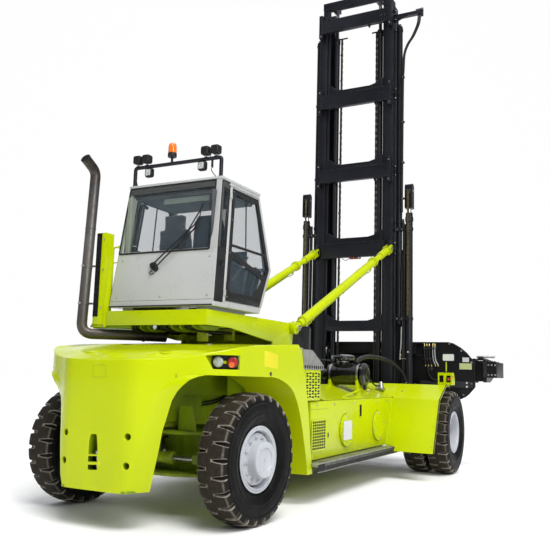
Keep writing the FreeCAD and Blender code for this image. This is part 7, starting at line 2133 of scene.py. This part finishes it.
# bright top edge and bolts of the side plates
K.box(6.366, 6.372, Y0S - 1.70, Y0S + 1.70, 2.232, 2.2450, STEEL, 0.001)
for s in (1, -1):
    q = lambda y, z: (XF - 0.004, Y0S + s * y, z)
    # edge lip along the curved outline
    out = [(1.70, 2.245), (2.18, 2.245), (2.27, 2.225), (2.40, 2.150), (2.52, 2.050), (2.63, 1.910), (2.66, 1.860), (2.66, 1.440), (2.56, 1.320), (2.50, 1.270), (2.30, 1.180), (2.10, 1.10)]
    K.pipe([(6.4005, Y0S + s * (y - 0.010), z - 0.008) for y, z in out], 0.006, BLACK, n=6, bend=0.06)
    for y, z in ((2.20, 2.215), (2.42, 2.085), (2.60, 1.88), (2.60, 1.50), (2.45, 1.30), (2.14, 1.16), (1.90, 2.20), (1.75, 1.15)):
        K.bolt(q(y, z), (-1, 0, 0), 0.013, STEEL, 0.009)
    # covers with their bolts on the plate
    f = lambda u, v, h: (XF - h, u, v)
    a, b = sorted((Y0S + s * 1.72, Y0S + s * 2.08))
    patch(K, rounded([(a, 1.30), (b, 1.30), (b, 1.46), (a, 1.46)], 0.02), f, 0.0, 0.008, BLACK)
    for y in (a + 0.03, b - 0.03):
        for z in (1.325, 1.435):
            K.bolt((XF - 0.008, y, z), (-1, 0, 0), 0.008, STEEL, 0.006)
    # pair of white bolts on the grey lower band
    for z in (1.511, 1.444):
        K.lathe([(0, 0), (0.017, 0), (0.017, 0.008), (0, 0.010)], (XF - 0.006, Y0S + s * 2.517, z), (-1, 0, 0), PLATE_W, 14)
    a, b = sorted((Y0S + s * 1.66, Y0S + s * 2.62))
    K.box(XF - 0.010, XF, a, b, 1.425, 1.530, GREYBAND, 0.003)
    # blank plates
    a, b = sorted((Y0S + s * 2.440, Y0S + s * 2.556))
    K.box(XF - 0.004, XF, a, b, 1.884, 1.966, PLATE_W, 0.001)
    a, b = sorted((Y0S + s * 2.384, Y0S + s * 2.606))
    K.box(XF - 0.004, XF, a, b, 1.752, 1.862, PLATE_G, 0.001)
# hose and pipe group with bright ends, left and right of the middle
for s in (1, -1):
    for k, y in enumerate((1.745, 1.790, 1.835, 1.900, 1.940)):
        yy = Y0S + s * y
        K.pipe([(XF - 0.020, yy, 2.175), (XF - 0.024, yy, 2.05), (XF - 0.026, yy + s * 0.012, 1.92), (XF - 0.022, yy + s * (0.02 + 0.01 * k), 1.82)], 0.0095 if k % 2 else 0.012, HOSE if k < 3 else STEEL, n=8)
        K.lathe([(0, 0), (0.014, 0), (0.014, 0.040), (0.009, 0.048), (0, 0.048)], (XF - 0.020, yy, 2.165), (0, 0, 1), BRASS, 8)
        K.lathe([(0, 0), (0.012, 0), (0.012, 0.034), (0, 0.034)], (XF - 0.022, yy + s * (0.02 + 0.01 * k), 1.795), (0, 0, 1), BRASS, 8)
    K.box(XF - 0.032, XF, *sorted((Y0S + s * 1.715, Y0S + s * 1.965)), 2.115, 2.140, CASTING, 0.003)
    K.box(XF - 0.034, XF, *sorted((Y0S + s * 1.720, Y0S + s * 1.975)), 1.925, 1.948, CASTING, 0.003)
    K.lathe([(0, 0), (0.034, 0), (0.034, 0.018), (0.026, 0.026), (0, 0.026)], (XF, Y0S + s * 1.861, 1.745), (-1, 0, 0), CASTING, 22)
    K.pipe([(XF - 0.02, Y0S + s * 1.80, 1.80), (XF - 0.030, Y0S + s * 1.83, 1.66), (XF - 0.024, Y0S + s * 1.90, 1.56), (XF - 0.016, Y0S + s * 2.02, 1.555)], 0.012, HOSE, n=8)
# rear of the beams between the side plates: stiffeners
for y in np.arange(-1.45, 1.50, 0.29):
    K.box(6.374, 6.400, Y0S + y - 0.006, Y0S + y + 0.006, 2.001, 2.214, BLACK, 0.001)
    K.box(6.374, 6.400, Y0S + y - 0.006, Y0S + y + 0.006, 0.781, 0.999, BLACK, 0.001)
K.done("spreader_details", "spreader", "black_paint")

K = Kit()
# housings: wear-pad pockets, end collars and conduits on the front and ends
for s in (1, -1):
    a, b = sorted((Y0S + s * 2.560, Y0S + s * 2.655))
    K.box(6.446, 6.706, a, b, 1.936, 1.948, BLACK, 0.003)
    K.box(6.6985, 6.708, a, b, 1.53, 1.94, BLACK, 0.002)
    for y in (a + 0.022, b - 0.022):
        for x in (6.50, 6.64):
            K.bolt((x, y, 1.948), (0, 0, 1), 0.010, STEEL, 0.008)
        for z in (1.62, 1.84):
            K.bolt((6.708, y, z), (1, 0, 0), 0.010, STEEL, 0.008)
for y in np.arange(-2.30, 2.35, 0.46):
    K.box(6.6985, 6.7045, Y0S + y - 0.10, Y0S + y + 0.10, 1.60, 1.86, BLACK, 0.002)
K.pipe([(6.52, Y0S - 2.50, 1.9465), (6.52, Y0S - 0.4, 1.9465), (6.50, Y0S, 1.960), (6.52, Y0S + 0.4, 1.9465), (6.52, Y0S + 2.50, 1.9465)], 0.011, HOSE, n=8, smooth=False)
K.pipe([(6.56, Y0S - 2.50, 1.9465), (6.56, Y0S + 2.50, 1.9465)], 0.009, HOSE, n=8, smooth=False)
for y in np.arange(-2.3, 2.4, 0.575):
    K.box(6.495, 6.585, Y0S + y - 0.010, Y0S + y + 0.010, 1.940, 1.960, CHAR, 0.002)
K.done("spreader_housing_details", "spreader", "black_paint")

for s, nm in ((-1, "right"), (1, "left")):
    K = Kit()
    Y = lambda y: Y0S + s * y
    # lock actuator on the end beam, rod, bolts, rounded grey nose
    def bx(x0, x1, y0, y1, z0, z1, m, c=0.004):
        K.box(x0, x1, min(Y(y0), Y(y1)), max(Y(y0), Y(y1)), z0, z1, m, c)
    bx(6.46, 6.66, 2.690, 2.802, 1.925, 1.962, BLACK, 0.006)
    bx(6.50, 6.62, 2.700, 2.780, 1.960, 1.992, CASTING, 0.006)
    K.rod((6.56, Y(2.66), 1.978), (6.56, Y(2.98), 1.978), 0.012, STEEL, 12)
    K.pipe([(6.46, Y(2.67), 1.995), (6.46, Y(2.80), 1.998), (6.46, Y(3.02), 1.996)], 0.005, STEEL, n=6)
    for y in (2.88, 2.93, 2.98):
        K.bolt((6.56, Y(y), 1.890), (0, 0, 1), 0.015, STEEL, 0.024)
        K.bolt((6.90, Y(y), 1.890), (0, 0, 1), 0.013, STEEL, 0.016)
    bx(6.47, 6.75, 2.866, 3.012, 1.890, 1.902, BLACK, 0.003)
    for y in (2.885, 2.945, 3.005):
        for z in (1.665, 1.84):
            K.bolt((6.4495, Y(y), z), (-1, 0, 0), 0.012, STEEL, 0.008)
    K.lathe([(0.036, 0), (0.060, 0.0), (0.060, 0.010), (0.052, 0.016), (0.036, 0.016)], (7.11, Y(2.945), 1.75), (1, 0, 0), CASTING, 30)
    K.lathe([(0.0355, 0), (0.039, 0.003), (0.039, 0.030), (0.0355, 0.033)], (7.205, Y(2.945), 1.75), (1, 0, 0), STEEL, 30)
    bx(6.420, 6.424, 2.802, 2.860, 1.62, 1.90, GREYBAND, 0.001)
    K.pipe([(6.60, Y(2.69), 1.93), (6.64, Y(2.76), 1.955), (6.72, Y(2.80), 1.950), (6.80, Y(2.88), 1.915)], 0.009, HOSE, n=8)
    K.done("telescope_end_details_" + nm, "telescope_" + nm, "black_paint")


# ---------------------------------------------------------------- axles and steering
# steer axle, steering cylinder and the rod ends in the darker lime: painted shade under the body
dress("steer_axle", LIME_SHADE_AND_SEAM, bevel=0.006)
dress("steer_cylinder", LIME_SHADE_AND_SEAM, bevel=0.003)
dress("steering_rod", STEEL, LIME_SHADE_AND_SEAM, pick=lambda x, y, z, n: 1 if abs(abs(y) - 0.63) < 0.045 and n.length > 0 and abs(y) > 0.55 and (abs(x + 0.175) > 0.034 or abs(z - 0.640) > 0.034) else 0, bevel=0.003)
dress("drive_axle", CASTING, bevel=0.010, seg=3)
dress("knuckle_right", CASTING, bevel=0.006)
dress("knuckle_left", CASTING, bevel=0.006)
dress("tow_pin", STEEL, bevel=0.003)

K = Kit()
# glands, clamps, kingpin caps and the gusset foot in the darker lime: painted shade under the body
for s in (1, -1):
    # cylinder glands, mounting clamps, ports and hoses
    K.lathe([(0.034, 0.0), (0.066, 0.0), (0.070, 0.008), (0.070, 0.075), (0.060, 0.088), (0.034, 0.088)], (-0.175, s * 0.2450, 0.640), (0, s, 0), LIME_SHADE_AND_SEAM, 36, closed=True)
    K.lathe([(0, 0.060), (0.018, 0.060), (0.018, 0.085), (0, 0.087)], (-0.175, s * 0.20, 0.640), (0, 0, 1), STEEL, 12)
    K.pipe([(-0.175, s * 0.20, 0.725), (-0.172, s * 0.19, 0.775), (-0.120, s * 0.13, 0.82), (-0.04, s * 0.10, 0.84), (0.018, s * 0.10, 0.84)], 0.012, HOSE, n=8)
    K.box(-0.225, -0.125, s * 0.10 - 0.02, s * 0.10 + 0.02, 0.700, 0.762, LIME_SHADE_AND_SEAM, 0.004)
    # kingpin caps with bolts and grease nipples
    for z, d in ((0.935, 1), (0.455, -1)):
        K.lathe([(0.0555, 0.001), (0.080, 0.001), (0.080, 0.030), (0.072, 0.037), (0.014, 0.037), (0.012, 0.044), (0, 0.044)], (0, s * 0.860, z + 0.0005 * d), (0, 0, d), LIME_SHADE_AND_SEAM, 32)
        K.lathe([(0.0555, 0.001), (0.0555, 0.0315), (0, 0.0315)], (0, s * 0.860, z + 0.0005 * d), (0, 0, d), LIME_SHADE_AND_SEAM, 32)
        for i in range(6):
            a = 2 * math.pi * i / 6
            K.bolt((0.060 * math.cos(a), s * 0.860 + 0.060 * math.sin(a), z + 0.0375 * d), (0, 0, d), 0.008, STEEL, 0.007)
    # foot of the gusset on the upper plate
    K.box(-0.20, -0.06, s * 0.385, s * 0.410, 0.9355, 1.18, LIME_SHADE_AND_SEAM, 0.004)
    for x in (-0.20, 0.08):
        for y in (0.30, 0.55):
            K.bolt((x if x > 0 else -0.15, s * y, 0.9355), (0, 0, 1), 0.014, STEEL, 0.010)
K.done("steer_axle_details", "chassis", "lime_paint")

K = Kit()
for s in (1, -1):
    # brake housing ribs and the ring of bolts, planetary hub caps
    for i in range(10):
        a = 2 * math.pi * i / 10
        K.bolt((5.625 + 0.215 * math.cos(a), s * 0.2425, 0.685 + 0.215 * math.sin(a)), (0, s, 0), 0.014, STEEL, 0.010)
    K.lathe([(0.201, 0), (0.222, 0.004), (0.222, 0.05), (0.201, 0.054)], (5.625, s * 0.96, 0.685), (0, s, 0), CASTING, 40)
    K.lathe([(0.201, 0), (0.214, 0.003), (0.214, 0.022), (0.201, 0.026)], (5.625, s * 0.62, 0.685), (0, s, 0), CASTING, 40)
    K.pipe([(5.45, s * 0.30, 0.80), (5.42, s * 0.40, 0.86), (5.46, s * 0.70, 0.88), (5.52, s * 0.95, 0.86)], 0.011, HOSE, n=8)
K.lathe([(0, 0), (0.150, 0), (0.160, 0.012), (0.160, 0.050), (0.120, 0.060), (0, 0.062)], (5.395, 0, 0.685), (-1, 0, 0), CASTING, 40)
for i in range(8):
    a = 2 * math.pi * i / 8
    K.bolt((5.358, 0.135 * math.cos(a), 0.685 + 0.135 * math.sin(a)), (-1, 0, 0), 0.012, STEEL, 0.009)
K.done("drive_axle_details", "chassis", "cast_iron")

K = Kit()
# frame: edge flanges, bolts at the bulkheads, hoses along the beam
for s in (1, -1):
    # edge flanges in the darker lime: painted shade under the body
    K.box(1.62, 5.08, s * 0.440, s * 0.500, 0.4545, 0.4605, LIME_SHADE_AND_SEAM, 0.001)
    for x in (-0.70, -0.35, 0.35, 0.62):
        K.bolt((x, s * 0.2805, 1.30), (0, s, 0), 0.016, STEEL, 0.011)
        K.bolt((x, s * 0.2805, 1.08), (0, s, 0), 0.014, STEEL, 0.010)
    K.pipe([(-0.70, s * 0.2965, 1.20), (0.0, s * 0.2965, 1.18), (0.60, s * 0.2965, 1.20), (0.90, s * 0.2965, 1.26)], 0.013, HOSE, n=8)
    K.pipe([(-0.70, s * 0.2965, 1.235), (0.0, s * 0.2965, 1.215), (0.60, s * 0.2965, 1.235), (0.90, s * 0.2965, 1.29)], 0.010, HOSE, n=8)
K.done("frame_details", "chassis", "lime_paint")


# ---------------------------------------------------------------- seat
def seat_piece():
    src = NODES["seat"]
    me = src.data.copy()
    ob = bpy.data.objects.new("seat_cushions", me)
    ob.matrix_world = src.matrix_world.copy()
    bpy.context.scene.collection.objects.link(ob)
    me.materials.clear()
    me.materials.append(CLOTH)
    orig = [v.co.copy() for v in me.vertices]
    r = ob.modifiers.new("even", "REMESH")
    r.mode = "VOXEL"
    r.voxel_size = 0.012
    s = ob.modifiers.new("soft", "SMOOTH")
    s.iterations = 14
    s.factor = 0.6
    dg = bpy.context.evaluated_depsgraph_get()
    new = bpy.data.meshes.new_from_object(ob.evaluated_get(dg))
    ob.modifiers.clear()
    ob.data = new
    new.materials.clear()
    new.materials.append(CLOTH)
    # seams and stitched channels, by how far the cloth stands out
    co = np.zeros(len(new.vertices) * 3)
    new.vertices.foreach_get("co", co)
    co = co.reshape(-1, 3)
    no = np.zeros(len(new.vertices) * 3)
    new.vertices.foreach_get("normal", no)
    no = no.reshape(-1, 3)
    X, Y, Z = co[:, 0] + OX, co[:, 1] + OY, co[:, 2]
    back = (Z > 2.78) & (Z < 3.20)
    base = (Z > 2.60) & (Z <= 2.78)
    ch = np.where(back, np.abs(np.sin((Z - 2.78) * math.pi / 0.105)), np.where(base, np.abs(np.sin((X - 0.14) * math.pi / 0.095)), 1.0))
    mid = np.clip((0.17 - np.abs(Y)) / 0.02, 0, 1)
    lift = -0.006 * (1 - ch ** 0.4) * mid - 0.005 * np.exp(-((np.abs(Y) - 0.17) / 0.008) ** 2) * (back | base)
    co = co + no * lift[:, None]
    new.vertices.foreach_set("co", co.reshape(-1))
    new.polygons.foreach_set("use_smooth", [True] * len(new.polygons))
    new.update()
    c = ob.modifiers.new("cloth", "CLOTH")
    c.settings.use_pressure = True
    c.settings.uniform_pressure_force = 4.0
    c.settings.effector_weights.gravity = 0.0
    c.settings.quality = 5
    c.settings.tension_stiffness = 25.0
    c.settings.compression_stiffness = 25.0
    c.settings.bending_stiffness = 0.6
    c.point_cache.frame_start = 1
    c.point_cache.frame_end = 20
    sc = bpy.context.scene
    for f in range(1, 21):
        sc.frame_set(f)
    dg = bpy.context.evaluated_depsgraph_get()
    sim = bpy.data.meshes.new_from_object(ob.evaluated_get(dg))
    out = np.zeros(len(sim.vertices) * 3)
    sim.vertices.foreach_get("co", out)
    out = out.reshape(-1, 3)
    if out.shape == co.shape:
        dv = out - co
        L = np.linalg.norm(dv, axis=1)
        cap = 0.007
        k = np.where(L > cap, cap / np.maximum(L, 1e-9), 1.0)
        co = co + dv * k[:, None]
    ob.modifiers.clear()
    bpy.data.meshes.remove(sim)
    sc.frame_set(1)
    new.vertices.foreach_set("co", co.reshape(-1))
    new.update()
    ob.modifiers.new("fine", "SUBSURF").levels = 1
    ob.modifiers["fine"].render_levels = 1
    dg = bpy.context.evaluated_depsgraph_get()
    fin = bpy.data.meshes.new_from_object(ob.evaluated_get(dg))
    ob.modifiers.clear()
    ob.data = fin
    fin.materials.clear()
    fin.materials.append(CLOTH)
    fin.polygons.foreach_set("use_smooth", [True] * len(fin.polygons))
    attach(ob, "chassis")
    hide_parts("seat")
    return ob


SEAT = seat_piece()

K = Kit()
# seat base, slides, arm rests, belt buckle
K.box(0.17, 0.55, -0.215, 0.215, 2.384, 2.42, BLACK, 0.006)
for s in (1, -1):
    K.box(0.24, 0.52, s * 0.262, s * 0.300, 2.885, 2.925, RUBBER, 0.012)
    K.pipe([(0.20, s * 0.281, 2.80), (0.22, s * 0.281, 2.87), (0.27, s * 0.281, 2.895)], 0.012, PLAST, n=8)
K.box(0.30, 0.36, -0.300, -0.262, 2.70, 2.78, PLAST, 0.005)
K.box(0.303, 0.357, -0.298, -0.264, 2.78, 2.795, LENS_R, 0.003)
K.done("seat_base_and_arm_rests", "chassis", "black_plastic")
